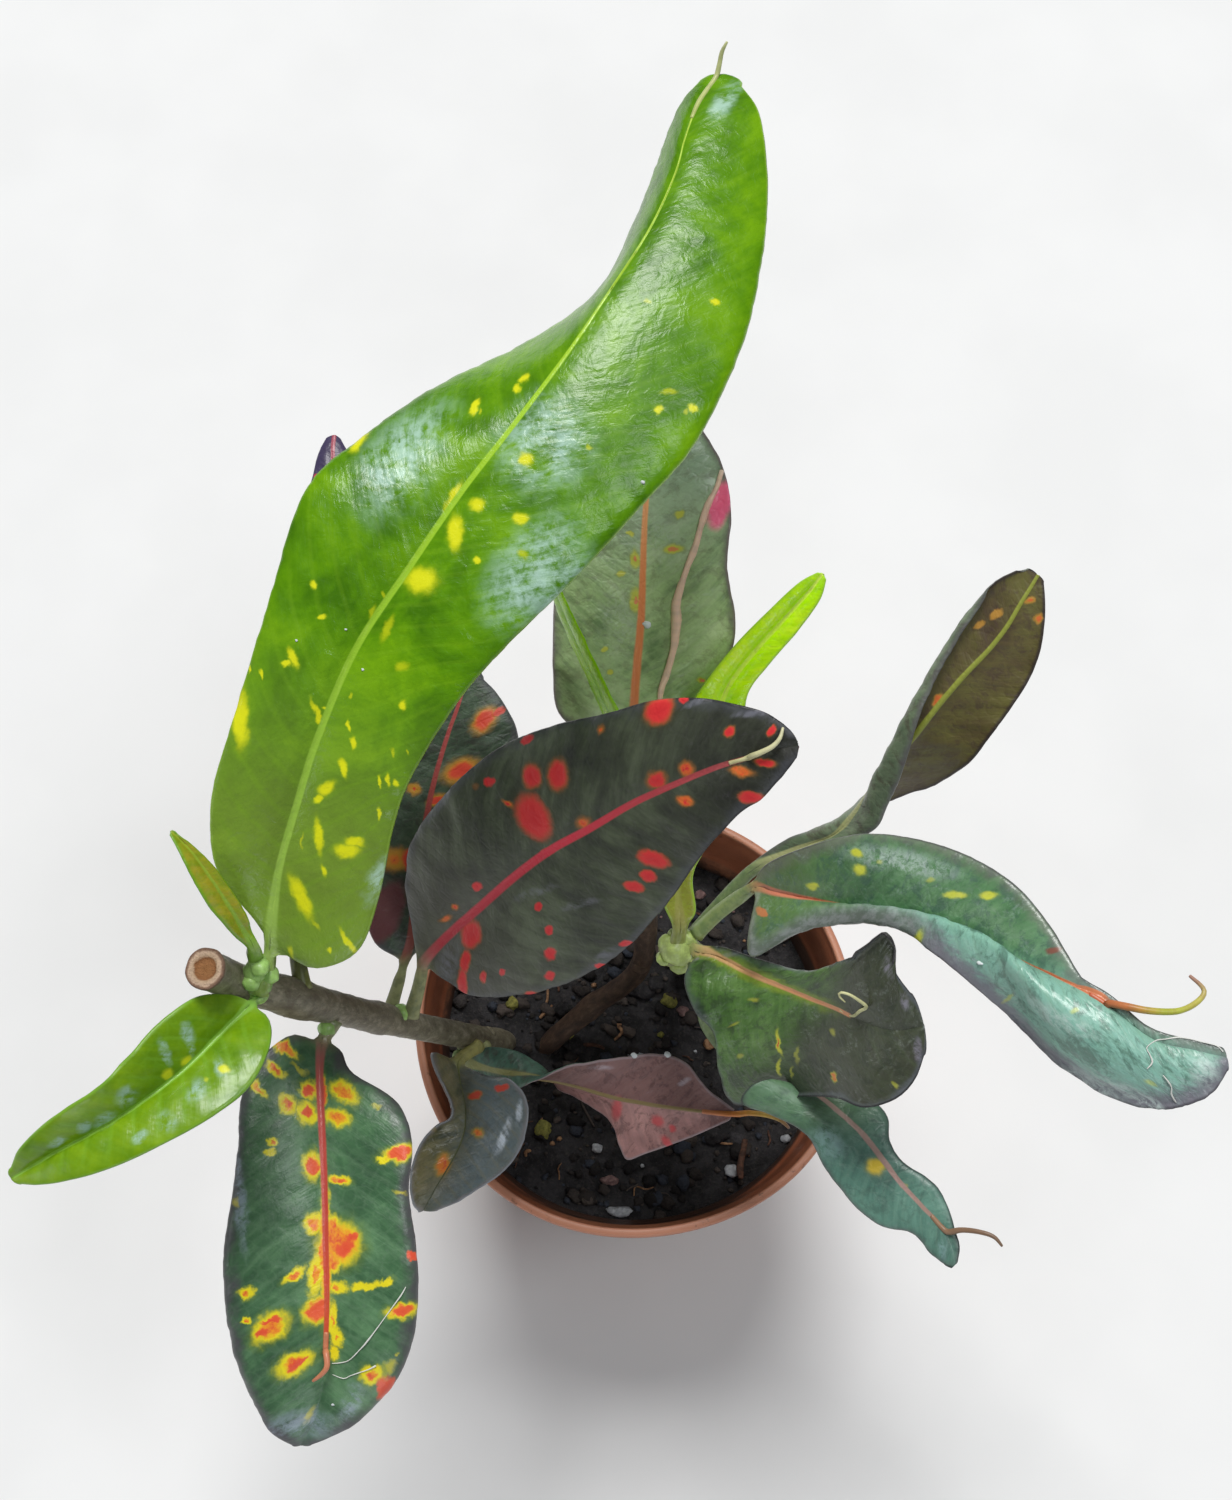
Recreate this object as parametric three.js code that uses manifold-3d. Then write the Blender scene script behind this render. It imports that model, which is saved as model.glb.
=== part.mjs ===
// A young twisted-leaf croton in a small round nursery pot.
// Millimetres, +Z up. The origin is the middle of the pot's underside, so the
// pot stands on z = 0. Three cuttings stand in the soil: the main stem leans
// to -X and carries the large green leaf, the right stem carries the leaves
// on the +X side, and the back stem leans to +Y.

import * as THREE from 'three';
import * as BufferGeometryUtils from 'three/addons/utils/BufferGeometryUtils.js';
import Module from 'manifold-3d';

// ---- driving dimensions (mm) ----
const POT_TOP_R = 30.0;        // outer radius at the lip
const POT_BASE_R = 21.5;       // outer radius at the foot
const POT_H = 54.0;            // height of the pot
const POT_WALL = 1.0;          // wall of the thin moulded pot
const POT_FLOOR = 1.4;         // thickness of the floor
const BAND_H = 8.5;            // height of the wider band under the lip
const BAND_STEP = 0.55;        // how far the band stands out of the wall
const LIP_H = 1.3;             // height of the rolled lip
const LIP_OUT = 0.5;           // how far the lip stands out of the band
const DRAIN_R = 1.9;           // drain holes in the floor
const DRAIN_RING_R = 13.5;     // radius of the ring of drain holes
const DRAIN_COUNT = 5;
const POT_SIDES = 44;
const SOIL_TOP = 42.2;         // soil surface near the wall
const SOIL_CROWN = 43.4;       // soil surface in the middle
const GAP = 0.35;              // clearance between touching pieces
const MAIN_STEM_R = 1.75;
const SHOOT_R = 1.0;
const RIGHT_STEM_R = 1.55;
const BACK_STEM_R = 1.45;
const PETIOLE_FLAT = 0.8;      // a petiole's thickness over its width
const BLADE_ROOT_TH = 1.1;     // blade thickness where the petiole joins
const AWN_R = 0.42;            // the free end of a midrib, beyond the blade

// ---- stems: points of their centre lines ----
const MAIN_STEM = [
  [-15.6, 0.6, 27],
  [-18.93, -1.87, 44.32],
  [-23.11, -3.73, 59.08],
  [-26.58, -5.82, 73.75],
  [-29.54, -7.8, 87.93],
  [-32.21, -9.62, 101.1],
  [-34.39, -11.22, 112.75],
  [-36.52, -12.15, 121.14],
  [-39.19, -12.29, 125.77],
  [-40.76, -12.23, 129.41],
  [-41.36, -12.63, 133.95],
];
const GREEN_SHOOT = [
  [-37.8, -12.26, 123.02],
  [-38.17, -12.7, 125.84],
  [-37.79, -11.87, 128.27],
  [-37.25, -10.8, 130.04],
];
const RIGHT_STEM = [
  [8.2, 13.6, 27],
  [7.5, 11.6, 42],
  [6.6, 8.3, 58],
  [5.6, 4.8, 74],
  [4.48, 0.72, 87.3],
];
const BACK_STEM = [
  [-16.5, -4.5, 27],
  [-12.2, -1.9, 43],
  [-6, 1.7, 51.5],
  [0.62, 5.37, 60.26],
  [1.2, 12, 76],
  [1.4, 18.2, 90],
  [1.45, 21.19, 96.35],
];

// ---- leaves ----
// Each leaf has a petiole [x, y, z, half width] and a blade given by rows
// across it, from petiole to tip. A row holds five points: left margin,
// left half's middle, midrib, right half's middle, right margin, seen with the
// upper face towards the eye and the tip away. Rows turn along the leaf where
// it is twisted. An awn is the midrib's free end.
const LEAVES = [
  {
    name: 'big_green_leaf', color: 0x5f9a14, roughness: 0.35, thickness: 0.62, rows: 17,
    petiole: [[-37.28, -12.42, 127.64, 1], [-36.72, -11.23, 128.5, 0.9]],
    awn: [[6.43, 72.62, 153.27], [7.18, 74.42, 152.86], [7.77, 75.47, 153.67], [8.03, 76.39, 154.64], [8.5, 76.91, 155.47]],
    blade: [
      [-36.31, -9.36, 129.82, -36.18, -9.56, 129.77, -36.02, -9.72, 129.69, -35.69, -9.84, 129.68, -35.34, -9.91, 129.62],
      [-37.27, -7.49, 132.2, -36.57, -7.89, 131.85, -35.84, -8.15, 131.32, -33.79, -10.03, 130.71, -31.67, -11.48, 129.58],
      [-39.3, -5.33, 134.48, -37.34, -5.57, 134.11, -35.37, -5.51, 133.35, -31.43, -8.18, 132.63, -27.48, -10.15, 131.02],
      [-40.82, -2.59, 136.96, -37.69, -2.73, 136.67, -34.58, -2.43, 135.75, -29.91, -4.42, 135.42, -25.28, -5.73, 134.12],
      [-40.71, 2.57, 140.34, -36.66, 2.42, 140.15, -32.63, 2.78, 139.13, -28.11, 1.14, 139.13, -23.63, 0.11, 138.16],
      [-38.67, 8.74, 143.43, -34.67, 8.03, 143.16, -30.67, 7.77, 142.01, -26.18, 5.71, 142.09, -21.68, 4.19, 141.14],
      [-35.39, 18.96, 147.15, -31.21, 16.89, 146.88, -26.99, 15.25, 145.59, -22.11, 12.59, 145.64, -17.18, 10.45, 144.48],
      [-32.09, 29.55, 149.94, -27.18, 25.52, 149.91, -22.16, 21.95, 148.45, -17.46, 18.28, 148.3, -12.66, 15.04, 146.79],
      [-26.8, 35.5, 149.98, -21.98, 32.13, 151.09, -17.03, 29.08, 150.83, -11.57, 25.07, 150.55, -5.96, 21.43, 148.69],
      [-19.6, 42.13, 148.56, -16, 38.64, 151.15, -12.19, 35.28, 152.45, -6.21, 31.53, 152.18, 0.03, 27.94, 150.21],
      [-11.13, 48.04, 146.67, -9.37, 45.09, 150.74, -7.33, 42.11, 153.66, -1.29, 38.22, 153.11, 5.16, 34.28, 150.81],
      [-4.21, 53.88, 146.24, -3.82, 51.56, 150.8, -3.08, 49.09, 154.29, 3.08, 46.8, 153.98, 9.76, 44.28, 152.11],
      [-0.78, 60.96, 147.97, -0.23, 58.41, 151.64, 0.59, 55.71, 154.36, 5.94, 54.44, 154.2, 11.67, 52.97, 152.72],
      [1.65, 67.03, 149.54, 2.28, 64.63, 152.24, 3.08, 62.13, 154.14, 7.6, 61.24, 153.92, 12.36, 60.22, 152.59],
      [2.87, 70.39, 150.55, 3.44, 68.54, 152.5, 4.13, 66.6, 153.85, 8.12, 66.16, 153.83, 12.29, 65.59, 152.84],
      [4.18, 72.96, 151.48, 4.76, 71.85, 152.64, 5.39, 70.67, 153.42, 8.5, 70.6, 153.58, 11.71, 70.4, 153],
      [5.59, 74.35, 152.2, 6.21, 74.03, 152.71, 6.86, 73.68, 153.02, 8.44, 73.62, 153.17, 10.08, 73.49, 152.95],
    ],
  },
  {
    name: 'small_olive_leaf', color: 0x8f9c2a, roughness: 0.35, thickness: 0.62, rows: 6,
    petiole: [[-37.44, -10.87, 129.48, 0.8], [-37.43, -10.34, 131.38, 0.75]],
    awn: [],
    blade: [
      [-37.91, -10.22, 132.48, -37.65, -10.07, 132.57, -37.43, -9.86, 132.62, -37.18, -9.75, 132.68, -36.95, -9.59, 132.71],
      [-38.52, -9.87, 134.95, -38.21, -9.44, 134.73, -38.02, -8.96, 134.43, -37.6, -8.91, 134.17, -37.28, -8.81, 133.85],
      [-39.48, -9.02, 137.61, -39.02, -8.38, 137.16, -38.74, -7.68, 136.6, -38.11, -7.64, 136.04, -37.65, -7.55, 135.37],
      [-40.54, -7.78, 139.76, -40, -7.01, 139.26, -39.67, -6.21, 138.63, -39.06, -6.21, 137.95, -38.64, -6.18, 137.15],
      [-41.52, -6.05, 141.45, -41.07, -5.34, 141.03, -40.81, -4.62, 140.48, -40.2, -4.63, 139.9, -39.76, -4.63, 139.2],
      [-42.48, -4.15, 142.78, -42.17, -3.66, 142.48, -41.97, -3.17, 142.08, -41.55, -3.18, 141.69, -41.23, -3.2, 141.21],
      [-43.54, -2.37, 143.22, -43.41, -2.17, 143.21, -43.31, -1.96, 143.15, -43.04, -2.07, 143.04, -42.8, -2.16, 142.87],
    ],
  },
  {
    name: 'medium_green_leaf', color: 0x5a9a1c, roughness: 0.35, thickness: 0.62, rows: 9,
    petiole: [[-38.15, -13.48, 126.19, 0.9]],
    awn: [],
    blade: [
      [-37.86, -14.62, 126.84, -38.1, -14.6, 126.86, -38.35, -14.62, 126.84, -38.39, -14.47, 126.9, -38.45, -14.34, 126.94],
      [-36.11, -16.42, 127.89, -37.41, -15.87, 127.92, -38.84, -15.38, 127.63, -39.43, -14.62, 128.45, -40.13, -13.92, 129.01],
      [-35.73, -19.47, 129.54, -38.21, -18.7, 129.39, -40.89, -17.94, 128.61, -41.78, -16.43, 130.5, -42.85, -14.94, 131.83],
      [-37.16, -23.05, 130.37, -40.13, -21.98, 130.19, -43.32, -20.86, 129.25, -44.51, -19.42, 131.6, -45.89, -17.94, 133.3],
      [-40.26, -25.94, 130.81, -43.05, -24.75, 130.67, -46.04, -23.43, 129.81, -46.94, -22.25, 132.14, -48.01, -20.98, 133.89],
      [-44.57, -28.44, 130.75, -46.81, -27.23, 130.67, -49.18, -25.81, 130, -49.87, -24.86, 132.12, -50.68, -23.74, 133.74],
      [-49.09, -30.48, 130.22, -50.75, -29.22, 130.21, -52.46, -27.73, 129.73, -53.17, -26.84, 131.59, -53.92, -25.74, 133.01],
      [-53.08, -31.54, 129.2, -54.17, -30.39, 129.29, -55.24, -29.02, 129.05, -55.92, -28.34, 130.46, -56.57, -27.45, 131.54],
      [-56.36, -31.81, 127.71, -56.98, -31.01, 127.87, -57.55, -30.06, 127.82, -58.18, -29.55, 128.67, -58.75, -28.88, 129.31],
      [-58.81, -31.66, 126.49, -59.13, -31.29, 126.64, -59.41, -30.84, 126.68, -59.66, -30.54, 127.01, -59.88, -30.17, 127.25],
    ],
  },
  {
    name: 'red_spotted_front_leaf', color: 0x3f5a44, roughness: 0.35, thickness: 0.62, rows: 12,
    petiole: [[-33.35, -13.06, 108.25, 0.9]],
    awn: [],
    blade: [
      [-33.08, -14.45, 108.17, -33.56, -14.48, 108.21, -34.04, -14.55, 108.14, -34.36, -14.38, 108.23, -34.68, -14.25, 108.25],
      [-31.72, -15.7, 109.1, -32.88, -15.83, 109.02, -34.1, -16.04, 108.66, -35.7, -15.04, 109.54, -37.4, -14.16, 109.98],
      [-30.31, -18.11, 110.03, -32.08, -18.27, 109.86, -33.88, -18.5, 109.25, -37.33, -18.04, 110.46, -40.84, -17.72, 110.81],
      [-25.34, -21.22, 111.03, -29.46, -21.28, 110.76, -33.59, -21.38, 109.48, -37.79, -21.5, 110.8, -41.99, -21.64, 111.09],
      [-23.58, -25.5, 111.39, -28.38, -25.55, 111.01, -33.16, -25.53, 109.46, -37.52, -25.7, 110.9, -41.88, -25.8, 111.28],
      [-23.79, -30.48, 110.64, -28.28, -30.6, 110.31, -32.77, -30.58, 108.9, -37.54, -30.75, 110.29, -42.3, -30.77, 110.53],
      [-23, -35.47, 109.46, -27.76, -35.62, 109.37, -32.52, -35.55, 108.16, -37.81, -35.87, 109.35, -43.1, -35.95, 109.29],
      [-22.67, -40.3, 107.92, -27.5, -40.52, 108.03, -32.32, -40.44, 107.01, -37.64, -40.78, 107.99, -42.95, -40.78, 107.74],
      [-23.22, -45, 105.88, -27.81, -45.09, 106.28, -32.39, -44.8, 105.64, -37.4, -45.25, 106.28, -42.4, -45.29, 105.78],
      [-25.07, -48.83, 103.53, -28.85, -48.66, 104.29, -32.63, -48.07, 104.24, -36.99, -48.69, 104.35, -41.35, -48.83, 103.53],
      [-27.64, -51.63, 101.66, -30.44, -51.39, 102.43, -33.24, -50.77, 102.62, -36.6, -51.37, 102.5, -39.95, -51.53, 101.7],
      [-30.93, -53.67, 100.28, -32.56, -53.55, 100.74, -34.19, -53.18, 100.89, -36.3, -53.64, 100.77, -38.41, -53.77, 100.25],
      [-34.22, -54.84, 99.43, -34.73, -54.83, 99.5, -35.26, -54.74, 99.47, -35.77, -54.88, 99.48, -36.3, -54.94, 99.4],
    ],
  },
  {
    name: 'hidden_purple_leaf', color: 0x2c2430, roughness: 0.35, thickness: 0.62, rows: 8,
    petiole: [[-34.81, -10.15, 119.21, 0.9], [-35.24, -7.82, 119.95, 0.8]],
    awn: [],
    blade: [
      [-36.19, -4.89, 120.81, -35.89, -4.9, 120.84, -35.58, -4.89, 120.81, -35.27, -4.9, 120.84, -34.97, -4.89, 120.81],
      [-39.25, 0.38, 122.83, -37.11, 0.47, 122.87, -35.03, 0.71, 122.42, -32.99, 0.52, 122.34, -31, 0.47, 121.8],
      [-39.88, 7.14, 125.18, -37.14, 7.17, 125.12, -34.48, 7.4, 124.43, -31.49, 7.1, 124.37, -28.6, 7.01, 123.64],
      [-39.34, 14.02, 127.26, -36.49, 14.07, 127.21, -33.72, 14.3, 126.51, -30.62, 14.01, 126.48, -27.62, 13.93, 125.74],
      [-38.26, 21.08, 128.98, -35.59, 21.12, 129.01, -32.99, 21.31, 128.43, -30.2, 21.13, 128.45, -27.47, 21.12, 127.82],
      [-36.99, 27.8, 130.36, -34.67, 27.77, 130.43, -32.39, 27.87, 129.96, -30.05, 27.67, 130.02, -27.76, 27.6, 129.54],
      [-35.74, 34.17, 131.4, -33.91, 34.04, 131.48, -32.12, 33.97, 131.12, -30.4, 33.78, 131.16, -28.71, 33.67, 130.79],
      [-34.71, 39.63, 131.9, -33.45, 39.61, 132.05, -32.2, 39.63, 131.9, -31.04, 39.32, 131.94, -29.89, 39.04, 131.69],
      [-34.14, 43.18, 132.13, -33.28, 43.27, 132.38, -32.42, 43.38, 132.41, -31.53, 43.12, 132.33, -30.66, 42.88, 132.02],
      [-33.28, 44.96, 132.14, -32.84, 45.01, 132.32, -32.4, 45.06, 132.39, -31.99, 44.96, 132.3, -31.59, 44.86, 132.1],
    ],
  },
  {
    name: 'spotted_back_left_leaf', color: 0x39443a, roughness: 0.35, thickness: 0.62, rows: 7,
    petiole: [[-29.29, -5.05, 85.84, 0.8], [-28.55, -2.85, 86.85, 0.7]],
    awn: [],
    blade: [
      [-28.48, -0.63, 88.3, -28.12, -0.6, 88.35, -27.76, -0.52, 88.34, -27.34, -0.44, 88.42, -26.93, -0.3, 88.42],
      [-31.3, 1.06, 90.3, -29.06, 1.34, 90.51, -26.94, 1.92, 90.29, -24.85, 2.46, 90.22, -22.87, 3.29, 89.73],
      [-32.59, 5.48, 92.97, -29.36, 5.63, 93.16, -26.26, 6.16, 92.69, -23.05, 7, 92.66, -19.98, 8.22, 91.95],
      [-32.71, 10.79, 95.76, -29.03, 10.93, 96, -25.47, 11.49, 95.48, -21.32, 12.18, 95.51, -17.31, 13.35, 94.67],
      [-31.68, 16.64, 98.63, -27.9, 16.77, 98.94, -24.22, 17.32, 98.45, -19.49, 17.7, 98.55, -14.88, 18.6, 97.64],
      [-29.52, 22.02, 101.01, -25.99, 22.14, 101.4, -22.52, 22.63, 101.03, -18.23, 22.66, 101.15, -14.01, 23.13, 100.36],
      [-26.48, 26.41, 102.61, -23.65, 26.57, 103.03, -20.86, 26.96, 102.81, -18.34, 26.84, 102.82, -15.86, 26.93, 102.27],
      [-22.77, 29.87, 103.45, -21.35, 30.05, 103.8, -19.94, 30.34, 103.83, -19.01, 29.81, 103.62, -18.09, 29.35, 103.15],
    ],
  },
  {
    name: 'small_cupped_leaf', color: 0x5d6e5f, roughness: 0.35, thickness: 0.62, rows: 8,
    petiole: [[-21.48, -5.56, 58.84, 0.9], [-22.56, -6.58, 59.96, 0.85]],
    awn: [],
    blade: [
      [-22.41, -8.3, 61.35, -22.93, -8.14, 61.36, -23.48, -8.01, 61.24, -23.97, -7.64, 61.55, -24.51, -7.31, 61.71],
      [-19.52, -9.89, 62.9, -21.33, -9.5, 62.44, -23.29, -9.25, 61.54, -24.87, -8.13, 63.25, -26.63, -7.17, 64.42],
      [-16.37, -10.86, 65.42, -19.6, -11, 64.17, -22.8, -11.31, 62.07, -24.25, -10.87, 63.79, -25.69, -10.53, 65.01],
      [-14.34, -12.58, 67.14, -18.43, -12.98, 65.28, -22.2, -13.43, 62.36, -23.27, -13.58, 63.42, -24.25, -13.73, 64.16],
      [-13.52, -14.93, 67.56, -17.96, -15.15, 65.59, -22.01, -15.39, 62.5, -23.23, -15.42, 63.27, -24.36, -15.46, 63.75],
      [-13.75, -17.5, 67.05, -18.13, -17.42, 65.3, -22.22, -17.3, 62.44, -24.17, -16.9, 63.36, -25.99, -16.49, 63.8],
      [-14.91, -20.3, 65.61, -19.03, -19.85, 64.39, -22.96, -19.3, 62.14, -25.41, -18.92, 63.12, -27.75, -18.48, 63.5],
      [-16.99, -22.47, 64.07, -20.66, -22.09, 63.31, -24.22, -21.52, 61.65, -26.59, -21.52, 62.43, -28.88, -21.4, 62.65],
      [-19.97, -24.17, 62.6, -22.78, -23.92, 62.1, -25.51, -23.46, 60.94, -27.36, -23.81, 61.42, -29.16, -24.03, 61.48],
      [-22.74, -25.61, 61.01, -24.67, -25.47, 60.78, -26.55, -25.13, 60.12, -27.71, -25.51, 60.35, -28.83, -25.78, 60.31],
      [-25.4, -26.58, 59.6, -26.32, -26.44, 59.6, -27.23, -26.18, 59.42, -27.68, -26.46, 59.44, -28.12, -26.68, 59.35],
    ],
  },
  {
    name: 'dark_red_veined_leaf', color: 0x282d28, roughness: 0.35, thickness: 0.62, rows: 12,
    petiole: [[-26.68, -6.27, 87.53, 0.9], [-26.01, -4.44, 89.04, 0.8], [-25.58, -3.05, 90.29, 0.75]],
    awn: [],
    blade: [
      [-25.98, -1.66, 91.54, -25.64, -1.79, 91.43, -25.29, -1.84, 91.27, -24.9, -2.13, 91.05, -24.5, -2.32, 90.77],
      [-26.29, 1.76, 95.56, -25.09, 0.39, 94.73, -23.71, -0.62, 93.63, -23.11, -2.4, 92.45, -22.32, -3.81, 90.98],
      [-26.7, 5.34, 100.69, -24.24, 2.65, 99.13, -21.37, 0.65, 97.07, -20.14, -3.03, 94.77, -18.45, -5.92, 91.91],
      [-25.25, 8.89, 107.3, -21.84, 5.05, 105.16, -17.83, 2.19, 102.31, -15.86, -2.77, 99.47, -13.24, -6.69, 95.88],
      [-20.99, 12.04, 113.98, -17.7, 7.48, 111.52, -13.73, 3.97, 108.28, -10.68, -1.75, 105.37, -6.84, -6.27, 101.57],
      [-15.16, 14.86, 119.9, -12.81, 9.57, 117.19, -9.71, 5.32, 113.66, -6.14, -0.13, 111.06, -1.73, -4.43, 107.56],
      [-9.27, 15.57, 124.63, -7.65, 10.39, 122.14, -5.34, 6.15, 118.86, -1.98, 1.62, 116.73, 2.08, -1.94, 113.79],
      [-3.83, 15.37, 128.61, -2.62, 10.95, 126.53, -0.85, 7.3, 123.75, 1.75, 3.66, 122.05, 4.89, 0.77, 119.67],
      [1.32, 15.45, 132.04, 2.09, 11.4, 130.28, 3.37, 7.97, 127.83, 4.97, 4.99, 126.48, 6.98, 2.52, 124.57],
      [5.75, 14.83, 134.15, 6.28, 11.49, 132.8, 7.19, 8.63, 130.83, 8.27, 6.37, 129.88, 9.64, 4.46, 128.46],
      [9.15, 13.83, 135.07, 9.29, 11.17, 134.05, 9.69, 8.87, 132.52, 10.7, 7.01, 131.78, 11.92, 5.43, 130.63],
      [11.97, 12.91, 135.26, 11.83, 10.91, 134.58, 11.81, 9.16, 133.47, 12.61, 7.88, 132.99, 13.52, 6.78, 132.18],
      [13.83, 11.91, 135.11, 13.57, 10.62, 134.71, 13.35, 9.48, 134.02, 13.94, 8.69, 133.7, 14.56, 8.01, 133.16],
      [14.81, 10.89, 134.74, 14.56, 10.28, 134.55, 14.33, 9.73, 134.21, 14.72, 9.3, 134.08, 15.13, 8.93, 133.82],
    ],
  },
  {
    name: 'maroon_twisted_leaf', color: 0x6e4a4c, roughness: 0.35, thickness: 0.62, rows: 11,
    petiole: [[-20.7, -4.91, 54.82, 0.9], [-21.69, -5.77, 55.78, 0.85]],
    awn: [[10.89, -15.19, 66.83], [12.64, -15.39, 67.29], [14.64, -15.34, 67.73], [17.15, -15.76, 68], [19.4, -17.59, 67.66]],
    blade: [
      [-22.15, -5.97, 56.78, -22.3, -6.35, 56.68, -22.42, -6.72, 56.5, -22.57, -7.11, 56.41, -22.68, -7.47, 56.23],
      [-19.64, -5.25, 58.63, -20, -6.52, 58.06, -20.2, -7.66, 57.22, -20.59, -9.11, 56.46, -20.8, -10.4, 55.37],
      [-15.74, -5.89, 59.15, -16.4, -7.31, 59.11, -16.9, -8.74, 58.75, -17.08, -9.97, 58.75, -17.13, -11.21, 58.49],
      [-12.59, -7.61, 57.67, -13.05, -8.41, 59.12, -13.51, -9.56, 60.36, -13.58, -9.98, 61.84, -13.64, -10.71, 63.13],
      [-10.32, -10.4, 56.87, -10.23, -10.09, 59.31, -10.31, -10.34, 61.78, -10.23, -9.84, 63.98, -10.31, -9.85, 66.22],
      [-7.36, -12.03, 57.87, -7.2, -11.41, 60.25, -7.28, -11.31, 62.81, -6.87, -9.89, 64.85, -6.7, -8.97, 67.07],
      [-4.7, -13.94, 59.09, -4.44, -12.94, 61.24, -4.41, -12.37, 63.7, -3.62, -10.16, 65.51, -3.11, -8.45, 67.68],
      [-2.99, -16.14, 59.88, -2.36, -14.43, 61.9, -1.96, -13.13, 64.38, -0.99, -10.41, 66.03, -0.3, -8.16, 68.21],
      [-2.21, -18.51, 60.19, -0.86, -15.83, 62.22, 0.23, -13.61, 64.95, 1.36, -10.65, 66.47, 2.25, -8.12, 68.65],
      [-1.18, -20.33, 60.38, 0.69, -16.94, 62.41, 2.27, -14.05, 65.32, 3.45, -11.04, 66.79, 4.41, -8.44, 68.97],
      [1.14, -19.73, 61.56, 2.7, -16.84, 63.27, 4.05, -14.38, 65.74, 5.21, -11.61, 67.04, 6.18, -9.21, 69],
      [4.09, -18.89, 62.82, 5.16, -16.62, 64.15, 6.09, -14.68, 66.05, 7.02, -12.65, 67.03, 7.83, -10.9, 68.49],
      [7.13, -17.95, 64.22, 7.67, -16.36, 65.11, 8.11, -14.99, 66.37, 8.71, -13.63, 67.04, 9.23, -12.47, 68.03],
      [10.03, -16.89, 65.57, 10.23, -16.03, 66.02, 10.39, -15.29, 66.68, 10.72, -14.55, 67.01, 11.01, -13.91, 67.51],
      [11.65, -16.28, 66.54, 11.85, -15.85, 66.68, 12.02, -15.46, 66.94, 12.22, -15.15, 67.06, 12.4, -14.88, 67.26],
    ],
  },
  {
    name: 'long_twisted_leaf', color: 0x4f7c5a, roughness: 0.35, thickness: 0.62, rows: 14,
    petiole: [[7.65, 2.9, 89.8, 0.95], [9.47, 4.16, 91.96, 0.9], [11.69, 5.24, 94.69, 0.85]],
    awn: [[46.11, -12.5, 119.95], [48.17, -13.47, 121.09], [50.91, -14.06, 121.94], [53.72, -14.06, 121.94], [55.91, -13.08, 121.65], [56.59, -11.72, 121.51], [55.34, -10.44, 121.76]],
    blade: [
      [13.29, 6.5, 97.49, 13.49, 6.21, 97.42, 13.76, 5.96, 97.3, 13.66, 5.56, 97.19, 13.64, 5.19, 97.02],
      [14.82, 7.72, 100.71, 15.28, 6.22, 100.01, 16.02, 4.76, 98.99, 13.65, 1.46, 97.15, 12.8, -2.11, 98.19],
      [19.01, 8.37, 105.2, 18.99, 5.58, 103.73, 19.49, 3.04, 101.77, 17.92, 0.66, 103.24, 18.07, -0.86, 99.71],
      [24.29, 8.42, 109.9, 23.63, 4.48, 107.79, 23.66, 1.08, 105.1, 22.57, 0.23, 109.47, 24.21, -0.14, 101.89],
      [29.72, 6.71, 113.53, 28.65, 2.52, 111.25, 28.32, -1.05, 108.37, 26.97, -1.29, 113.39, 29.27, -1.43, 104.61],
      [34.79, 3.94, 116.36, 33.31, 0, 114.26, 32.58, -3.44, 111.54, 31.16, -3.41, 116.45, 32.8, -4.23, 107.21],
      [39.11, 0.16, 118.39, 37.54, -3.01, 116.72, 36.6, -5.83, 114.5, 35.23, -5.88, 118.53, 36.44, -8.58, 109.67],
      [42.06, -4.13, 119.16, 40.71, -6.17, 118.13, 39.79, -7.98, 116.7, 38.84, -9.74, 119.25, 40.18, -13.26, 111.8],
      [43.64, -7.53, 119.63, 42.91, -8.71, 119.12, 42.4, -9.75, 118.4, 41.8, -13.68, 119.73, 44.27, -18.11, 113.44],
      [45.22, -10.76, 120.05, 45.1, -11.16, 119.89, 45.04, -11.51, 119.67, 45.5, -16.63, 120.15, 48.46, -21.28, 115.05],
      [47.55, -12.74, 120.61, 47.44, -13.04, 120.48, 47.37, -13.29, 120.3, 48.71, -18.11, 120.46, 52.09, -22.51, 116.31],
      [51.28, -15.54, 120.76, 51.36, -16.14, 120.61, 51.48, -16.67, 120.35, 52.8, -19.69, 120.31, 55.12, -22.46, 117.82],
      [55.35, -16.77, 120.84, 55.48, -17.32, 120.77, 55.62, -17.82, 120.57, 56.34, -19.63, 120.55, 57.39, -21.37, 119.06],
      [58.06, -17.49, 120.9, 58.11, -17.98, 120.79, 58.16, -18.43, 120.56, 58.3, -19.03, 120.55, 58.56, -19.74, 120.08],
    ],
  },
  {
    name: 'curled_green_leaf', color: 0x4b7448, roughness: 0.35, thickness: 0.62, rows: 12,
    petiole: [[6.14, 1.13, 88.09, 1.2]],
    awn: [],
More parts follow.
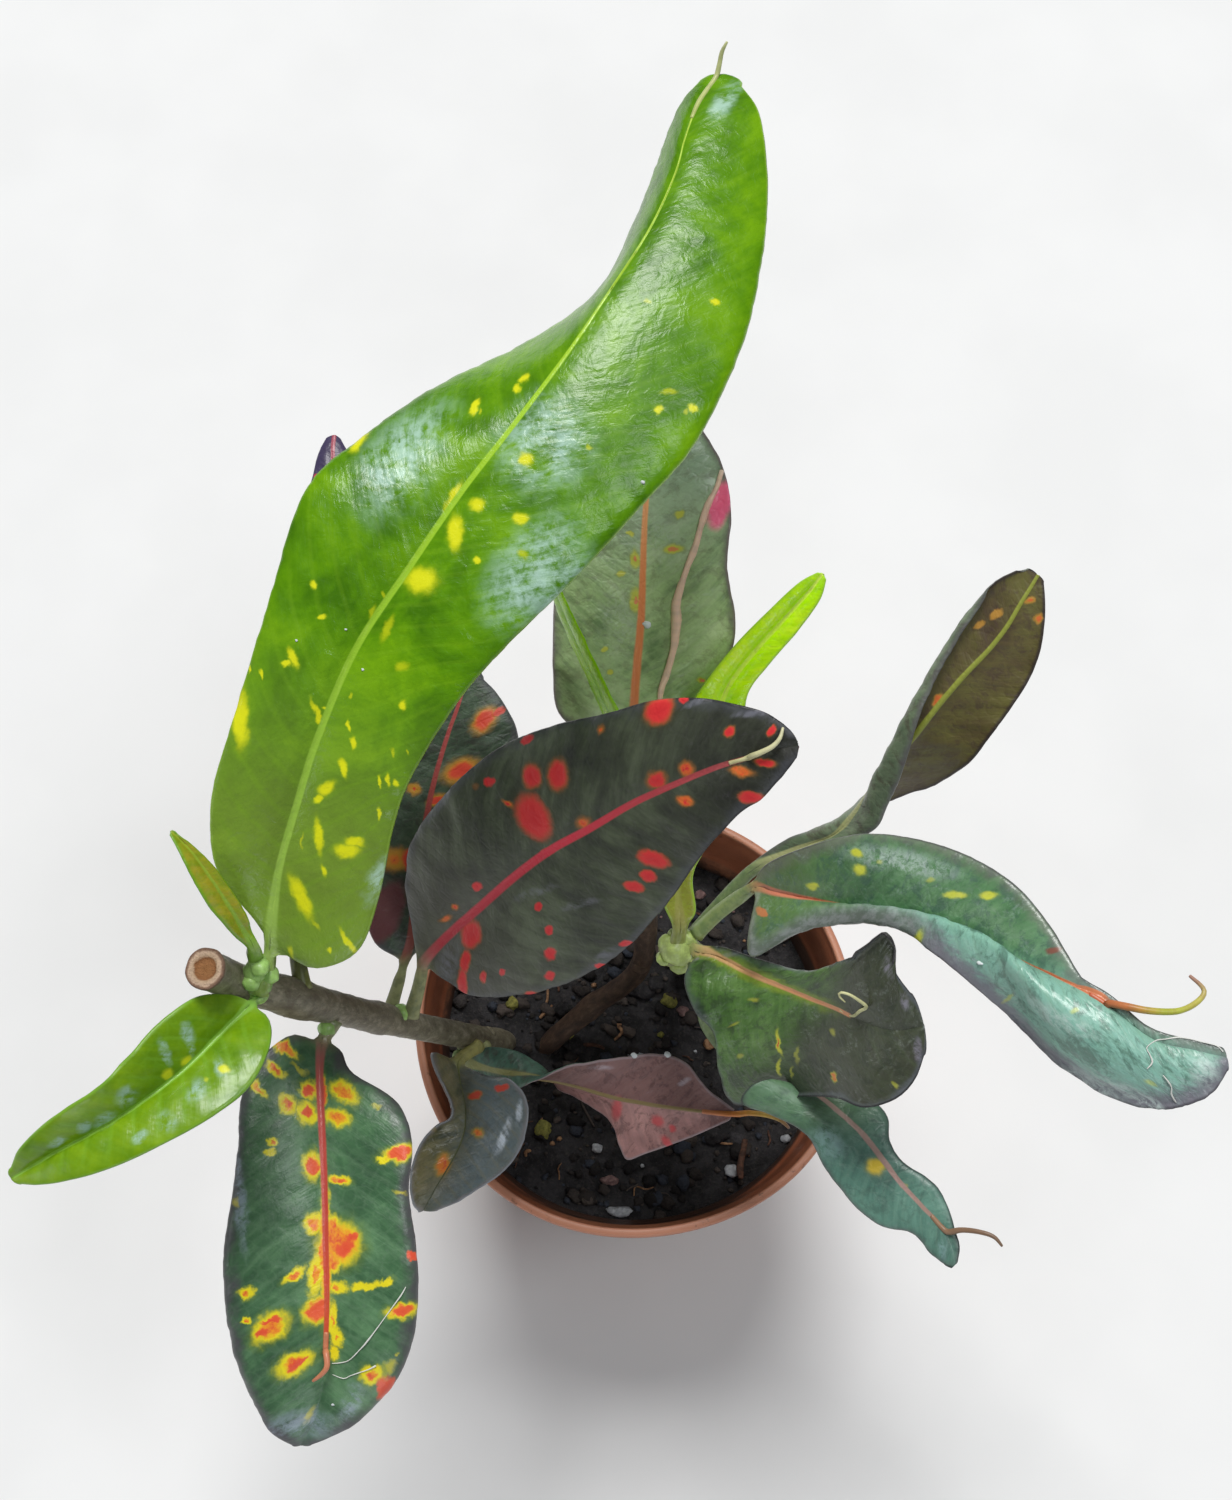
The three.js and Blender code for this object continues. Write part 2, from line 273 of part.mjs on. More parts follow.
    blade: [
      [7.41, 1, 89.11, 7.45, 0.66, 89.02, 7.53, 0.33, 88.86, 7.14, -0.02, 88.79, 6.81, -0.34, 88.62],
      [10.16, 0.29, 90.98, 9.9, -0.23, 90.54, 9.72, -0.79, 89.95, 7.45, -2.04, 90.16, 5.42, -3.42, 89.84],
      [13.26, -1.5, 93.31, 12.59, -1.91, 92.52, 12.07, -2.37, 91.5, 9.07, -4.78, 91.19, 6.54, -7.31, 90.13],
      [16.92, -3.39, 96.24, 15.6, -3.73, 95, 14.58, -4.03, 93.45, 11.37, -6.92, 91.04, 8.95, -9.67, 87.78],
      [19.5, -4.65, 100.04, 18.15, -5.29, 98.1, 17.23, -5.74, 95.8, 12.73, -9.98, 90.18, 9.69, -13.6, 83.37],
      [21.94, -4.79, 104.45, 20.61, -6.33, 101.52, 19.92, -7.54, 98.13, 14.8, -12.51, 90.56, 11.52, -16.53, 81.66],
      [23.58, -4.83, 108.27, 22.49, -7.21, 104.54, 22.22, -9.06, 100.35, 18.73, -12.36, 93.27, 16.79, -14.66, 85.32],
      [24.97, -4.15, 111.28, 24.08, -7.66, 107.06, 24.17, -10.57, 102.14, 22.77, -13.74, 99.72, 22.09, -16.48, 96.79],
      [26.57, -3.74, 112.28, 25.88, -8.08, 108.3, 26.06, -11.73, 103.42, 25.23, -16.03, 101.3, 25.1, -19.77, 98.47],
      [27.73, -4.7, 111.3, 27.44, -8.83, 108.22, 27.78, -12.35, 104.26, 27.63, -16.19, 103.07, 27.94, -19.57, 101.2],
      [27.71, -6.78, 109.9, 28.24, -9.83, 107.82, 29.18, -12.41, 105.09, 29.4, -15.21, 104.48, 29.91, -17.66, 103.39],
      [29.12, -9.02, 108.23, 29.53, -10.8, 107.18, 30.17, -12.32, 105.75, 30.4, -13.92, 105.46, 30.79, -15.32, 104.88],
    ],
  },
  {
    name: 'brown_backed_leaf', color: 0x55452d, roughness: 0.35, thickness: 0.62, rows: 13,
    petiole: [[6.14, 2.6, 85.22, 0.9], [9.02, 5.64, 86.96, 0.8], [12.09, 8.49, 89.28, 0.8]],
    awn: [],
    blade: [
      [13.78, 10.52, 91.72, 14.07, 10.27, 91.68, 14.38, 10.07, 91.56, 14.6, 9.65, 91.46, 14.86, 9.29, 91.27],
      [17.38, 12.53, 93.73, 18.07, 11.93, 94.04, 18.85, 11.4, 94.17, 19.43, 10.78, 94.36, 20.1, 10.22, 94.38],
      [22.25, 14.06, 95.56, 22.26, 13.01, 97.31, 23.17, 12.29, 97.26, 24.18, 11.43, 98.44, 24.64, 10.99, 98.28],
      [26.48, 15.33, 96.24, 25.35, 15.24, 98.76, 25.21, 13.96, 100.42, 26.34, 12.26, 101.93, 27.26, 11.61, 101.7],
      [30.5, 16.6, 98.4, 28.26, 16.86, 101.26, 27, 16.29, 103.61, 26.56, 15.35, 104.97, 28.44, 13.51, 104.73],
      [34.65, 17.1, 101.99, 31.62, 17.87, 103.97, 29.15, 18.49, 106.33, 27.7, 17.8, 107.57, 29.44, 15.71, 108.08],
      [37.6, 18.02, 105.94, 34.54, 19.42, 107.09, 31.33, 20.57, 109.21, 29.52, 21.34, 110.35, 30.7, 20.07, 111.8],
      [39.49, 19.9, 108.76, 36.67, 21.7, 109.41, 33.64, 23.17, 111.22, 31.53, 24.53, 112.36, 32.16, 23.51, 113.69],
      [41.68, 22.57, 111.22, 39.1, 24.36, 111.87, 36.27, 25.85, 113.26, 33.63, 27.69, 114.36, 34.16, 27.14, 115.65],
      [43.59, 25.35, 113.3, 41.36, 26.93, 113.87, 38.9, 28.26, 114.99, 35.94, 30.71, 116.31, 36.53, 30.31, 117.23],
      [44.6, 28, 115.32, 42.82, 29.25, 115.78, 40.74, 30.34, 116.6, 37.93, 32.76, 117.69, 38.4, 32.55, 118.68],
      [44.86, 30.81, 117.2, 43.53, 31.64, 117.5, 42.05, 32.39, 117.98, 39.8, 34.17, 118.85, 40.12, 34.02, 119.43],
      [44.75, 32.89, 118.48, 43.98, 33.4, 118.67, 43.09, 33.92, 118.86, 41.51, 35.19, 119.53, 41.66, 35.06, 119.81],
      [44.59, 34.36, 119.23, 44.15, 34.56, 119.31, 43.71, 34.87, 119.42, 42.59, 35.56, 119.78, 42.79, 35.62, 119.9],
    ],
  },
  {
    name: 'teal_lower_leaf', color: 0x5a8675, roughness: 0.35, thickness: 0.62, rows: 10,
    petiole: [[6.9, -1.32, 69.53, 0.9], [8.49, -5.38, 72.85, 0.85], [11.75, -10.02, 75.94, 0.85], [15.27, -13.81, 80.53, 0.8], [17.72, -15.34, 83.8, 0.75]],
    awn: [[34.86, -31.79, 87.18], [36.17, -32.17, 88.74], [37.72, -32.32, 90.18], [39.33, -32.84, 91.05], [40.55, -34.06, 91.25]],
    blade: [
      [19.86, -15.98, 86.12, 19.5, -15.86, 86.42, 19.1, -15.85, 86.7, 18.7, -15.7, 86.85, 18.26, -15.66, 86.98],
      [21.04, -15.74, 86.1, 20.44, -15.86, 86.61, 19.77, -16.14, 87.02, 17.64, -15.35, 88.05, 15.33, -15.05, 88.8],
      [22.57, -15.85, 86.06, 21.72, -16.22, 86.7, 20.79, -16.74, 87.12, 17, -16, 88.44, 12.97, -15.77, 88.96],
      [24.07, -16.23, 86.24, 23.06, -16.86, 86.89, 22.03, -17.57, 87.24, 17.05, -17.4, 88.14, 11.95, -17.56, 87.88],
      [25.49, -17.14, 86.76, 24.43, -17.91, 87.26, 23.36, -18.77, 87.45, 19.13, -18.56, 87.76, 14.89, -18.59, 87.08],
      [26.92, -18.29, 88.05, 25.76, -19.12, 88.12, 24.66, -19.99, 87.85, 21.11, -19.86, 87.77, 17.68, -19.83, 86.85],
      [28.1, -19.82, 88.24, 26.95, -20.5, 88.3, 25.86, -21.17, 88.06, 22.73, -21.31, 87.75, 19.73, -21.42, 86.69],
      [29.04, -21.77, 88.27, 28.02, -22.23, 88.34, 27.05, -22.67, 88.16, 23.98, -23.49, 87.61, 21.06, -24.24, 86.31],
      [29.95, -23.85, 88.47, 29.16, -24.25, 88.48, 28.44, -24.62, 88.3, 25.65, -25.89, 87.57, 23.06, -27.06, 86.13],
      [31.3, -25.16, 88.95, 30.58, -25.94, 88.8, 29.93, -26.67, 88.4, 27.48, -28.24, 87.66, 25.24, -29.67, 86.24],
      [32.81, -26.1, 89.25, 32.01, -27.21, 89.01, 31.32, -28.25, 88.47, 29.63, -29.99, 87.71, 28.12, -31.6, 86.39],
      [34.42, -27.79, 89.27, 33.51, -28.84, 89.05, 32.71, -29.82, 88.53, 31.84, -31.12, 87.94, 31.09, -32.33, 86.98],
      [35.56, -30.63, 88.87, 34.97, -31.19, 88.77, 34.43, -31.7, 88.49, 33.6, -33.12, 87.97, 32.9, -34.44, 87.06],
      [36.14, -33.79, 88.36, 35.79, -33.79, 88.4, 35.46, -33.79, 88.36, 34.86, -34.77, 88.1, 34.34, -35.69, 87.56],
      [36.06, -35.42, 88.2, 35.89, -35.53, 88.18, 35.72, -35.63, 88.12, 35.49, -35.9, 88.06, 35.27, -36.16, 87.93],
    ],
  },
  {
    name: 'grey_green_back_leaf', color: 0x55694f, roughness: 0.35, thickness: 0.62, rows: 9,
    petiole: [[1.22, 20.23, 95.47, 0.9], [0.73, 21.29, 97.13, 0.85]],
    awn: [],
    blade: [
      [-0.47, 22.44, 98.83, -0.12, 22.3, 98.82, 0.24, 22.22, 98.75, 0.59, 22.3, 98.82, 0.95, 22.44, 98.83],
      [-5.88, 22.85, 101.11, -3.05, 23.35, 101.2, -0.25, 24.35, 100.8, 2.11, 23.61, 101.07, 4.44, 23.29, 100.94],
      [-9.34, 25.07, 103.83, -4.9, 25.36, 103.83, -0.5, 26.38, 103.03, 3.65, 25.57, 103.65, 7.76, 25.43, 103.53],
      [-9.87, 29.26, 107.06, -5.01, 29.4, 107.06, -0.16, 30.26, 106.14, 5.03, 29.41, 107, 10.22, 29.34, 106.87],
      [-9.82, 33.9, 110.23, -4.77, 33.85, 110.31, 0.28, 34.52, 109.39, 5.73, 33.76, 110.21, 11.17, 33.76, 109.97],
      [-9.44, 38.76, 113.28, -4.5, 38.66, 113.44, 0.49, 39.22, 112.59, 5.28, 38.71, 113.87, 10.12, 38.85, 114.16],
      [-8.62, 43.76, 115.95, -3.99, 43.61, 116.27, 0.7, 44.04, 115.63, 5.57, 43.53, 116.91, 10.5, 43.63, 117.18],
      [-7.36, 48.59, 118.35, -3.13, 48.4, 118.81, 1.14, 48.7, 118.39, 5.41, 48.25, 119.09, 9.71, 48.3, 118.88],
      [-5.09, 52.96, 120.15, -1.65, 52.68, 120.7, 1.8, 52.76, 120.5, 4.68, 52.34, 120.61, 7.57, 52.22, 120.1],
      [-1.24, 55.94, 121.24, 0.61, 55.76, 121.73, 2.48, 55.74, 121.8, 3.89, 55.35, 121.64, 5.31, 55.09, 121.14],
      [1.7, 57.11, 121.87, 2.32, 57.1, 122.05, 2.93, 57.11, 122.09, 3.45, 56.99, 122.01, 3.96, 56.9, 121.8],
    ],
  },
  {
    name: 'lime_narrow_leaf', color: 0xa0d21e, roughness: 0.35, thickness: 0.62, rows: 10,
    petiole: [[4.78, 1.62, 89.55, 0.9]],
    awn: [],
    blade: [
      [4.03, 2.91, 91.18, 4.51, 2.8, 91.05, 4.99, 2.76, 90.81, 5.52, 2.85, 91.08, 6.05, 3.02, 91.23],
      [3.06, 4.78, 92.83, 3.96, 4.79, 92.62, 4.85, 4.94, 92.24, 5.85, 4.59, 92.46, 6.85, 4.39, 92.47],
      [2.33, 7.28, 95.22, 3.46, 7.38, 95.08, 4.57, 7.66, 94.73, 5.51, 7.59, 95.02, 6.44, 7.66, 95.15],
      [2.06, 10.42, 97.75, 3.53, 10.55, 97.71, 4.99, 10.9, 97.39, 6.45, 10.56, 97.66, 7.9, 10.45, 97.66],
      [2.5, 13.66, 100.21, 4.13, 13.79, 100.19, 5.77, 14.15, 99.85, 7.84, 13.39, 100.05, 9.93, 12.93, 99.84],
      [3.29, 17.15, 102.54, 5.08, 17.11, 102.48, 6.89, 17.31, 102.07, 9.18, 16.76, 102.37, 11.49, 16.53, 102.21],
      [4.18, 20.57, 104.96, 6.09, 20.37, 104.8, 7.99, 20.45, 104.27, 10.05, 20.27, 104.73, 12.11, 20.39, 104.78],
      [5.62, 23.91, 107.45, 7.35, 23.56, 107.22, 9.08, 23.48, 106.66, 10.61, 23.44, 107.09, 12.14, 23.63, 107.24],
      [7.62, 26.57, 109.7, 8.88, 26.2, 109.4, 10.16, 26.05, 108.87, 11.38, 25.75, 109.17, 12.63, 25.65, 109.25],
      [10.59, 29.57, 112.49, 11.67, 29.17, 112.17, 12.78, 28.96, 111.63, 13.87, 28.45, 111.85, 15, 28.13, 111.86],
      [14.08, 32.45, 115.14, 15.04, 32.05, 114.85, 16.03, 31.82, 114.37, 16.95, 31.23, 114.5, 17.9, 30.81, 114.43],
      [17.53, 35.02, 117.56, 18.19, 34.6, 117.34, 18.89, 34.31, 116.98, 19.48, 33.79, 116.99, 20.1, 33.39, 116.86],
      [19.59, 35.95, 118.43, 19.86, 35.77, 118.4, 20.14, 35.64, 118.32, 20.41, 35.35, 118.26, 20.7, 35.12, 118.13],
    ],
  },
  {
    name: 'thin_lime_leaf', color: 0x96c832, roughness: 0.35, thickness: 0.62, rows: 6,
    petiole: [[0.91, 20.96, 100.84, 0.7], [-0.05, 21.34, 103.53, 0.65]],
    awn: [],
    blade: [
      [-1.45, 22, 104.41, -1.33, 21.84, 105.13, -1.11, 21.83, 105.84, -0.99, 21.62, 106.54, -0.78, 21.55, 107.23],
      [-3.75, 23.55, 106.47, -3.56, 23.23, 107.67, -3.17, 23.12, 108.86, -2.93, 22.79, 110.07, -2.49, 22.67, 111.26],
      [-5.55, 26.47, 109.66, -5.34, 25.94, 111, -4.84, 25.62, 112.33, -4.64, 25.2, 113.71, -4.15, 24.99, 115.08],
      [-7.44, 29.52, 112.9, -7.22, 28.98, 114.23, -6.71, 28.63, 115.55, -6.5, 28.14, 116.91, -6, 27.83, 118.24],
      [-8.95, 32.3, 116.04, -8.77, 31.83, 117.18, -8.33, 31.52, 118.31, -8.15, 31.1, 119.47, -7.72, 30.84, 120.61],
      [-10, 34.38, 118.92, -9.83, 34.09, 119.7, -9.5, 33.91, 120.45, -9.34, 33.62, 121.23, -9.02, 33.43, 121.98],
      [-10.59, 35.47, 121.23, -10.5, 35.37, 121.53, -10.35, 35.31, 121.82, -10.26, 35.21, 122.11, -10.11, 35.15, 122.4],
    ],
  },
];

const wasm = await Module();
wasm.setup();

// ---- closed meshes to solids and back ----
function toSolid(geometry) {
  let g = geometry.index ? geometry.toNonIndexed() : geometry.clone();
  for (const name of Object.keys(g.attributes)) {
    if (name !== 'position') g.deleteAttribute(name);
  }
  g = BufferGeometryUtils.mergeVertices(g, 1e-4);
  const mesh = new wasm.Mesh({
    numProp: 3,
    vertProperties: new Float32Array(g.attributes.position.array),
    triVerts: new Uint32Array(g.index.array),
  });
  return new wasm.Manifold(mesh);
}

function toGeometry(solid) {
  const m = solid.getMesh();
  const g = new THREE.BufferGeometry();
  const n = m.numProp;
  const pos = new Float32Array((m.vertProperties.length / n) * 3);
  for (let i = 0; i < pos.length / 3; i++) {
    pos[3 * i] = m.vertProperties[n * i];
    pos[3 * i + 1] = m.vertProperties[n * i + 1];
    pos[3 * i + 2] = m.vertProperties[n * i + 2];
  }
  g.setAttribute('position', new THREE.BufferAttribute(pos, 3));
  g.setIndex(new THREE.BufferAttribute(new Uint32Array(m.triVerts), 1));
  g.computeVertexNormals();
  return g;
}

// ---- a round stalk along a smooth line ----
function circleShape(r, sides) {
  const s = new THREE.Shape();
  for (let i = 0; i < sides; i++) {
    const a = (2 * Math.PI * i) / sides;
    if (i === 0) s.moveTo(r, 0);
    else s.lineTo(r * Math.cos(a), r * Math.sin(a));
  }
  s.closePath();
  return s;
}

function stalk(points, r, steps, sides) {
  const curve = new THREE.CatmullRomCurve3(points.map((p) => new THREE.Vector3(p[0], p[1], p[2])));
  return new THREE.ExtrudeGeometry(circleShape(r, sides), { steps, bevelEnabled: false, extrudePath: curve, curveSegments: 1 });
}

// ---- smooth resampling of a list of rows ----
function catmull(p0, p1, p2, p3, t) {
  const t2 = t * t, t3 = t2 * t;
  return 0.5 * (2 * p1 + (-p0 + p2) * t + (2 * p0 - 5 * p1 + 4 * p2 - p3) * t2 + (-p0 + 3 * p1 - 3 * p2 + p3) * t3);
}

function resample(rows, count) {
  const out = [];
  const last = rows.length - 1;
  for (let i = 0; i < count; i++) {
    const u = (i / (count - 1)) * last;
    const k = Math.min(Math.floor(u), last - 1);
    const t = u - k;
    const a = rows[Math.max(k - 1, 0)], b = rows[k], c = rows[k + 1], d = rows[Math.min(k + 2, last)];
    out.push(b.map((_, j) => catmull(a[j], b[j], c[j], d[j], t)));
  }
  return out;
}

// ---- one leaf: petiole and blade in one closed skin ----
function leafSkin(leaf, count) {
  const first = leaf.blade[0];
  const across = new THREE.Vector3(first[12] - first[0], first[13] - first[1], first[14] - first[2]).normalize();
  const rows = [], thick = [];
  for (const p of leaf.petiole) {
    const row = [];
    for (const k of [-1, -0.5, 0, 0.5, 1]) {
      row.push(p[0] + across.x * p[3] * k, p[1] + across.y * p[3] * k, p[2] + across.z * p[3] * k);
    }
    rows.push(row);
    thick.push(2 * p[3] * PETIOLE_FLAT);
  }
  const blade = resample(leaf.blade, count);
  blade.forEach((r, i) => {
    rows.push(r);
    const f = Math.min(1, (i / (count - 1)) / 0.18);
    thick.push(BLADE_ROOT_TH + (leaf.thickness - BLADE_ROOT_TH) * f);
  });

  const n = rows.length;
  const at = (i, j) => new THREE.Vector3(rows[i][3 * j], rows[i][3 * j + 1], rows[i][3 * j + 2]);
  const top = [], bottom = [];
  for (let i = 0; i < n; i++) {
    for (let j = 0; j < 5; j++) {
      const du = at(Math.min(i + 1, n - 1), j).sub(at(Math.max(i - 1, 0), j));
      const dm = at(Math.min(i + 1, n - 1), 2).sub(at(Math.max(i - 1, 0), 2));
      du.normalize().add(dm.normalize());
      const dv = at(i, Math.min(j + 1, 4)).sub(at(i, Math.max(j - 1, 0)));
      const nrm = dv.cross(du).normalize().multiplyScalar(thick[i] / 2);
      top.push(at(i, j).add(nrm));
      bottom.push(at(i, j).sub(nrm));
    }
  }
  const tri = [];
  const quad = (a, b, c, d) => { tri.push(a, b, c, a, c, d); };
  for (let i = 0; i < n - 1; i++) {
    for (let j = 0; j < 4; j++) {
      const a = i * 5 + j, b = a + 1, c = a + 6, d = a + 5;
      quad(top[a], top[b], top[c], top[d]);
      quad(bottom[b], bottom[a], bottom[d], bottom[c]);
    }
    const l0 = i * 5, l1 = l0 + 5, r0 = i * 5 + 4, r1 = r0 + 5;
    quad(bottom[l0], top[l0], top[l1], bottom[l1]);
    quad(top[r0], bottom[r0], bottom[r1], top[r1]);
  }
  for (let j = 0; j < 4; j++) {
    const e = (n - 1) * 5 + j;
    quad(bottom[j], bottom[j + 1], top[j + 1], top[j]);
    quad(top[e], top[e + 1], bottom[e + 1], bottom[e]);
  }
  const pos = new Float32Array(tri.length * 3);
  tri.forEach((v, i) => { pos[3 * i] = v.x; pos[3 * i + 1] = v.y; pos[3 * i + 2] = v.z; });
  const g = new THREE.BufferGeometry();
  g.setAttribute('position', new THREE.BufferAttribute(pos, 3));
  return g;
}

// ---- a profile of [radius, height] turned round the Z axis ----
function turned(profile, sides) {
  const g = new THREE.LatheGeometry(profile.map((q) => new THREE.Vector2(q[0], q[1])), sides);
  g.rotateX(Math.PI / 2);
  return g;
}

// ---- the pot: a thin turned shell with a stepped band and a rolled lip ----
const wallOut = (z) => POT_BASE_R + ((POT_TOP_R - LIP_OUT - BAND_STEP - POT_BASE_R) * z) / POT_H;
function potGeometry() {
  const zb = POT_H - BAND_H;
  const inner = (z) => wallOut(z) - POT_WALL;
  const p = [
    [0, 0],
    [POT_BASE_R - 0.6, 0],
    [POT_BASE_R, 0.6],
    [wallOut(zb - 1.2), zb - 1.2],
    [wallOut(zb) + BAND_STEP, zb],
    [wallOut(POT_H - LIP_H - 0.6) + BAND_STEP, POT_H - LIP_H - 0.6],
    [POT_TOP_R, POT_H - LIP_H],
    [POT_TOP_R, POT_H - 0.4],
    [POT_TOP_R - 0.4, POT_H],
    [inner(POT_H) + BAND_STEP + 0.2, POT_H],
    [inner(POT_H - 1.0) + BAND_STEP, POT_H - 1.0],
    [inner(zb) + BAND_STEP, zb],
    [inner(zb - 1.2), zb - 1.2],
    [inner(POT_FLOOR + 0.8), POT_FLOOR + 0.8],
    [inner(POT_FLOOR) - 0.8, POT_FLOOR],
    [0, POT_FLOOR],
  ];
  let solid = toSolid(turned(p, POT_SIDES));
  for (let i = 0; i < DRAIN_COUNT; i++) {
    const a = (2 * Math.PI * (i + 0.5)) / DRAIN_COUNT;
    const hole = new THREE.CylinderGeometry(DRAIN_R, DRAIN_R, 6, 10);
    hole.rotateX(Math.PI / 2);
    hole.translate(DRAIN_RING_R * Math.cos(a), DRAIN_RING_R * Math.sin(a), POT_FLOOR / 2);
    solid = solid.subtract(toSolid(hole));
  }
  return toGeometry(solid);
}

// ---- the soil: fills the pot to SOIL_TOP, a little higher in the middle ----
function soilGeometry(holes) {
  const r = (z) => wallOut(z) - POT_WALL - GAP;
  const p = [
    [0, POT_FLOOR + GAP],
    [r(POT_FLOOR) - 1.4, POT_FLOOR + GAP],
    [r(POT_FLOOR + 2) - 0.15, POT_FLOOR + 2],
    [r(SOIL_TOP), SOIL_TOP],
    [18, SOIL_TOP + 0.5],
    [8, SOIL_CROWN],
    [0, SOIL_CROWN],
  ];
  let solid = toSolid(turned(p, 32));
  for (const h of holes) solid = solid.subtract(h);
  return toGeometry(solid);
}

// ---- the scene graph ----
const group = new THREE.Group();
function piece(name, geometry, color, roughness) {
  const mesh = new THREE.Mesh(geometry, new THREE.MeshStandardMaterial({ color, roughness, metalness: 0 }));
  mesh.name = name;
  group.add(mesh);
}

const mainStem = toSolid(stalk(MAIN_STEM, MAIN_STEM_R, 14, 10)).add(toSolid(stalk(GREEN_SHOOT, SHOOT_R, 5, 8)));
const rightStem = toSolid(stalk(RIGHT_STEM, RIGHT_STEM_R, 9, 8));
const backStem = toSolid(stalk(BACK_STEM, BACK_STEM_R, 12, 8));
// the same stems a little fatter, to leave a gap round them
const clearance = [
  toSolid(stalk(extend(MAIN_STEM), MAIN_STEM_R + GAP, 14, 10)),
  toSolid(stalk(extend(GREEN_SHOOT), SHOOT_R + GAP, 5, 8)),
  toSolid(stalk(extend(RIGHT_STEM), RIGHT_STEM_R + GAP, 9, 8)),
  toSolid(stalk(extend(BACK_STEM), BACK_STEM_R + GAP, 12, 8)),
];

function extend(points) {
  const out = points.map((p) => p.slice());
  const push = (a, b) => {
    const v = new THREE.Vector3(a[0] - b[0], a[1] - b[1], a[2] - b[2]).setLength(GAP);
    return [a[0] + v.x, a[1] + v.y, a[2] + v.z];
  };
  out[0] = push(points[0], points[1]);
  out[out.length - 1] = push(points[points.length - 1], points[points.length - 2]);
  return out;
}

piece('pot', potGeometry(), 0xa3674f, 0.62);
piece('soil', soilGeometry([clearance[0], clearance[2], clearance[3]]), 0x241f1e, 0.98);
piece('main_stem', toGeometry(mainStem), 0x7a7358, 0.7);
piece('right_stem', toGeometry(rightStem), 0x8a9460, 0.65);
piece('back_stem', toGeometry(backStem), 0x6f5140, 0.75);

for (const leaf of LEAVES) {
  let solid = toSolid(leafSkin(leaf, leaf.rows));
  if (leaf.awn.length) solid = solid.add(toSolid(stalk(leaf.awn, AWN_R, 7, 6)));
  for (const c of clearance) solid = solid.subtract(c);
  piece(leaf.name, toGeometry(solid), leaf.color, leaf.roughness);
}

export default group;
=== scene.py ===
import math

import bpy
import bmesh
import numpy as np
from mathutils import Matrix, Vector, noise


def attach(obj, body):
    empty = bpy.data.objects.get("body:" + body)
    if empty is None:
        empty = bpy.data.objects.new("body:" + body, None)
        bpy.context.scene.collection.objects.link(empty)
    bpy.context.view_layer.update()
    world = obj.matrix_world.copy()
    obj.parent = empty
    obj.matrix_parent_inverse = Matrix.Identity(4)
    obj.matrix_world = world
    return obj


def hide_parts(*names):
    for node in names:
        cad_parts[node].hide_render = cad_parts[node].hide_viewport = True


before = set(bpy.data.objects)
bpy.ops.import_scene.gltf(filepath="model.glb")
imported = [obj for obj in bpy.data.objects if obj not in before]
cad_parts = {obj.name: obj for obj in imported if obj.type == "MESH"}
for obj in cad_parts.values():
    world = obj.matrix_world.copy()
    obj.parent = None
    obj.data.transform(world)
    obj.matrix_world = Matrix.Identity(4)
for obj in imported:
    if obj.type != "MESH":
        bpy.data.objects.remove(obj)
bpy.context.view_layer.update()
MM = 0.001
PHOTO_W, PHOTO_H = 1232, 1500

# ---------------------------------------------------------------- pot and soil sizes (mm)
POT_TOP_R, POT_BASE_R, POT_H = 30.0, 21.5, 54.0
POT_WALL, POT_FLOOR = 1.0, 1.4
BAND_H, BAND_STEP, LIP_H, LIP_OUT = 8.5, 0.55, 1.3, 0.5
DRAIN_R, DRAIN_RING_R, DRAIN_COUNT = 1.9, 13.5, 5
SOIL_TOP, SOIL_CROWN = 42.2, 43.4

# ---------------------------------------------------------------- stems: points of their centre lines (mm)
MAIN_STEM = [[-15.6, 0.6, 27], [-18.93, -1.87, 44.32], [-23.11, -3.73, 59.08], [-26.58, -5.82, 73.75], [-29.54, -7.8, 87.93], [-32.21, -9.62, 101.1], [-34.39, -11.22, 112.75], [-36.52, -12.15, 121.14], [-39.19, -12.29, 125.77], [-40.76, -12.23, 129.41], [-41.36, -12.63, 133.95]]
GREEN_SHOOT = [[-37.8, -12.26, 123.02], [-38.17, -12.7, 125.84], [-37.79, -11.87, 128.27], [-37.25, -10.8, 130.04]]
RIGHT_STEM = [[8.2, 13.6, 27], [7.5, 11.6, 42], [6.6, 8.3, 58], [5.6, 4.8, 74], [4.48, 0.72, 87.3]]
BACK_STEM = [[-16.5, -4.5, 27], [-12.2, -1.9, 43], [-6, 1.7, 51.5], [0.62, 5.37, 60.26], [1.2, 12, 76], [1.4, 18.2, 90], [1.45, 21.19, 96.35]]
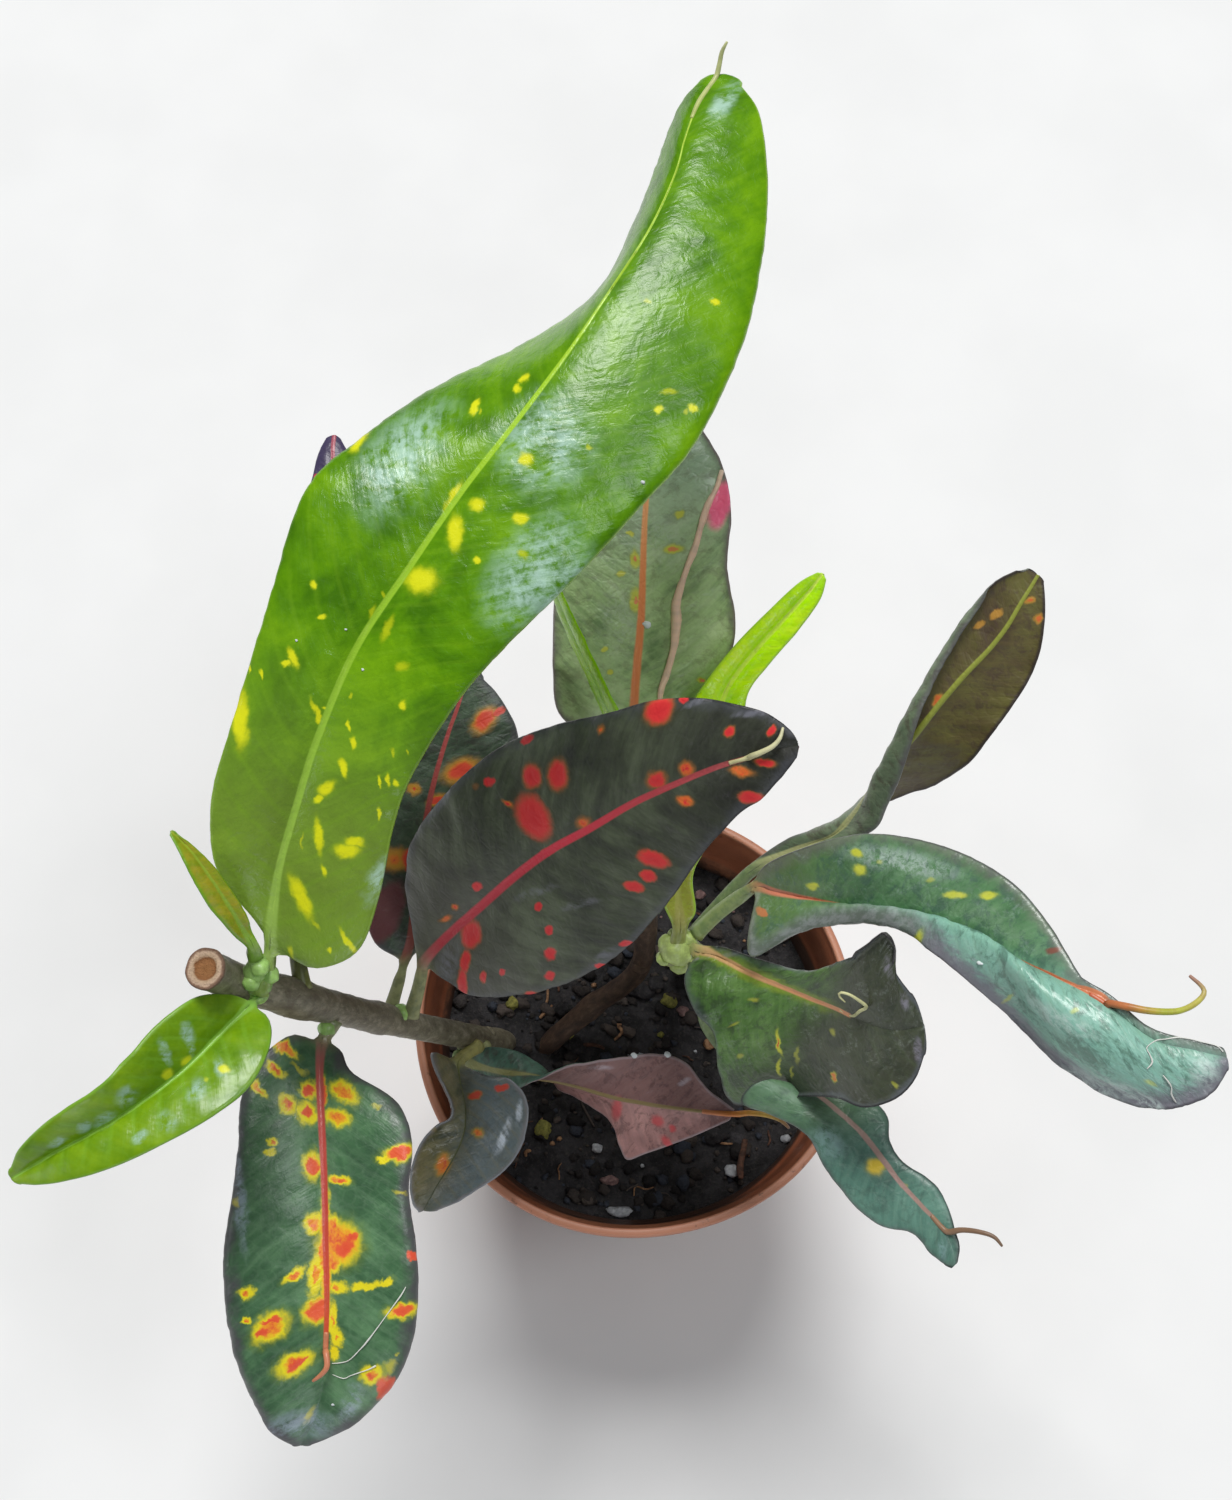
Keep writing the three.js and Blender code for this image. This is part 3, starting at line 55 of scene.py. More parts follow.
STEM_EXTRAS = {"main_stem": [([-33.54, -13.1, 108.45], (0.95, 0.95, 0.85), [0, -0.5, 1], 1.0, 0.5), ([-28.01, -6.67, 87.17], (1.15, 1.0, 0.9), [0, 0.4, 1], 0.75, 0.5), ([-28.93, -7.18, 86.13], (0.9, 0.8, 0.7), [-0.4, 0, 1], 0.6, 0.5), ([-22.77, -4.74, 56.05], (1.3, 1.0, 0.9), [0, -0.4, 1], 0.5, 0.5), ([-23.62, -6.09, 56.73], (0.9, 0.8, 0.7), [0, -0.6, 1], 0.6, 0.5), ([-20.17, -1.9, 51.44], (1.1, 0.9, 0.8), [0.2, 0.4, 1], 0.2, 0.5), ([-35.03, -10.38, 118.38], (0.9, 0.9, 0.8), [0, 0.6, 1], 0.9, 0.5), ([-35.71, -11.16, 120.86], (0.8, 0.8, 0.7), [0, 0.6, 1], 0.8, 0.5), ([-39.19, -12.83, 127.71], (0.72, 0.72, 0.95), [-0.8, 0.2, 0.8], 1.0, 0.5), ([-37, -11.51, 130.1], (0.95, 0.95, 0.7), [0, 0.3, 1], 1.0, 0.5), ([-38.06, -12.64, 128.62], (0.9, 0.9, 0.9), [0, 0.2, 1], 1.0, 0.5), ([-37.25, -12.51, 127.18], (1.05, 1.05, 1.0), [0, 0.2, 1], 1.0, 0.5), ([-36.36, -11.82, 128.07], (0.95, 0.9, 0.9), [0.3, 0.4, 1], 1.0, 0.5), ([-38.43, -11.64, 128.56], (0.6, 0.6, 0.8), [-0.6, 0.4, 1], 1.0, 0.5), ([-37.96, -13.48, 126.19], (0.8, 0.7, 0.6), [0, -0.5, 1], 1.0, 0.5)], "right_stem": [([4.57, 0.52, 88.08], (1.9, 1.7, 1.9), [0, 0.3, 1], 0.9, 0.5), ([3.63, 1.41, 87.98], (1.2, 1.1, 1.3), [-0.5, 0.5, 1], 1.0, 0.5), ([5.89, 1.87, 88.57], (1.2, 1.1, 1.2), [0.6, 0.4, 1], 0.95, 0.5), ([3.17, -0.03, 86.82], (1.0, 0.9, 1.1), [-0.6, -0.3, 1], 0.9, 0.5), ([4.97, -0.88, 86.29], (1.1, 1.0, 1.0), [0.1, -0.7, 1], 0.8, 0.5), ([4.35, 2.31, 88.31], (0.8, 0.7, 1.1), [0, 0.5, 1], 1.0, 0.5), ([6.3, 0.36, 86.75], (1.0, 0.9, 0.9), [0.8, 0, 1], 0.8, 0.5)], "back_stem": [([0.61, 5.09, 61.44], (1.2, 1.0, 0.9), [0, 0, 1], 0.3, 0.5), ([-5.36, 2.61, 51.81], (0.9, 0.8, 0.7), [0, -0.4, 1], 0.1, 0.5), ([1.45, 20.82, 96.32], (1.3, 1.2, 1.2), [0, 0.3, 1], 0.6, 0.5)]}
SOIL_BITS = [(13.42, -19.36, 1.05, 0.84, 0, 1), (-5.23, -16.36, 0.7, 0.63, 0, 1), (-2.19, -24.9, 1.68, 0.77, 0, 1), (0.36, -3.54, 1.26, 0.56, -10, 1), (4.95, 4.34, 1.12, 0.98, 0, 3), (-9.39, -0.83, 0.98, 0.77, 0, 3), (-17.4, 3.9, 0.98, 0.98, 0, 3), (-12.75, -13.88, 1.12, 1.26, 0, 3), (10.54, -1.83, 0.84, 0.77, 0, 2), (6.92, 2.75, 0.84, 0.7, 0, 4), (9.59, 19.96, 0.84, 0.7, 0, 4), (21.01, -14.98, 0.7, 0.56, 0, 1), (-8.39, -2.12, 1.54, 1.12, -20, 0), (0.82, 5.93, 1.96, 1.26, -10, 0), (2.97, 6.65, 1.26, 1.12, 0, 0), (11.29, -14.71, 1.68, 1.12, 0, 0), (-10.56, 3.04, 1.26, 0.98, 0, 0), (-3.43, -20.72, 1.12, 0.7, 0, 4)]
SOIL_TWIG = [[15.27, -15.35, 44], [14.94, -17.03, 44.3], [14.46, -18.98, 44.6], [14.54, -20.64, 44.9]]

# ---------------------------------------------------------------- leaves (mm)
# rows: left margin, left half's middle, midrib, right half's middle, right margin, from petiole to tip.
# pet: petiole points with half width.  awn: the midrib's free end.  mend: where the midrib leaves the blade.
# spots: along the midrib, across it, two half sizes, turn in degrees, share of the core, kind; kind w is a patch of
# painted sheen.
LEAVES = [
    dict(name="big_green_leaf", seed=1.0,
         pet=[[-37.28, -12.42, 127.64, 1], [-36.72, -11.23, 128.5, 0.9]],
         awn=[[7.38, 74.45, 152.98], [7.77, 75.47, 153.67], [8.03, 76.39, 154.64], [8.5, 76.91, 155.47]], mend=98.28, mendv=0.977,
         rows=[
             [-36.31, -9.36, 129.82, -36.18, -9.56, 129.77, -36.02, -9.72, 129.69, -35.69, -9.84, 129.68, -35.34, -9.91, 129.62],
             [-37.27, -7.49, 132.2, -36.57, -7.89, 131.85, -35.84, -8.15, 131.32, -33.79, -10.03, 130.71, -31.67, -11.48, 129.58],
             [-39.3, -5.33, 134.48, -37.34, -5.57, 134.11, -35.37, -5.51, 133.35, -31.43, -8.18, 132.63, -27.48, -10.15, 131.02],
             [-40.82, -2.59, 136.96, -37.69, -2.73, 136.67, -34.58, -2.43, 135.75, -29.91, -4.42, 135.42, -25.28, -5.73, 134.12],
             [-40.71, 2.57, 140.34, -36.66, 2.42, 140.15, -32.63, 2.78, 139.13, -28.11, 1.14, 139.13, -23.63, 0.11, 138.16],
             [-38.67, 8.74, 143.43, -34.67, 8.03, 143.16, -30.67, 7.77, 142.01, -26.18, 5.71, 142.09, -21.68, 4.19, 141.14],
             [-35.39, 18.96, 147.15, -31.21, 16.89, 146.88, -26.99, 15.25, 145.59, -22.11, 12.59, 145.64, -17.18, 10.45, 144.48],
             [-32.09, 29.55, 149.94, -27.18, 25.52, 149.91, -22.16, 21.95, 148.45, -17.46, 18.28, 148.3, -12.66, 15.04, 146.79],
             [-26.8, 35.5, 149.98, -21.98, 32.13, 151.09, -17.03, 29.08, 150.83, -11.57, 25.07, 150.55, -5.96, 21.43, 148.69],
             [-19.6, 42.13, 148.56, -16, 38.64, 151.15, -12.19, 35.28, 152.45, -6.21, 31.53, 152.18, 0.03, 27.94, 150.21],
             [-11.13, 48.04, 146.67, -9.37, 45.09, 150.74, -7.33, 42.11, 153.66, -1.29, 38.22, 153.11, 5.16, 34.28, 150.81],
             [-4.21, 53.88, 146.24, -3.82, 51.56, 150.8, -3.08, 49.09, 154.29, 3.08, 46.8, 153.98, 9.76, 44.28, 152.11],
             [-0.78, 60.96, 147.97, -0.23, 58.41, 151.64, 0.59, 55.71, 154.36, 5.94, 54.44, 154.2, 11.67, 52.97, 152.72],
             [1.65, 67.03, 149.54, 2.28, 64.63, 152.24, 3.08, 62.13, 154.14, 7.6, 61.24, 153.92, 12.36, 60.22, 152.59],
             [2.87, 70.39, 150.55, 3.44, 68.54, 152.5, 4.13, 66.6, 153.85, 8.12, 66.16, 153.83, 12.29, 65.59, 152.84],
             [4.18, 72.96, 151.48, 4.76, 71.85, 152.64, 5.39, 70.67, 153.42, 8.5, 70.6, 153.58, 11.71, 70.4, 153],
             [5.59, 74.35, 152.2, 6.21, 74.03, 152.71, 6.86, 73.68, 153.02, 8.44, 73.62, 153.17, 10.08, 73.49, 152.95],
         ],
         spots=[(48.84, -6.74, 7.95, 4.22, 173, 1, "w"), (57.08, 3.51, 5.91, 5.2, 145, 1, "w"), (46.9, 9.95, 6.98, 4.13, -177, 1, "w"), (46.9, 13.01, 5.2, 1.7, 179, 1, "w"), (97.99, 2.55, 3.81, 1.3, 179, 1, "w"), (11.33, 9.76, 2.69, 1.49, -157, 1, "w"), (40.18, 1.81, 1.58, 1.23, -122, 0, "y"), (34.43, -6.35, 0.38, 0.24, -46, 0, "y"), (32.52, -4.18, 0.38, 0.24, -112, 0, "y"), (28.51, -4.9, 0.95, 0.4, -50, 0, "y"), (27.81, -5.27, 0.46, 0.29, -105, 0, "y"), (26.41, -8.36, 0.39, 0.15, 157, 0, "y"), (26.41, -7.08, 0.34, 0.17, -47, 0, "y"), (22.55, -7.45, 2.38, 0.73, 157, 0, "y"), (34.43, 1.73, 1.57, 0.44, 171, 0, "f"), (24.39, -0.87, 1.51, 0.26, 138, 0, "y"), (25.05, -0.44, 0.27, 0.19, -97, 0, "y"), (27.11, 1.61, 0.38, 0.17, 155, 0, "f"), (28.51, 6.44, 0.5, 0.34, 153, 0, "y"), (24.39, 2.57, 0.57, 0.18, 151, 0, "y"), (23.13, 3.53, 0.58, 0.29, 157, 0, "y"), (20.5, 3.44, 0.98, 0.34, 146, 0, "y"), (17.96, 2.44, 0.92, 0.62, -148, 0, "y"), (16.7, 1.95, 0.51, 0.28, -147, 0, "y"), (20.5, 7.02, 0.65, 0.18, 161, 0, "y"), (20.97, 7.77, 0.65, 0.21, 160, 0, "y"), (20.97, 8.49, 0.39, 0.23, 161, 0, "y"), (17.13, 7.86, 0.62, 0.19, 166, 0, "y"), (13.3, 2.99, 1.58, 0.4, 158, 0, "y"), (10.42, 4.34, 0.53, 0.3, 143, 0, "y"), (12.8, 5.94, 1.16, 0.72, -109, 0, "y"), (13.81, 6.35, 0.95, 0.46, -98, 0, "y"), (12.3, 1.53, 0.86, 0.15, 170, 0, "f"), (7.38, 2.82, 1.96, 0.74, -48, 0, "y"), (6.07, 8.3, 1.23, 0.24, -64, 0, "y"), (1.93, 2.69, 0.59, 0.36, 171, 0, "y"), (4.48, 6.67, 0.28, 0.22, -111, 0, "y"), (5.8, 4.87, 0.56, 0.19, -78, 0, "f"), (23.75, 7.27, 0.51, 0.18, 155, 0, "f"), (24.39, 8.58, 0.31, 0.14, 154, 0, "f"), (36.96, -0.6, 0.46, 0.19, -50, 0, "f"), (31.87, 4.76, 0.75, 0.62, -122, 0, "f"), (45.56, 1.96, 1.71, 0.77, 143, 0, "y"), (48.84, 2.04, 0.76, 0.62, -115, 0, "y"), (50.08, 6.16, 0.71, 0.52, -120, 0, "y"), (54.74, 3.14, 0.8, 0.58, -70, 0, "y"), (61.39, -2.39, 0.6, 0.5, 156, 0, "y"), (60.15, -2.2, 0.55, 0.34, 142, 0, "y"), (56.48, -4.5, 0.94, 0.4, 154, 0, "y"), (56.48, -3.69, 0.46, 0.15, 139, 0, "f"), (47.56, 8.35, 0.53, 0.47, -113, 0, "f"), (44.88, 5.14, 0.32, 0.28, -117, 0, "y"), (48.21, -0.3, 1.62, 0.47, 174, 0, "y"), (65.73, 10.28, 0.43, 0.35, -120, 0, "y"), (67.56, 12.93, 0.43, 0.31, -110, 0, "y"), (66.95, 12.58, 0.29, 0.2, -114, 0, "f"), (67.56, 10.16, 0.94, 0.33, -118, 0, "f"), (75.83, 9.45, 0.39, 0.36, -123, 0, "y"), (48.21, -11.34, 1.41, 0.61, 172, 0, "y"), (73.54, 3.9, 0.37, 0.3, -100, 0, "f"), (35.06, -0.55, 0.74, 0.28, 168, 0, "f"), (58.91, 7.13, 0.36, 0.31, -127, 0, "f")],
         lines=[],
         flecks=[(58.91, 13.15, 0.21, 0.05), (29.89, -5.25, 0.14, 0.05), (29.89, 1.67, 0.15, 0.05), (32.52, -1.74, 0.13, 0.05)]),
    dict(name="small_olive_leaf", seed=1.0,
         pet=[[-37.44, -10.87, 129.48, 0.8], [-37.43, -10.34, 131.38, 0.75]],
         awn=[], mend=None, mendv=1.02,
         rows=[
             [-37.91, -10.22, 132.48, -37.65, -10.07, 132.57, -37.43, -9.86, 132.62, -37.18, -9.75, 132.68, -36.95, -9.59, 132.71],
             [-38.52, -9.87, 134.95, -38.21, -9.44, 134.73, -38.02, -8.96, 134.43, -37.6, -8.91, 134.17, -37.28, -8.81, 133.85],
             [-39.48, -9.02, 137.61, -39.02, -8.38, 137.16, -38.74, -7.68, 136.6, -38.11, -7.64, 136.04, -37.65, -7.55, 135.37],
             [-40.54, -7.78, 139.76, -40, -7.01, 139.26, -39.67, -6.21, 138.63, -39.06, -6.21, 137.95, -38.64, -6.18, 137.15],
             [-41.52, -6.05, 141.45, -41.07, -5.34, 141.03, -40.81, -4.62, 140.48, -40.2, -4.63, 139.9, -39.76, -4.63, 139.2],
             [-42.48, -4.15, 142.78, -42.17, -3.66, 142.48, -41.97, -3.17, 142.08, -41.55, -3.18, 141.69, -41.23, -3.2, 141.21],
             [-43.54, -2.37, 143.22, -43.41, -2.17, 143.21, -43.31, -1.96, 143.15, -43.04, -2.07, 143.04, -42.8, -2.16, 142.87],
         ],
         spots=[],
         lines=[],
         flecks=[]),
    dict(name="medium_green_leaf", seed=1.0,
         pet=[[-38.15, -13.48, 126.19, 0.9]],
         awn=[], mend=None, mendv=1.02,
         rows=[
             [-37.86, -14.62, 126.84, -38.1, -14.6, 126.86, -38.35, -14.62, 126.84, -38.39, -14.47, 126.9, -38.45, -14.34, 126.94],
             [-36.11, -16.42, 127.89, -37.41, -15.87, 127.92, -38.84, -15.38, 127.63, -39.43, -14.62, 128.45, -40.13, -13.92, 129.01],
             [-35.73, -19.47, 129.54, -38.21, -18.7, 129.39, -40.89, -17.94, 128.61, -41.78, -16.43, 130.5, -42.85, -14.94, 131.83],
             [-37.16, -23.05, 130.37, -40.13, -21.98, 130.19, -43.32, -20.86, 129.25, -44.51, -19.42, 131.6, -45.89, -17.94, 133.3],
             [-40.26, -25.94, 130.81, -43.05, -24.75, 130.67, -46.04, -23.43, 129.81, -46.94, -22.25, 132.14, -48.01, -20.98, 133.89],
             [-44.57, -28.44, 130.75, -46.81, -27.23, 130.67, -49.18, -25.81, 130, -49.87, -24.86, 132.12, -50.68, -23.74, 133.74],
             [-49.09, -30.48, 130.22, -50.75, -29.22, 130.21, -52.46, -27.73, 129.73, -53.17, -26.84, 131.59, -53.92, -25.74, 133.01],
             [-53.08, -31.54, 129.2, -54.17, -30.39, 129.29, -55.24, -29.02, 129.05, -55.92, -28.34, 130.46, -56.57, -27.45, 131.54],
             [-56.36, -31.81, 127.71, -56.98, -31.01, 127.87, -57.55, -30.06, 127.82, -58.18, -29.55, 128.67, -58.75, -28.88, 129.31],
             [-58.81, -31.66, 126.49, -59.13, -31.29, 126.64, -59.41, -30.84, 126.68, -59.66, -30.54, 127.01, -59.88, -30.17, 127.25],
         ],
         spots=[(17.58, 0.74, 1.53, 1.18, 155, 1, "w"), (14.67, 1.83, 1.53, 1.33, -71, 1, "w"), (19.31, 1.38, 1, 0.81, 140, 1, "w"), (9.43, 3.13, 1.78, 0.57, -72, 1, "w"), (6.9, 2.77, 1.46, 0.71, -79, 1, "w"), (7.55, 1.23, 1.31, 0.48, -73, 1, "w"), (10.82, -3.17, 1.78, 0.93, 137, 1, "w"), (14.51, -3.68, 1.58, 0.82, -58, 1, "w"), (7.87, -2.98, 1.64, 0.49, -52, 1, "w"), (22.17, 1.16, 1.2, 0.6, 170, 1, "w"), (16.93, -3.26, 1.12, 0.55, 170, 1, "w"), (8.5, 0.48, 0.69, 0.49, -111, 0, "y"), (10.52, 0.92, 0.62, 0.46, -91, 0, "y"), (7.87, -3.47, 0.53, 0.38, -70, 0, "y"), (9.43, -2.87, 0.4, 0.23, -55, 0, "f")],
         lines=[],
         flecks=[]),
    dict(name="red_spotted_front_leaf", seed=1.0,
         pet=[[-33.35, -13.06, 108.25, 0.9]],
         awn=[[-32.24, -46, 106.27], [-32.06, -47.36, 106.3], [-32.6, -48.12, 105.81], [-33.57, -48.78, 105.25]], mend=31.99, mendv=0.741,
         rows=[
             [-33.08, -14.45, 108.17, -33.56, -14.48, 108.21, -34.04, -14.55, 108.14, -34.36, -14.38, 108.23, -34.68, -14.25, 108.25],
             [-31.72, -15.7, 109.1, -32.88, -15.83, 109.02, -34.1, -16.04, 108.66, -35.7, -15.04, 109.54, -37.4, -14.16, 109.98],
             [-30.31, -18.11, 110.03, -32.08, -18.27, 109.86, -33.88, -18.5, 109.25, -37.33, -18.04, 110.46, -40.84, -17.72, 110.81],
             [-25.34, -21.22, 111.03, -29.46, -21.28, 110.76, -33.59, -21.38, 109.48, -37.79, -21.5, 110.8, -41.99, -21.64, 111.09],
             [-23.58, -25.5, 111.39, -28.38, -25.55, 111.01, -33.16, -25.53, 109.46, -37.52, -25.7, 110.9, -41.88, -25.8, 111.28],
             [-23.79, -30.48, 110.64, -28.28, -30.6, 110.31, -32.77, -30.58, 108.9, -37.54, -30.75, 110.29, -42.3, -30.77, 110.53],
             [-23, -35.47, 109.46, -27.76, -35.62, 109.37, -32.52, -35.55, 108.16, -37.81, -35.87, 109.35, -43.1, -35.95, 109.29],
             [-22.67, -40.3, 107.92, -27.5, -40.52, 108.03, -32.32, -40.44, 107.01, -37.64, -40.78, 107.99, -42.95, -40.78, 107.74],
             [-23.22, -45, 105.88, -27.81, -45.09, 106.28, -32.39, -44.8, 105.64, -37.4, -45.25, 106.28, -42.4, -45.29, 105.78],
             [-25.07, -48.83, 103.53, -28.85, -48.66, 104.29, -32.63, -48.07, 104.24, -36.99, -48.69, 104.35, -41.35, -48.83, 103.53],
             [-27.64, -51.63, 101.66, -30.44, -51.39, 102.43, -33.24, -50.77, 102.62, -36.6, -51.37, 102.5, -39.95, -51.53, 101.7],
             [-30.93, -53.67, 100.28, -32.56, -53.55, 100.74, -34.19, -53.18, 100.89, -36.3, -53.64, 100.77, -38.41, -53.77, 100.25],
             [-34.22, -54.84, 99.43, -34.73, -54.83, 99.5, -35.26, -54.74, 99.47, -35.77, -54.88, 99.48, -36.3, -54.94, 99.4],
         ],
         spots=[(40.08, 1.39, 4.68, 2.18, -81, 1, "w"), (37.11, -3.23, 2.87, 1.19, -172, 1, "w"), (16.79, 8.64, 5.79, 0.83, 176, 1, "w"), (2.58, 3.97, 1.61, 0.46, -81, 0.72, "o"), (4.2, 4.8, 1.17, 0.47, -65, 0.5, "o"), (3.75, 2.3, 0.98, 0.35, -71, 0, "f"), (5.84, 6.46, 1.18, 0.43, -59, 0.5, "o"), (7.08, 3.56, 1.05, 0.97, -65, 0.5, "o"), (7.9, 1.61, 1.36, 1.25, -163, 0.5, "r"), (5.53, 1.28, 1.17, 0.95, -100, 0.68, "r"), (8.55, -1.95, 1.57, 1.06, -74, 0.62, "o"), (6.01, -2.75, 1.9, 1.08, -56, 0.6, "o"), (7.48, -6.24, 0.6, 0.3, -111, 0, "f"), (10.95, 5.25, 0.62, 0.47, -68, 0.4, "o"), (11.99, 5.55, 0.61, 0.47, -86, 0, "y"), (12.26, -8.4, 1.85, 0.98, -100, 0.72, "r"), (12.81, -7.15, 1.25, 0.41, -93, 0, "y"), (13.38, 1.22, 1.63, 1.15, -177, 0.66, "r"), (14.81, -1.72, 1.5, 0.53, -80, 0.55, "o"), (16.23, -8.11, 0.82, 0.3, -71, 0, "f"), (17.06, 9.17, 0.59, 0.4, 161, 0.4, "f"), (19.27, 1.08, 1.2, 1.13, 163, 0.55, "o"), (21.2, -1.51, 2.7, 2.39, -96, 0.74, "o"), (19.54, -0.75, 1.42, 0.92, -164, 0.6, "o"), (23.14, -0.76, 1.21, 0.91, -175, 0.6, "o"), (20.64, -2.97, 0.86, 0.4, -124, 1, "r"), (21.75, -2.25, 1.1, 0.8, -92, 1, "r"), (24.26, 3.32, 1.5, 0.55, -119, 0.45, "o"), (25.9, 8.11, 0.87, 0.64, -84, 0.5, "o"), (28.51, 8.18, 0.57, 0.39, -94, 0.4, "o"), (29.27, 5.77, 2.24, 1.46, -123, 0.62, "o"), (29.76, 6.49, 0.73, 0.43, -108, 1, "r"), (28.51, 5.57, 1.32, 0.23, -100, 1, "r"), (32.97, 3.1, 2.21, 1.21, -113, 0.5, "o"), (32.97, 2.86, 1.2, 0.27, -114, 1, "r"), (27.74, 1.09, 1.85, 1.36, -128, 0.72, "r"), (24.26, 1.12, 2.39, 0.82, -168, 0.4, "o"), (25.63, -1.26, 1.11, 0.8, -92, 0.45, "o"), (25.36, -4.47, 1.99, 0.45, -95, 0.12, "y"), (25.08, -6.42, 0.82, 0.4, -107, 0, "y"), (30.48, -1.2, 1.1, 0.81, 177, 0.25, "o"), (32.2, -0.9, 0.81, 0.54, 176, 0, "y"), (29.02, -0.74, 2.21, 0.55, 178, 0.3, "o"), (28, -8, 1.81, 0.76, -94, 0.68, "r"), (22.58, -9.27, 0.66, 0.52, -91, 1, "p"), (33.91, -4.99, 1.32, 1.03, -91, 0.4, "o"), (32.97, -6.77, 0.88, 0.63, -126, 0, "f"), (35.37, -6.69, 1.67, 1.04, 170, 1, "p"), (31.99, -7.57, 0.32, 0.17, -80, 0, "f"), (39.04, 0.74, 1.06, 0.47, -178, 0, "f"), (5.84, -0.18, 1.91, 0.73, -175, 0.9, "r"), (21.75, 0, 7.03, 0.76, -179, 0.75, "o")],
         lines=[dict(pts=[(33.16, -0.85), (32.97, -1.71), (32.59, -2.61), (31.58, -3.65), (30.71, -4.45), (29.02, -5.78), (27.74, -6.81), (26.43, -7.84), (25.63, -8.34)], r=[0.04, 0.05, 0.045, 0.05, 0.09, 0.045, 0.05, 0.08, 0.04], h=0.12, mat=3, step=0.3, rough=0.5), dict(pts=[(34.28, -0.98), (34.46, -2.13), (34.09, -2.77), (33.72, -3.64), (33.35, -4.55), (32.97, -5.29)], r=[0.03, 0.045, 0.04, 0.05, 0.045, 0.1], h=0.1, mat=3, step=0.3, rough=0.5)],
         flecks=[(37.45, -1.49, 0.17, 0.05)]),
    dict(name="hidden_purple_leaf", seed=1.0,
         pet=[[-34.81, -10.15, 119.21, 0.9], [-35.24, -7.82, 119.95, 0.8]],
         awn=[], mend=None, mendv=1.02,
         rows=[
             [-36.19, -4.89, 120.81, -35.89, -4.9, 120.84, -35.58, -4.89, 120.81, -35.27, -4.9, 120.84, -34.97, -4.89, 120.81],
             [-39.25, 0.38, 122.83, -37.11, 0.47, 122.87, -35.03, 0.71, 122.42, -32.99, 0.52, 122.34, -31, 0.47, 121.8],
             [-39.88, 7.14, 125.18, -37.14, 7.17, 125.12, -34.48, 7.4, 124.43, -31.49, 7.1, 124.37, -28.6, 7.01, 123.64],
             [-39.34, 14.02, 127.26, -36.49, 14.07, 127.21, -33.72, 14.3, 126.51, -30.62, 14.01, 126.48, -27.62, 13.93, 125.74],
             [-38.26, 21.08, 128.98, -35.59, 21.12, 129.01, -32.99, 21.31, 128.43, -30.2, 21.13, 128.45, -27.47, 21.12, 127.82],
             [-36.99, 27.8, 130.36, -34.67, 27.77, 130.43, -32.39, 27.87, 129.96, -30.05, 27.67, 130.02, -27.76, 27.6, 129.54],
             [-35.74, 34.17, 131.4, -33.91, 34.04, 131.48, -32.12, 33.97, 131.12, -30.4, 33.78, 131.16, -28.71, 33.67, 130.79],
             [-34.71, 39.63, 131.9, -33.45, 39.61, 132.05, -32.2, 39.63, 131.9, -31.04, 39.32, 131.94, -29.89, 39.04, 131.69],
             [-34.14, 43.18, 132.13, -33.28, 43.27, 132.38, -32.42, 43.38, 132.41, -31.53, 43.12, 132.33, -30.66, 42.88, 132.02],
             [-33.28, 44.96, 132.14, -32.84, 45.01, 132.32, -32.4, 45.06, 132.39, -31.99, 44.96, 132.3, -31.59, 44.86, 132.1],
         ],
         spots=[(46.99, -1.89, 0.62, 0.32, 166, 1, "p")],
         lines=[],
         flecks=[]),
    dict(name="spotted_back_left_leaf", seed=1.0,
         pet=[[-29.29, -5.05, 85.84, 0.8], [-28.55, -2.85, 86.85, 0.7]],
         awn=[], mend=None, mendv=1.02,
         rows=[
             [-28.48, -0.63, 88.3, -28.12, -0.6, 88.35, -27.76, -0.52, 88.34, -27.34, -0.44, 88.42, -26.93, -0.3, 88.42],
             [-31.3, 1.06, 90.3, -29.06, 1.34, 90.51, -26.94, 1.92, 90.29, -24.85, 2.46, 90.22, -22.87, 3.29, 89.73],
             [-32.59, 5.48, 92.97, -29.36, 5.63, 93.16, -26.26, 6.16, 92.69, -23.05, 7, 92.66, -19.98, 8.22, 91.95],
             [-32.71, 10.79, 95.76, -29.03, 10.93, 96, -25.47, 11.49, 95.48, -21.32, 12.18, 95.51, -17.31, 13.35, 94.67],
             [-31.68, 16.64, 98.63, -27.9, 16.77, 98.94, -24.22, 17.32, 98.45, -19.49, 17.7, 98.55, -14.88, 18.6, 97.64],
             [-29.52, 22.02, 101.01, -25.99, 22.14, 101.4, -22.52, 22.63, 101.03, -18.23, 22.66, 101.15, -14.01, 23.13, 100.36],
             [-26.48, 26.41, 102.61, -23.65, 26.57, 103.03, -20.86, 26.96, 102.81, -18.34, 26.84, 102.82, -15.86, 26.93, 102.27],
             [-22.77, 29.87, 103.45, -21.35, 30.05, 103.8, -19.94, 30.34, 103.83, -19.01, 29.81, 103.62, -18.09, 29.35, 103.15],
         ],
         spots=[(29.51, 3.73, 1.62, 1.28, -171, 0.85, "r"), (23.11, 2.84, 1.96, 1.46, -101, 0.75, "r"), (19.61, 0.72, 1.01, 0.66, -99, 0.7, "r"), (21.27, -2.27, 0.86, 0.61, -58, 0.3, "o"), (12.83, -3.04, 1.59, 1.28, -64, 0.45, "o"), (12.63, -1.43, 1.36, 0.7, 170, 0.9, "p"), (6.51, -3.54, 4.17, 2.36, -165, 1, "m"), (30.6, 4.97, 0.76, 0.52, -140, 1, "p"), (13.44, 1.04, 0.95, 0.66, -56, 0.8, "r")],
         lines=[],
         flecks=[]),
    dict(name="small_cupped_leaf", seed=1.0,
         pet=[[-21.48, -5.56, 58.84, 0.9], [-22.56, -6.58, 59.96, 0.85]],
         awn=[], mend=None, mendv=1.02,
         rows=[
             [-22.41, -8.3, 61.35, -22.93, -8.14, 61.36, -23.48, -8.01, 61.24, -23.97, -7.64, 61.55, -24.51, -7.31, 61.71],
             [-19.52, -9.89, 62.9, -21.33, -9.5, 62.44, -23.29, -9.25, 61.54, -24.87, -8.13, 63.25, -26.63, -7.17, 64.42],
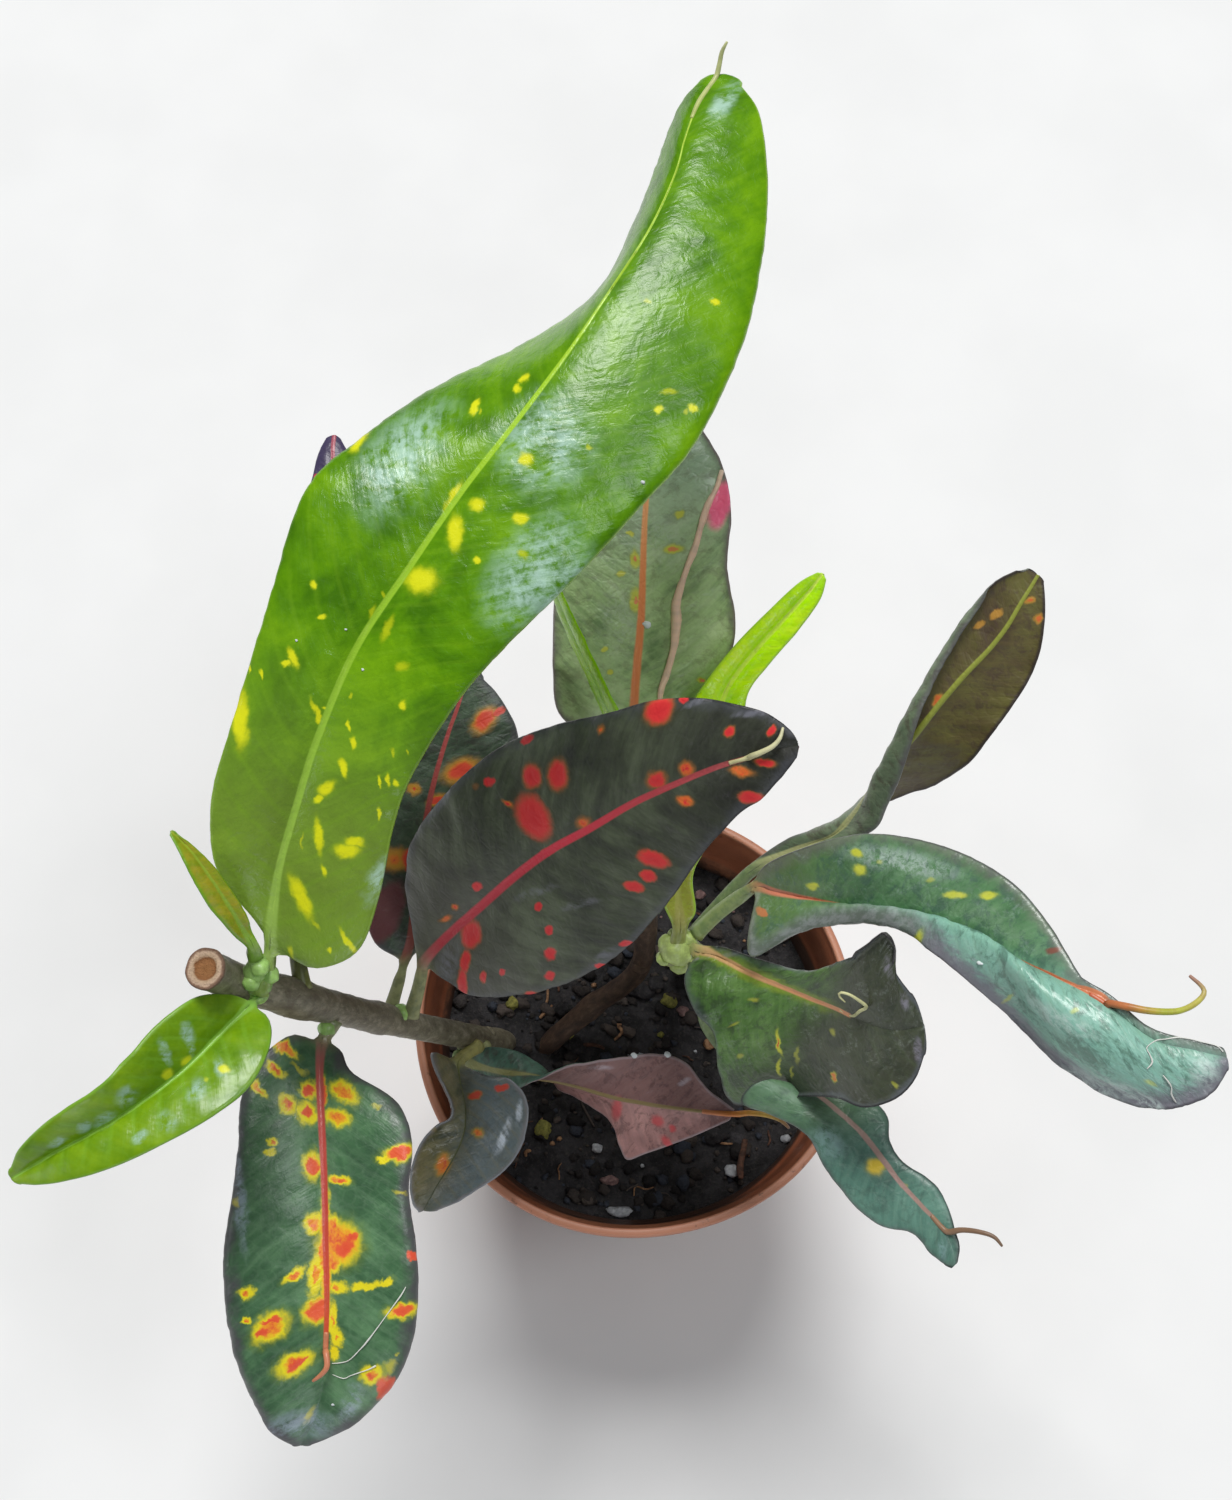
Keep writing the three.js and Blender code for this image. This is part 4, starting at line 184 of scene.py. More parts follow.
             [-16.37, -10.86, 65.42, -19.6, -11, 64.17, -22.8, -11.31, 62.07, -24.25, -10.87, 63.79, -25.69, -10.53, 65.01],
             [-14.34, -12.58, 67.14, -18.43, -12.98, 65.28, -22.2, -13.43, 62.36, -23.27, -13.58, 63.42, -24.25, -13.73, 64.16],
             [-13.52, -14.93, 67.56, -17.96, -15.15, 65.59, -22.01, -15.39, 62.5, -23.23, -15.42, 63.27, -24.36, -15.46, 63.75],
             [-13.75, -17.5, 67.05, -18.13, -17.42, 65.3, -22.22, -17.3, 62.44, -24.17, -16.9, 63.36, -25.99, -16.49, 63.8],
             [-14.91, -20.3, 65.61, -19.03, -19.85, 64.39, -22.96, -19.3, 62.14, -25.41, -18.92, 63.12, -27.75, -18.48, 63.5],
             [-16.99, -22.47, 64.07, -20.66, -22.09, 63.31, -24.22, -21.52, 61.65, -26.59, -21.52, 62.43, -28.88, -21.4, 62.65],
             [-19.97, -24.17, 62.6, -22.78, -23.92, 62.1, -25.51, -23.46, 60.94, -27.36, -23.81, 61.42, -29.16, -24.03, 61.48],
             [-22.74, -25.61, 61.01, -24.67, -25.47, 60.78, -26.55, -25.13, 60.12, -27.71, -25.51, 60.35, -28.83, -25.78, 60.31],
             [-25.4, -26.58, 59.6, -26.32, -26.44, 59.6, -27.23, -26.18, 59.42, -27.68, -26.46, 59.44, -28.12, -26.68, 59.35],
         ],
         spots=[(10.31, -6.51, 2.65, 0.75, -157, 1, "w"), (7.88, -8.54, 1.41, 0.55, -162, 1, "w"), (13.98, 0.92, 1.91, 1.02, 149, 0.74, "o"), (9.65, -2.55, 1.22, 0.66, -76, 0.6, "o"), (5.03, -2.11, 1.33, 0.61, -88, 0.95, "r"), (4.83, -6.41, 1.18, 0.5, -97, 0.95, "p"), (10.02, 4.38, 0.72, 0.43, -65, 0, "f")],
         lines=[],
         flecks=[]),
    dict(name="dark_red_veined_leaf", seed=1.0,
         pet=[[-26.68, -6.27, 87.53, 0.9], [-26.01, -4.44, 89.04, 0.8], [-25.58, -3.05, 90.29, 0.75]],
         awn=[[10.8, 8.87, 133.69], [11.74, 9.04, 134.39], [12.79, 9.45, 134.96], [13.46, 10.15, 135.33], [13.77, 11.15, 135.47]], mend=56.52, mendv=0.918,
         rows=[
             [-25.98, -1.66, 91.54, -25.64, -1.79, 91.43, -25.29, -1.84, 91.27, -24.9, -2.13, 91.05, -24.5, -2.32, 90.77],
             [-26.29, 1.76, 95.56, -25.09, 0.39, 94.73, -23.71, -0.62, 93.63, -23.11, -2.4, 92.45, -22.32, -3.81, 90.98],
             [-26.7, 5.34, 100.69, -24.24, 2.65, 99.13, -21.37, 0.65, 97.07, -20.14, -3.03, 94.77, -18.45, -5.92, 91.91],
             [-25.25, 8.89, 107.3, -21.84, 5.05, 105.16, -17.83, 2.19, 102.31, -15.86, -2.77, 99.47, -13.24, -6.69, 95.88],
             [-20.99, 12.04, 113.98, -17.7, 7.48, 111.52, -13.73, 3.97, 108.28, -10.68, -1.75, 105.37, -6.84, -6.27, 101.57],
             [-15.16, 14.86, 119.9, -12.81, 9.57, 117.19, -9.71, 5.32, 113.66, -6.14, -0.13, 111.06, -1.73, -4.43, 107.56],
             [-9.27, 15.57, 124.63, -7.65, 10.39, 122.14, -5.34, 6.15, 118.86, -1.98, 1.62, 116.73, 2.08, -1.94, 113.79],
             [-3.83, 15.37, 128.61, -2.62, 10.95, 126.53, -0.85, 7.3, 123.75, 1.75, 3.66, 122.05, 4.89, 0.77, 119.67],
             [1.32, 15.45, 132.04, 2.09, 11.4, 130.28, 3.37, 7.97, 127.83, 4.97, 4.99, 126.48, 6.98, 2.52, 124.57],
             [5.75, 14.83, 134.15, 6.28, 11.49, 132.8, 7.19, 8.63, 130.83, 8.27, 6.37, 129.88, 9.64, 4.46, 128.46],
             [9.15, 13.83, 135.07, 9.29, 11.17, 134.05, 9.69, 8.87, 132.52, 10.7, 7.01, 131.78, 11.92, 5.43, 130.63],
             [11.97, 12.91, 135.26, 11.83, 10.91, 134.58, 11.81, 9.16, 133.47, 12.61, 7.88, 132.99, 13.52, 6.78, 132.18],
             [13.63, 11.91, 135.11, 13.62, 10.58, 134.74, 13.75, 9.58, 134.05, 14.14, 8.56, 133.68, 14.36, 7.73, 133.06],
             [14.22, 11.36, 134.91, 14.85, 10.58, 134.74, 15.17, 9.82, 134.25, 15.26, 9.17, 134.01, 15.08, 8.56, 133.68],
         ],
         spots=[(52.51, -6.94, 2.99, 0.4, -177, 1, "w"), (56.82, -4.35, 2.03, 0.41, -167, 1, "w"), (26.16, 13.26, 2.3, 0.83, 175, 1, "w"), (4.5, 2.91, 4.83, 2.26, 166, 1, "w"), (23.33, 2.91, 4.05, 0.65, -168, 1, "w"), (28.17, 6.69, 3.05, 0.56, -167, 1, "w"), (19.94, -11.94, 3.48, 0.74, 169, 1, "w"), (31.84, -11.78, 0.96, 0.47, -173, 1, "p"), (31.02, -8.08, 1.49, 1.4, -88, 0.82, "r"), (34.27, -6.83, 1.81, 1.54, -69, 0.82, "r"), (28.98, -4.12, 2.89, 2.26, -93, 0.95, "r"), (26.16, -10.15, 0.73, 0.49, -140, 1, "p"), (24.55, -10.72, 0.49, 0.38, -131, 0, "f"), (26.96, -6.99, 0.95, 0.38, -120, 0.6, "o"), (34.68, -0.89, 1.19, 0.92, -175, 0.6, "o"), (16.32, -2.12, 0.81, 0.59, 173, 1, "p"), (10.85, 1.94, 2.23, 1.58, -168, 0.93, "r"), (8.22, 4.07, 1.67, 0.97, 145, 0.9, "r"), (5.76, 6.36, 2.71, 0.98, -51, 0.9, "r"), (10.06, 7.06, 0.93, 0.6, 147, 0.9, "r"), (13.31, 7.98, 0.62, 0.39, -180, 1, "p"), (20.82, 9.51, 0.9, 0.72, 172, 1, "p"), (22.51, 7.18, 0.64, 0.51, 152, 1, "p"), (22.92, 4.35, 0.61, 0.48, -176, 1, "p"), (19.04, 11.62, 0.75, 0.55, -177, 1, "p"), (15, 12.38, 1.18, 0.75, 176, 0.9, "r"), (8.57, -1.8, 1.22, 0.49, -167, 0.6, "o"), (27.77, 0, 1.39, 0.56, -177, 1, "p"), (48.15, -7.68, 1.8, 1.5, -171, 0.85, "r"), (41.12, -8.59, 0.58, 0.55, 141, 0.5, "o"), (50.92, -7.72, 0.5, 0.44, 158, 1, "p"), (45.84, -1.16, 1.49, 1.13, -172, 0.75, "r"), (49.72, -1.04, 1.05, 0.95, -167, 0.65, "o"), (55.14, -3.11, 0.65, 0.58, -50, 0.8, "r"), (59.07, -2.07, 0.65, 0.56, -52, 0.9, "r"), (55.3, 1.16, 1.41, 0.63, -158, 0.7, "o"), (57.87, 0.98, 1.17, 0.51, -156, 0.8, "r"), (54.82, 3.96, 1.25, 0.75, -160, 0.93, "r"), (48.15, 1.97, 1.1, 0.68, -155, 0.75, "o"), (39.95, 6.2, 1.89, 1.12, -139, 0.96, "r"), (37.93, 7.5, 1.04, 0.79, -137, 0.96, "r"), (35.48, 7.78, 1.19, 0.78, -144, 0.96, "r"), (29.39, 13.22, 0.73, 0.51, -147, 1, "p"), (24.96, 14.04, 0.68, 0.54, -150, 1, "p"), (11.26, -2.1, 0.7, 0.48, 178, 0.6, "o")],
         lines=[],
         flecks=[]),
    dict(name="maroon_twisted_leaf", seed=1.0,
         pet=[[-20.7, -4.91, 54.82, 0.9], [-21.69, -5.77, 55.78, 0.85]],
         awn=[[12.77, -15.49, 67.14], [14.4, -15.44, 67.59], [16.39, -15.74, 67.9], [18.15, -16.37, 67.89], [19.27, -17.35, 67.74]], mend=35.64, mendv=0.954,
         rows=[
             [-22.15, -5.97, 56.78, -22.3, -6.35, 56.68, -22.42, -6.72, 56.5, -22.57, -7.11, 56.41, -22.68, -7.47, 56.23],
             [-19.64, -5.25, 58.63, -20, -6.52, 58.06, -20.2, -7.66, 57.22, -20.59, -9.11, 56.46, -20.8, -10.4, 55.37],
             [-15.74, -5.89, 59.15, -16.4, -7.31, 59.11, -16.9, -8.74, 58.75, -17.08, -9.97, 58.75, -17.13, -11.21, 58.49],
             [-12.59, -7.61, 57.67, -13.05, -8.41, 59.12, -13.51, -9.56, 60.36, -13.58, -9.98, 61.84, -13.64, -10.71, 63.13],
             [-10.32, -10.4, 56.87, -10.23, -10.09, 59.31, -10.31, -10.34, 61.78, -10.23, -9.84, 63.98, -10.31, -9.85, 66.22],
             [-7.36, -12.03, 57.87, -7.2, -11.41, 60.25, -7.28, -11.31, 62.81, -6.87, -9.89, 64.85, -6.7, -8.97, 67.07],
             [-4.7, -13.94, 59.09, -4.44, -12.94, 61.24, -4.41, -12.37, 63.7, -3.62, -10.16, 65.51, -3.11, -8.45, 67.68],
             [-2.99, -16.14, 59.88, -2.36, -14.43, 61.9, -1.96, -13.13, 64.38, -0.99, -10.41, 66.03, -0.3, -8.16, 68.21],
             [-2.21, -18.51, 60.19, -0.86, -15.83, 62.22, 0.23, -13.61, 64.95, 1.36, -10.65, 66.47, 2.25, -8.12, 68.65],
             [-1.18, -20.33, 60.38, 0.69, -16.94, 62.41, 2.27, -14.05, 65.32, 3.45, -11.04, 66.79, 4.41, -8.44, 68.97],
             [1.14, -19.73, 61.56, 2.7, -16.84, 63.27, 4.05, -14.38, 65.74, 5.21, -11.61, 67.04, 6.18, -9.21, 69],
             [4.09, -18.89, 62.82, 5.16, -16.62, 64.15, 6.09, -14.68, 66.05, 7.02, -12.65, 67.03, 7.83, -10.9, 68.49],
             [7.13, -17.95, 64.22, 7.67, -16.36, 65.11, 8.11, -14.99, 66.37, 8.71, -13.63, 67.04, 9.23, -12.47, 68.03],
             [10.03, -16.89, 65.57, 10.23, -16.03, 66.02, 10.39, -15.29, 66.68, 10.72, -14.55, 67.01, 11.01, -13.91, 67.51],
             [11.65, -16.28, 66.54, 11.85, -15.85, 66.68, 12.02, -15.46, 66.94, 12.22, -15.15, 67.06, 12.4, -14.88, 67.26],
         ],
         spots=[(26.87, 1.8, 1.21, 0.37, -146, 1, "w"), (29.94, 3.77, 1.01, 0.6, -137, 1, "w"), (19.12, 4.13, 1.87, 0.57, -173, 1, "w"), (22.69, -2.11, 2.12, 0.77, -87, 1, "p"), (28.8, -2.37, 1.07, 0.67, 139, 1, "p"), (31.02, -5.22, 1.09, 0.45, 139, 1, "p"), (30.89, -3.2, 0.61, 0.34, -48, 1, "p")],
         lines=[],
         flecks=[(26.87, 7.12, 0.52, 0.05), (23.01, 6.56, 0.45, 0.05)]),
    dict(name="long_twisted_leaf", seed=1.0,
         pet=[[7.65, 2.9, 89.8, 0.95], [9.47, 4.16, 91.96, 0.9], [11.69, 5.24, 94.69, 0.85]],
         awn=[[47.12, -12.96, 120.64], [48.82, -13.59, 121.68], [51.06, -14.1, 122.13], [53.72, -14.06, 121.94], [55.81, -13.08, 121.65], [56.7, -11.81, 121.48], [55.34, -10.44, 121.76]], mend=45.07, mendv=0.781,
         rows=[
             [13.29, 6.5, 97.49, 13.49, 6.21, 97.42, 13.76, 5.96, 97.3, 13.66, 5.56, 97.19, 13.64, 5.19, 97.02],
             [14.82, 7.72, 100.71, 15.28, 6.22, 100.01, 16.02, 4.76, 98.99, 13.88, 0.4, 98.47, 12.77, -1.97, 95.26],
             [19.01, 8.37, 105.2, 18.99, 5.58, 103.73, 19.49, 3.04, 101.77, 18.76, 1.13, 102.78, 18.28, -0.48, 100.06],
             [24.29, 8.42, 109.9, 23.63, 4.48, 107.79, 23.66, 1.08, 105.1, 23.27, 0.71, 107.3, 23.15, -0.83, 104.94],
             [29.72, 6.71, 113.53, 28.65, 2.52, 111.25, 28.32, -1.05, 108.37, 28.29, -0.66, 111.07, 27.79, -2.64, 109.28],
             [34.79, 3.94, 116.36, 33.31, 0, 114.26, 32.58, -3.44, 111.54, 32.52, -2.8, 114.12, 31.67, -6.14, 112.26],
             [39.11, 0.16, 118.39, 37.54, -3.01, 116.72, 36.6, -5.83, 114.5, 36.23, -5.83, 117.06, 35.26, -9.88, 113.45],
             [42.06, -4.13, 119.16, 40.71, -6.17, 118.13, 39.79, -7.98, 116.7, 38.84, -9.74, 119.25, 40.18, -13.26, 111.8],
             [43.64, -7.53, 119.63, 42.91, -8.71, 119.12, 42.4, -9.75, 118.4, 41.8, -13.68, 119.73, 44.27, -18.11, 113.44],
             [45.22, -10.76, 120.05, 45.1, -11.16, 119.89, 45.04, -11.51, 119.67, 45.5, -16.63, 120.15, 48.46, -21.28, 115.05],
             [47.55, -12.74, 120.61, 47.44, -13.04, 120.48, 47.37, -13.29, 120.3, 48.71, -18.11, 120.46, 52.09, -22.51, 116.31],
             [51.28, -15.54, 120.76, 51.36, -16.14, 120.61, 51.48, -16.67, 120.35, 52.8, -19.69, 120.31, 55.12, -22.46, 117.82],
             [55.35, -16.77, 120.84, 55.48, -17.32, 120.77, 55.62, -17.82, 120.57, 56.34, -19.63, 120.55, 57.39, -21.37, 119.06],
             [58.06, -17.49, 120.9, 58.11, -17.98, 120.79, 58.16, -18.43, 120.56, 58.3, -19.03, 120.55, 58.56, -19.74, 120.08],
         ],
         spots=[(39.44, 5.4, 4.7, 1.53, 164, 1, "w"), (44.46, 11.36, 4.64, 1.7, -171, 1, "w"), (54.82, 2.19, 3.16, 1.75, -54, 1, "w"), (18.75, -6.76, 7.89, 1.55, 179, 1, "w"), (40.68, 13.08, 3.38, 2.26, 157, 1, "w"), (14.39, -4.89, 0.83, 0.68, -180, 0, "y"), (13.68, -6.61, 0.7, 0.45, -174, 0, "y"), (8.56, -1.91, 0.82, 0.48, 171, 0, "y"), (25.69, -4.66, 1.24, 0.43, 166, 0, "y"), (29.06, -5.71, 0.87, 0.41, 160, 0, "y"), (22.27, 6.02, 1.48, 0.67, -67, 0, "y"), (37.59, -2.56, 0.86, 0.42, 150, 1, "p"), (2.42, 2.91, 1.1, 0.5, -165, 1, "m"), (34.19, 8.56, 1.2, 0.24, -67, 0, "f"), (41.09, 3.23, 0.67, 0.23, 136, 0, "f"), (46.71, 7.66, 0.92, 0.39, 151, 0, "f"), (16.57, -6.21, 0.46, 0.34, 175, 0, "f"), (22.62, -5.54, 0.56, 0.33, 163, 0, "f")],
         lines=[dict(pts=[(47.37, 5.34), (48.74, 3.66), (48.74, 2.82), (48.74, 2.22), (50.93, 0), (52.04, -0.62), (53.38, -1.03), (54.6, -1.12), (55.63, -1.11), (57.14, -1.01), (57.67, -0.58)], r=[0.05, 0.08, 0.06, 0.05, 0.07, 0.05, 0.09, 0.05, 0.06, 0.05, 0.05], h=0.1, mat=3, step=0.3, rough=0.5), dict(pts=[(49.41, 4.71), (49.74, 5.23), (49.74, 5.94), (49.08, 7.41), (49.08, 8.6)], r=[0.05, 0.08, 0.06, 0.09, 0.05], h=0.1, mat=3, step=0.3, rough=0.5)],
         flecks=[(30.64, 5.45, 0.36, 0.05)]),
    dict(name="curled_green_leaf", seed=1.0,
         pet=[[6.14, 1.13, 88.09, 1.2]],
         awn=[[24.14, -10.27, 104.37], [24.69, -10.11, 105.71], [23.75, -9.67, 106.93], [22.6, -9.16, 107.65], [21.64, -8.94, 107.62], [21.61, -9.3, 107.28], [22.26, -9.75, 106.58]], mend=23.09, mendv=0.735,
         rows=[
             [7.41, 1, 89.11, 7.45, 0.66, 89.02, 7.53, 0.33, 88.86, 7.14, -0.02, 88.79, 6.81, -0.34, 88.62],
             [10.16, 0.29, 90.98, 9.9, -0.23, 90.54, 9.72, -0.79, 89.95, 7.45, -2.04, 90.16, 5.42, -3.42, 89.84],
             [13.26, -1.5, 93.31, 12.59, -1.91, 92.52, 12.07, -2.37, 91.5, 9.07, -4.78, 91.19, 6.54, -7.31, 90.13],
             [16.92, -3.39, 96.24, 15.6, -3.73, 95, 14.58, -4.03, 93.45, 11.37, -6.92, 91.04, 8.95, -9.67, 87.78],
             [19.5, -4.65, 100.04, 18.15, -5.29, 98.1, 17.23, -5.74, 95.8, 12.73, -9.98, 90.18, 9.69, -13.6, 83.37],
             [21.94, -4.79, 104.45, 20.61, -6.33, 101.52, 19.92, -7.54, 98.13, 14.8, -12.51, 90.56, 11.52, -16.53, 81.66],
             [23.58, -4.83, 108.27, 22.49, -7.21, 104.54, 22.22, -9.06, 100.35, 18.86, -13.03, 92.94, 17.08, -16.11, 84.16],
             [25.05, -3.69, 111.66, 24.08, -7.66, 107.06, 24.17, -10.57, 102.14, 22.93, -14.63, 98.95, 22.25, -18.14, 94.7],
             [26.51, -2.84, 113.04, 25.88, -8.08, 108.3, 26.06, -11.73, 103.42, 25.26, -16.16, 101.17, 25.14, -19.83, 98.13],
             [27.37, -4.45, 111.6, 27.44, -8.83, 108.22, 27.78, -12.35, 104.26, 27.63, -16.19, 103.07, 27.94, -19.57, 101.2],
             [27.28, -6.78, 109.9, 28.24, -9.83, 107.82, 29.18, -12.41, 105.09, 29.4, -15.21, 104.48, 29.91, -17.66, 103.39],
             [29.12, -9.02, 108.23, 29.53, -10.8, 107.18, 30.17, -12.32, 105.75, 30.4, -13.92, 105.46, 30.79, -15.32, 104.88],
         ],
         spots=[(27.52, -8.17, 1.68, 0.76, -119, 1, "w"), (30.58, -3.79, 1.41, 0.75, -98, 1, "w"), (31.05, 2.45, 1.57, 0.49, -83, 1, "w"), (0.6, 1.97, 6.22, 0.55, 136, 1, "w"), (17.7, 7.84, 2.32, 0.27, -124, 0.4, "o"), (20.38, 9.09, 1.75, 0.24, -109, 0, "f"), (14.53, 11.84, 0.64, 0.56, -79, 0, "f"), (23.68, 8.17, 0.76, 0.23, -94, 0.8, "o"), (22.18, 3.09, 0.54, 0.35, -118, 0, "f"), (19.52, 12.13, 1.7, 0.21, -107, 0, "y"), (20.89, 12.48, 1.22, 0.14, -102, 0, "f"), (28.75, 6.03, 0.45, 0.23, -121, 0, "f"), (10.92, 3.08, 0.77, 0.37, 163, 0, "f"), (10.92, 7.3, 0.83, 0.3, -54, 0, "f")],
         lines=[],
         flecks=[]),
    dict(name="brown_backed_leaf", seed=1.0,
         pet=[[6.14, 2.6, 85.22, 0.9], [9.02, 5.64, 86.96, 0.8], [12.09, 8.49, 89.28, 0.8]],
         awn=[], mend=None, mendv=1.02,
         rows=[
             [13.78, 10.52, 91.72, 14.07, 10.27, 91.68, 14.38, 10.07, 91.56, 14.6, 9.65, 91.46, 14.86, 9.29, 91.27],
             [17.38, 12.53, 93.73, 18.07, 11.93, 94.04, 18.85, 11.4, 94.17, 19.43, 10.78, 94.36, 20.1, 10.22, 94.38],
             [22.25, 14.06, 95.56, 22.26, 13.01, 97.31, 23.17, 12.29, 97.26, 24.18, 11.43, 98.44, 24.64, 10.99, 98.28],
             [26.48, 15.33, 96.24, 25.35, 15.24, 98.76, 25.21, 13.96, 100.42, 26.34, 12.26, 101.93, 27.26, 11.61, 101.7],
             [30.5, 16.6, 98.4, 28.26, 16.86, 101.26, 27, 16.29, 103.61, 26.56, 15.35, 104.97, 28.44, 13.51, 104.73],
             [34.65, 17.1, 101.99, 31.62, 17.87, 103.97, 29.15, 18.49, 106.33, 27.7, 17.8, 107.57, 29.44, 15.71, 108.08],
             [37.6, 18.02, 105.94, 34.54, 19.42, 107.09, 31.33, 20.57, 109.21, 29.52, 21.34, 110.35, 30.7, 20.07, 111.8],
             [39.49, 19.9, 108.76, 36.67, 21.7, 109.41, 33.64, 23.17, 111.22, 31.53, 24.53, 112.36, 32.16, 23.51, 113.69],
             [41.68, 22.57, 111.22, 39.1, 24.36, 111.87, 36.27, 25.85, 113.26, 33.63, 27.69, 114.36, 34.16, 27.14, 115.65],
             [43.59, 25.35, 113.3, 41.36, 26.93, 113.87, 38.9, 28.26, 114.99, 35.94, 30.71, 116.31, 36.53, 30.31, 117.23],
             [44.6, 28, 115.32, 42.82, 29.25, 115.78, 40.74, 30.34, 116.6, 37.93, 32.76, 117.69, 38.4, 32.55, 118.68],
             [44.86, 30.81, 117.2, 43.53, 31.64, 117.5, 42.05, 32.39, 117.98, 39.8, 34.17, 118.85, 40.12, 34.02, 119.43],
             [44.75, 32.89, 118.48, 43.98, 33.4, 118.67, 43.09, 33.92, 118.86, 41.51, 35.19, 119.53, 41.66, 35.06, 119.81],
             [44.59, 34.36, 119.23, 44.15, 34.56, 119.31, 43.71, 34.87, 119.42, 42.59, 35.56, 119.78, 42.79, 35.62, 119.9],
         ],
         spots=[(43.26, 1.79, 0.91, 0.54, 158, 0.8, "r"), (41.06, 2.6, 0.79, 0.44, 159, 0, "y"), (31.8, 0.43, 0.9, 0.56, 179, 0.75, "o"), (45.59, -2.63, 0.69, 0.54, 161, 0.6, "o"), (46.68, -0.73, 0.7, 0.42, 142, 0.5, "o")],
         lines=[],
         flecks=[]),
    dict(name="teal_lower_leaf", seed=1.0,
         pet=[[6.1, 6.2, 66.6, 0.95], [7.4, 2.4, 68.2, 0.9], [8.3, -1.9, 70.5, 0.88], [9, -5.8, 73.1, 0.85], [11.75, -10.02, 75.94, 0.85], [15.27, -13.81, 80.53, 0.8], [17.72, -15.34, 83.8, 0.75]],
         awn=[[35.12, -32.3, 88.91], [36.37, -32.21, 90.22], [38.21, -32.53, 91.17], [39.66, -33.11, 91.59], [40.47, -34.1, 91.66]], mend=22.78, mendv=0.855,
         rows=[
             [19.86, -15.98, 86.12, 19.5, -15.86, 86.42, 19.1, -15.85, 86.7, 18.7, -15.7, 86.85, 18.26, -15.66, 86.98],
             [21.04, -15.74, 86.1, 20.44, -15.86, 86.61, 19.77, -16.14, 87.02, 17.64, -15.35, 88.05, 15.33, -15.05, 88.8],
             [22.57, -15.85, 86.06, 21.72, -16.22, 86.7, 20.79, -16.74, 87.12, 17, -16, 88.44, 12.97, -15.77, 88.96],
             [24.77, -15.46, 86.52, 23.06, -16.86, 86.89, 22.03, -17.57, 87.24, 17.05, -17.4, 88.14, 11.95, -17.56, 87.88],
             [26.31, -16.37, 87.04, 24.43, -17.91, 87.26, 23.36, -18.77, 87.45, 19.13, -18.56, 87.76, 14.89, -18.59, 87.08],
             [27.85, -17.63, 88.29, 25.76, -19.12, 88.12, 24.66, -19.99, 87.85, 21.11, -19.86, 87.77, 17.68, -19.83, 86.85],
             [29.02, -19.38, 88.4, 26.95, -20.5, 88.3, 25.86, -21.17, 88.06, 22.73, -21.31, 87.75, 19.73, -21.42, 86.69],
             [29.04, -21.77, 88.27, 28.02, -22.23, 88.34, 27.05, -22.67, 88.16, 23.98, -23.49, 87.61, 21.06, -24.24, 86.31],
             [29.95, -23.85, 88.47, 29.16, -24.25, 88.48, 28.44, -24.62, 88.3, 25.65, -25.89, 87.57, 23.06, -27.06, 86.13],
             [31.3, -25.16, 88.95, 30.58, -25.94, 88.8, 29.93, -26.67, 88.4, 27.48, -28.24, 87.66, 25.24, -29.67, 86.24],
             [32.81, -26.1, 89.25, 32.01, -27.21, 89.01, 31.32, -28.25, 88.47, 29.63, -29.99, 87.71, 28.12, -31.6, 86.39],
             [34.42, -27.79, 89.27, 33.51, -28.84, 89.05, 32.71, -29.82, 88.53, 31.84, -31.12, 87.94, 31.09, -32.33, 86.98],
             [35.56, -30.63, 88.87, 34.97, -31.19, 88.77, 34.43, -31.7, 88.49, 33.6, -33.12, 87.97, 32.9, -34.44, 87.06],
             [36.14, -33.79, 88.36, 35.79, -33.79, 88.4, 35.46, -33.79, 88.36, 34.86, -34.77, 88.1, 34.34, -35.69, 87.56],
             [36.06, -35.42, 88.2, 35.89, -35.53, 88.18, 35.72, -35.63, 88.12, 35.49, -35.9, 88.06, 35.27, -36.16, 87.93],
         ],
         spots=[(9.29, 4.24, 2.63, 1.95, -111, 1, "w"), (24.01, 1.34, 1.21, 1.09, -135, 1, "w"), (12.95, 1.11, 1.09, 0.91, -108, 0, "y"), (16.4, -0.06, 0.51, 0.32, -48, 0, "f")],
         lines=[],
         flecks=[]),
    dict(name="grey_green_back_leaf", seed=1.0,
         pet=[[1.22, 20.23, 95.47, 0.9], [0.73, 21.29, 97.13, 0.85]],
         awn=[], mend=None, mendv=1.02,
         rows=[
             [-0.47, 22.44, 98.83, -0.12, 22.3, 98.82, 0.24, 22.22, 98.75, 0.59, 22.3, 98.82, 0.95, 22.44, 98.83],
             [-5.88, 22.85, 101.11, -3.05, 23.35, 101.2, -0.25, 24.35, 100.8, 2.11, 23.61, 101.07, 4.44, 23.29, 100.94],
             [-9.34, 25.07, 103.83, -4.9, 25.36, 103.83, -0.5, 26.38, 103.03, 3.65, 25.57, 103.65, 7.76, 25.43, 103.53],
             [-9.87, 29.26, 107.06, -5.01, 29.4, 107.06, -0.16, 30.26, 106.14, 5.03, 29.41, 107, 10.22, 29.34, 106.87],
             [-9.82, 33.9, 110.23, -4.77, 33.85, 110.31, 0.28, 34.52, 109.39, 5.73, 33.76, 110.21, 11.17, 33.76, 109.97],
             [-9.44, 38.76, 113.28, -4.5, 38.66, 113.44, 0.49, 39.22, 112.59, 5.28, 38.71, 113.87, 10.12, 38.85, 114.16],
             [-8.62, 43.76, 115.95, -3.99, 43.61, 116.27, 0.7, 44.04, 115.63, 5.57, 43.53, 116.91, 10.5, 43.63, 117.18],
             [-7.36, 48.59, 118.35, -3.13, 48.4, 118.81, 1.14, 48.7, 118.39, 5.41, 48.25, 119.09, 9.71, 48.3, 118.88],
             [-5.09, 52.96, 120.15, -1.65, 52.68, 120.7, 1.8, 52.76, 120.5, 4.68, 52.34, 120.61, 7.57, 52.22, 120.1],
             [-1.24, 55.94, 121.24, 0.61, 55.76, 121.73, 2.48, 55.74, 121.8, 3.89, 55.35, 121.64, 5.31, 55.09, 121.14],
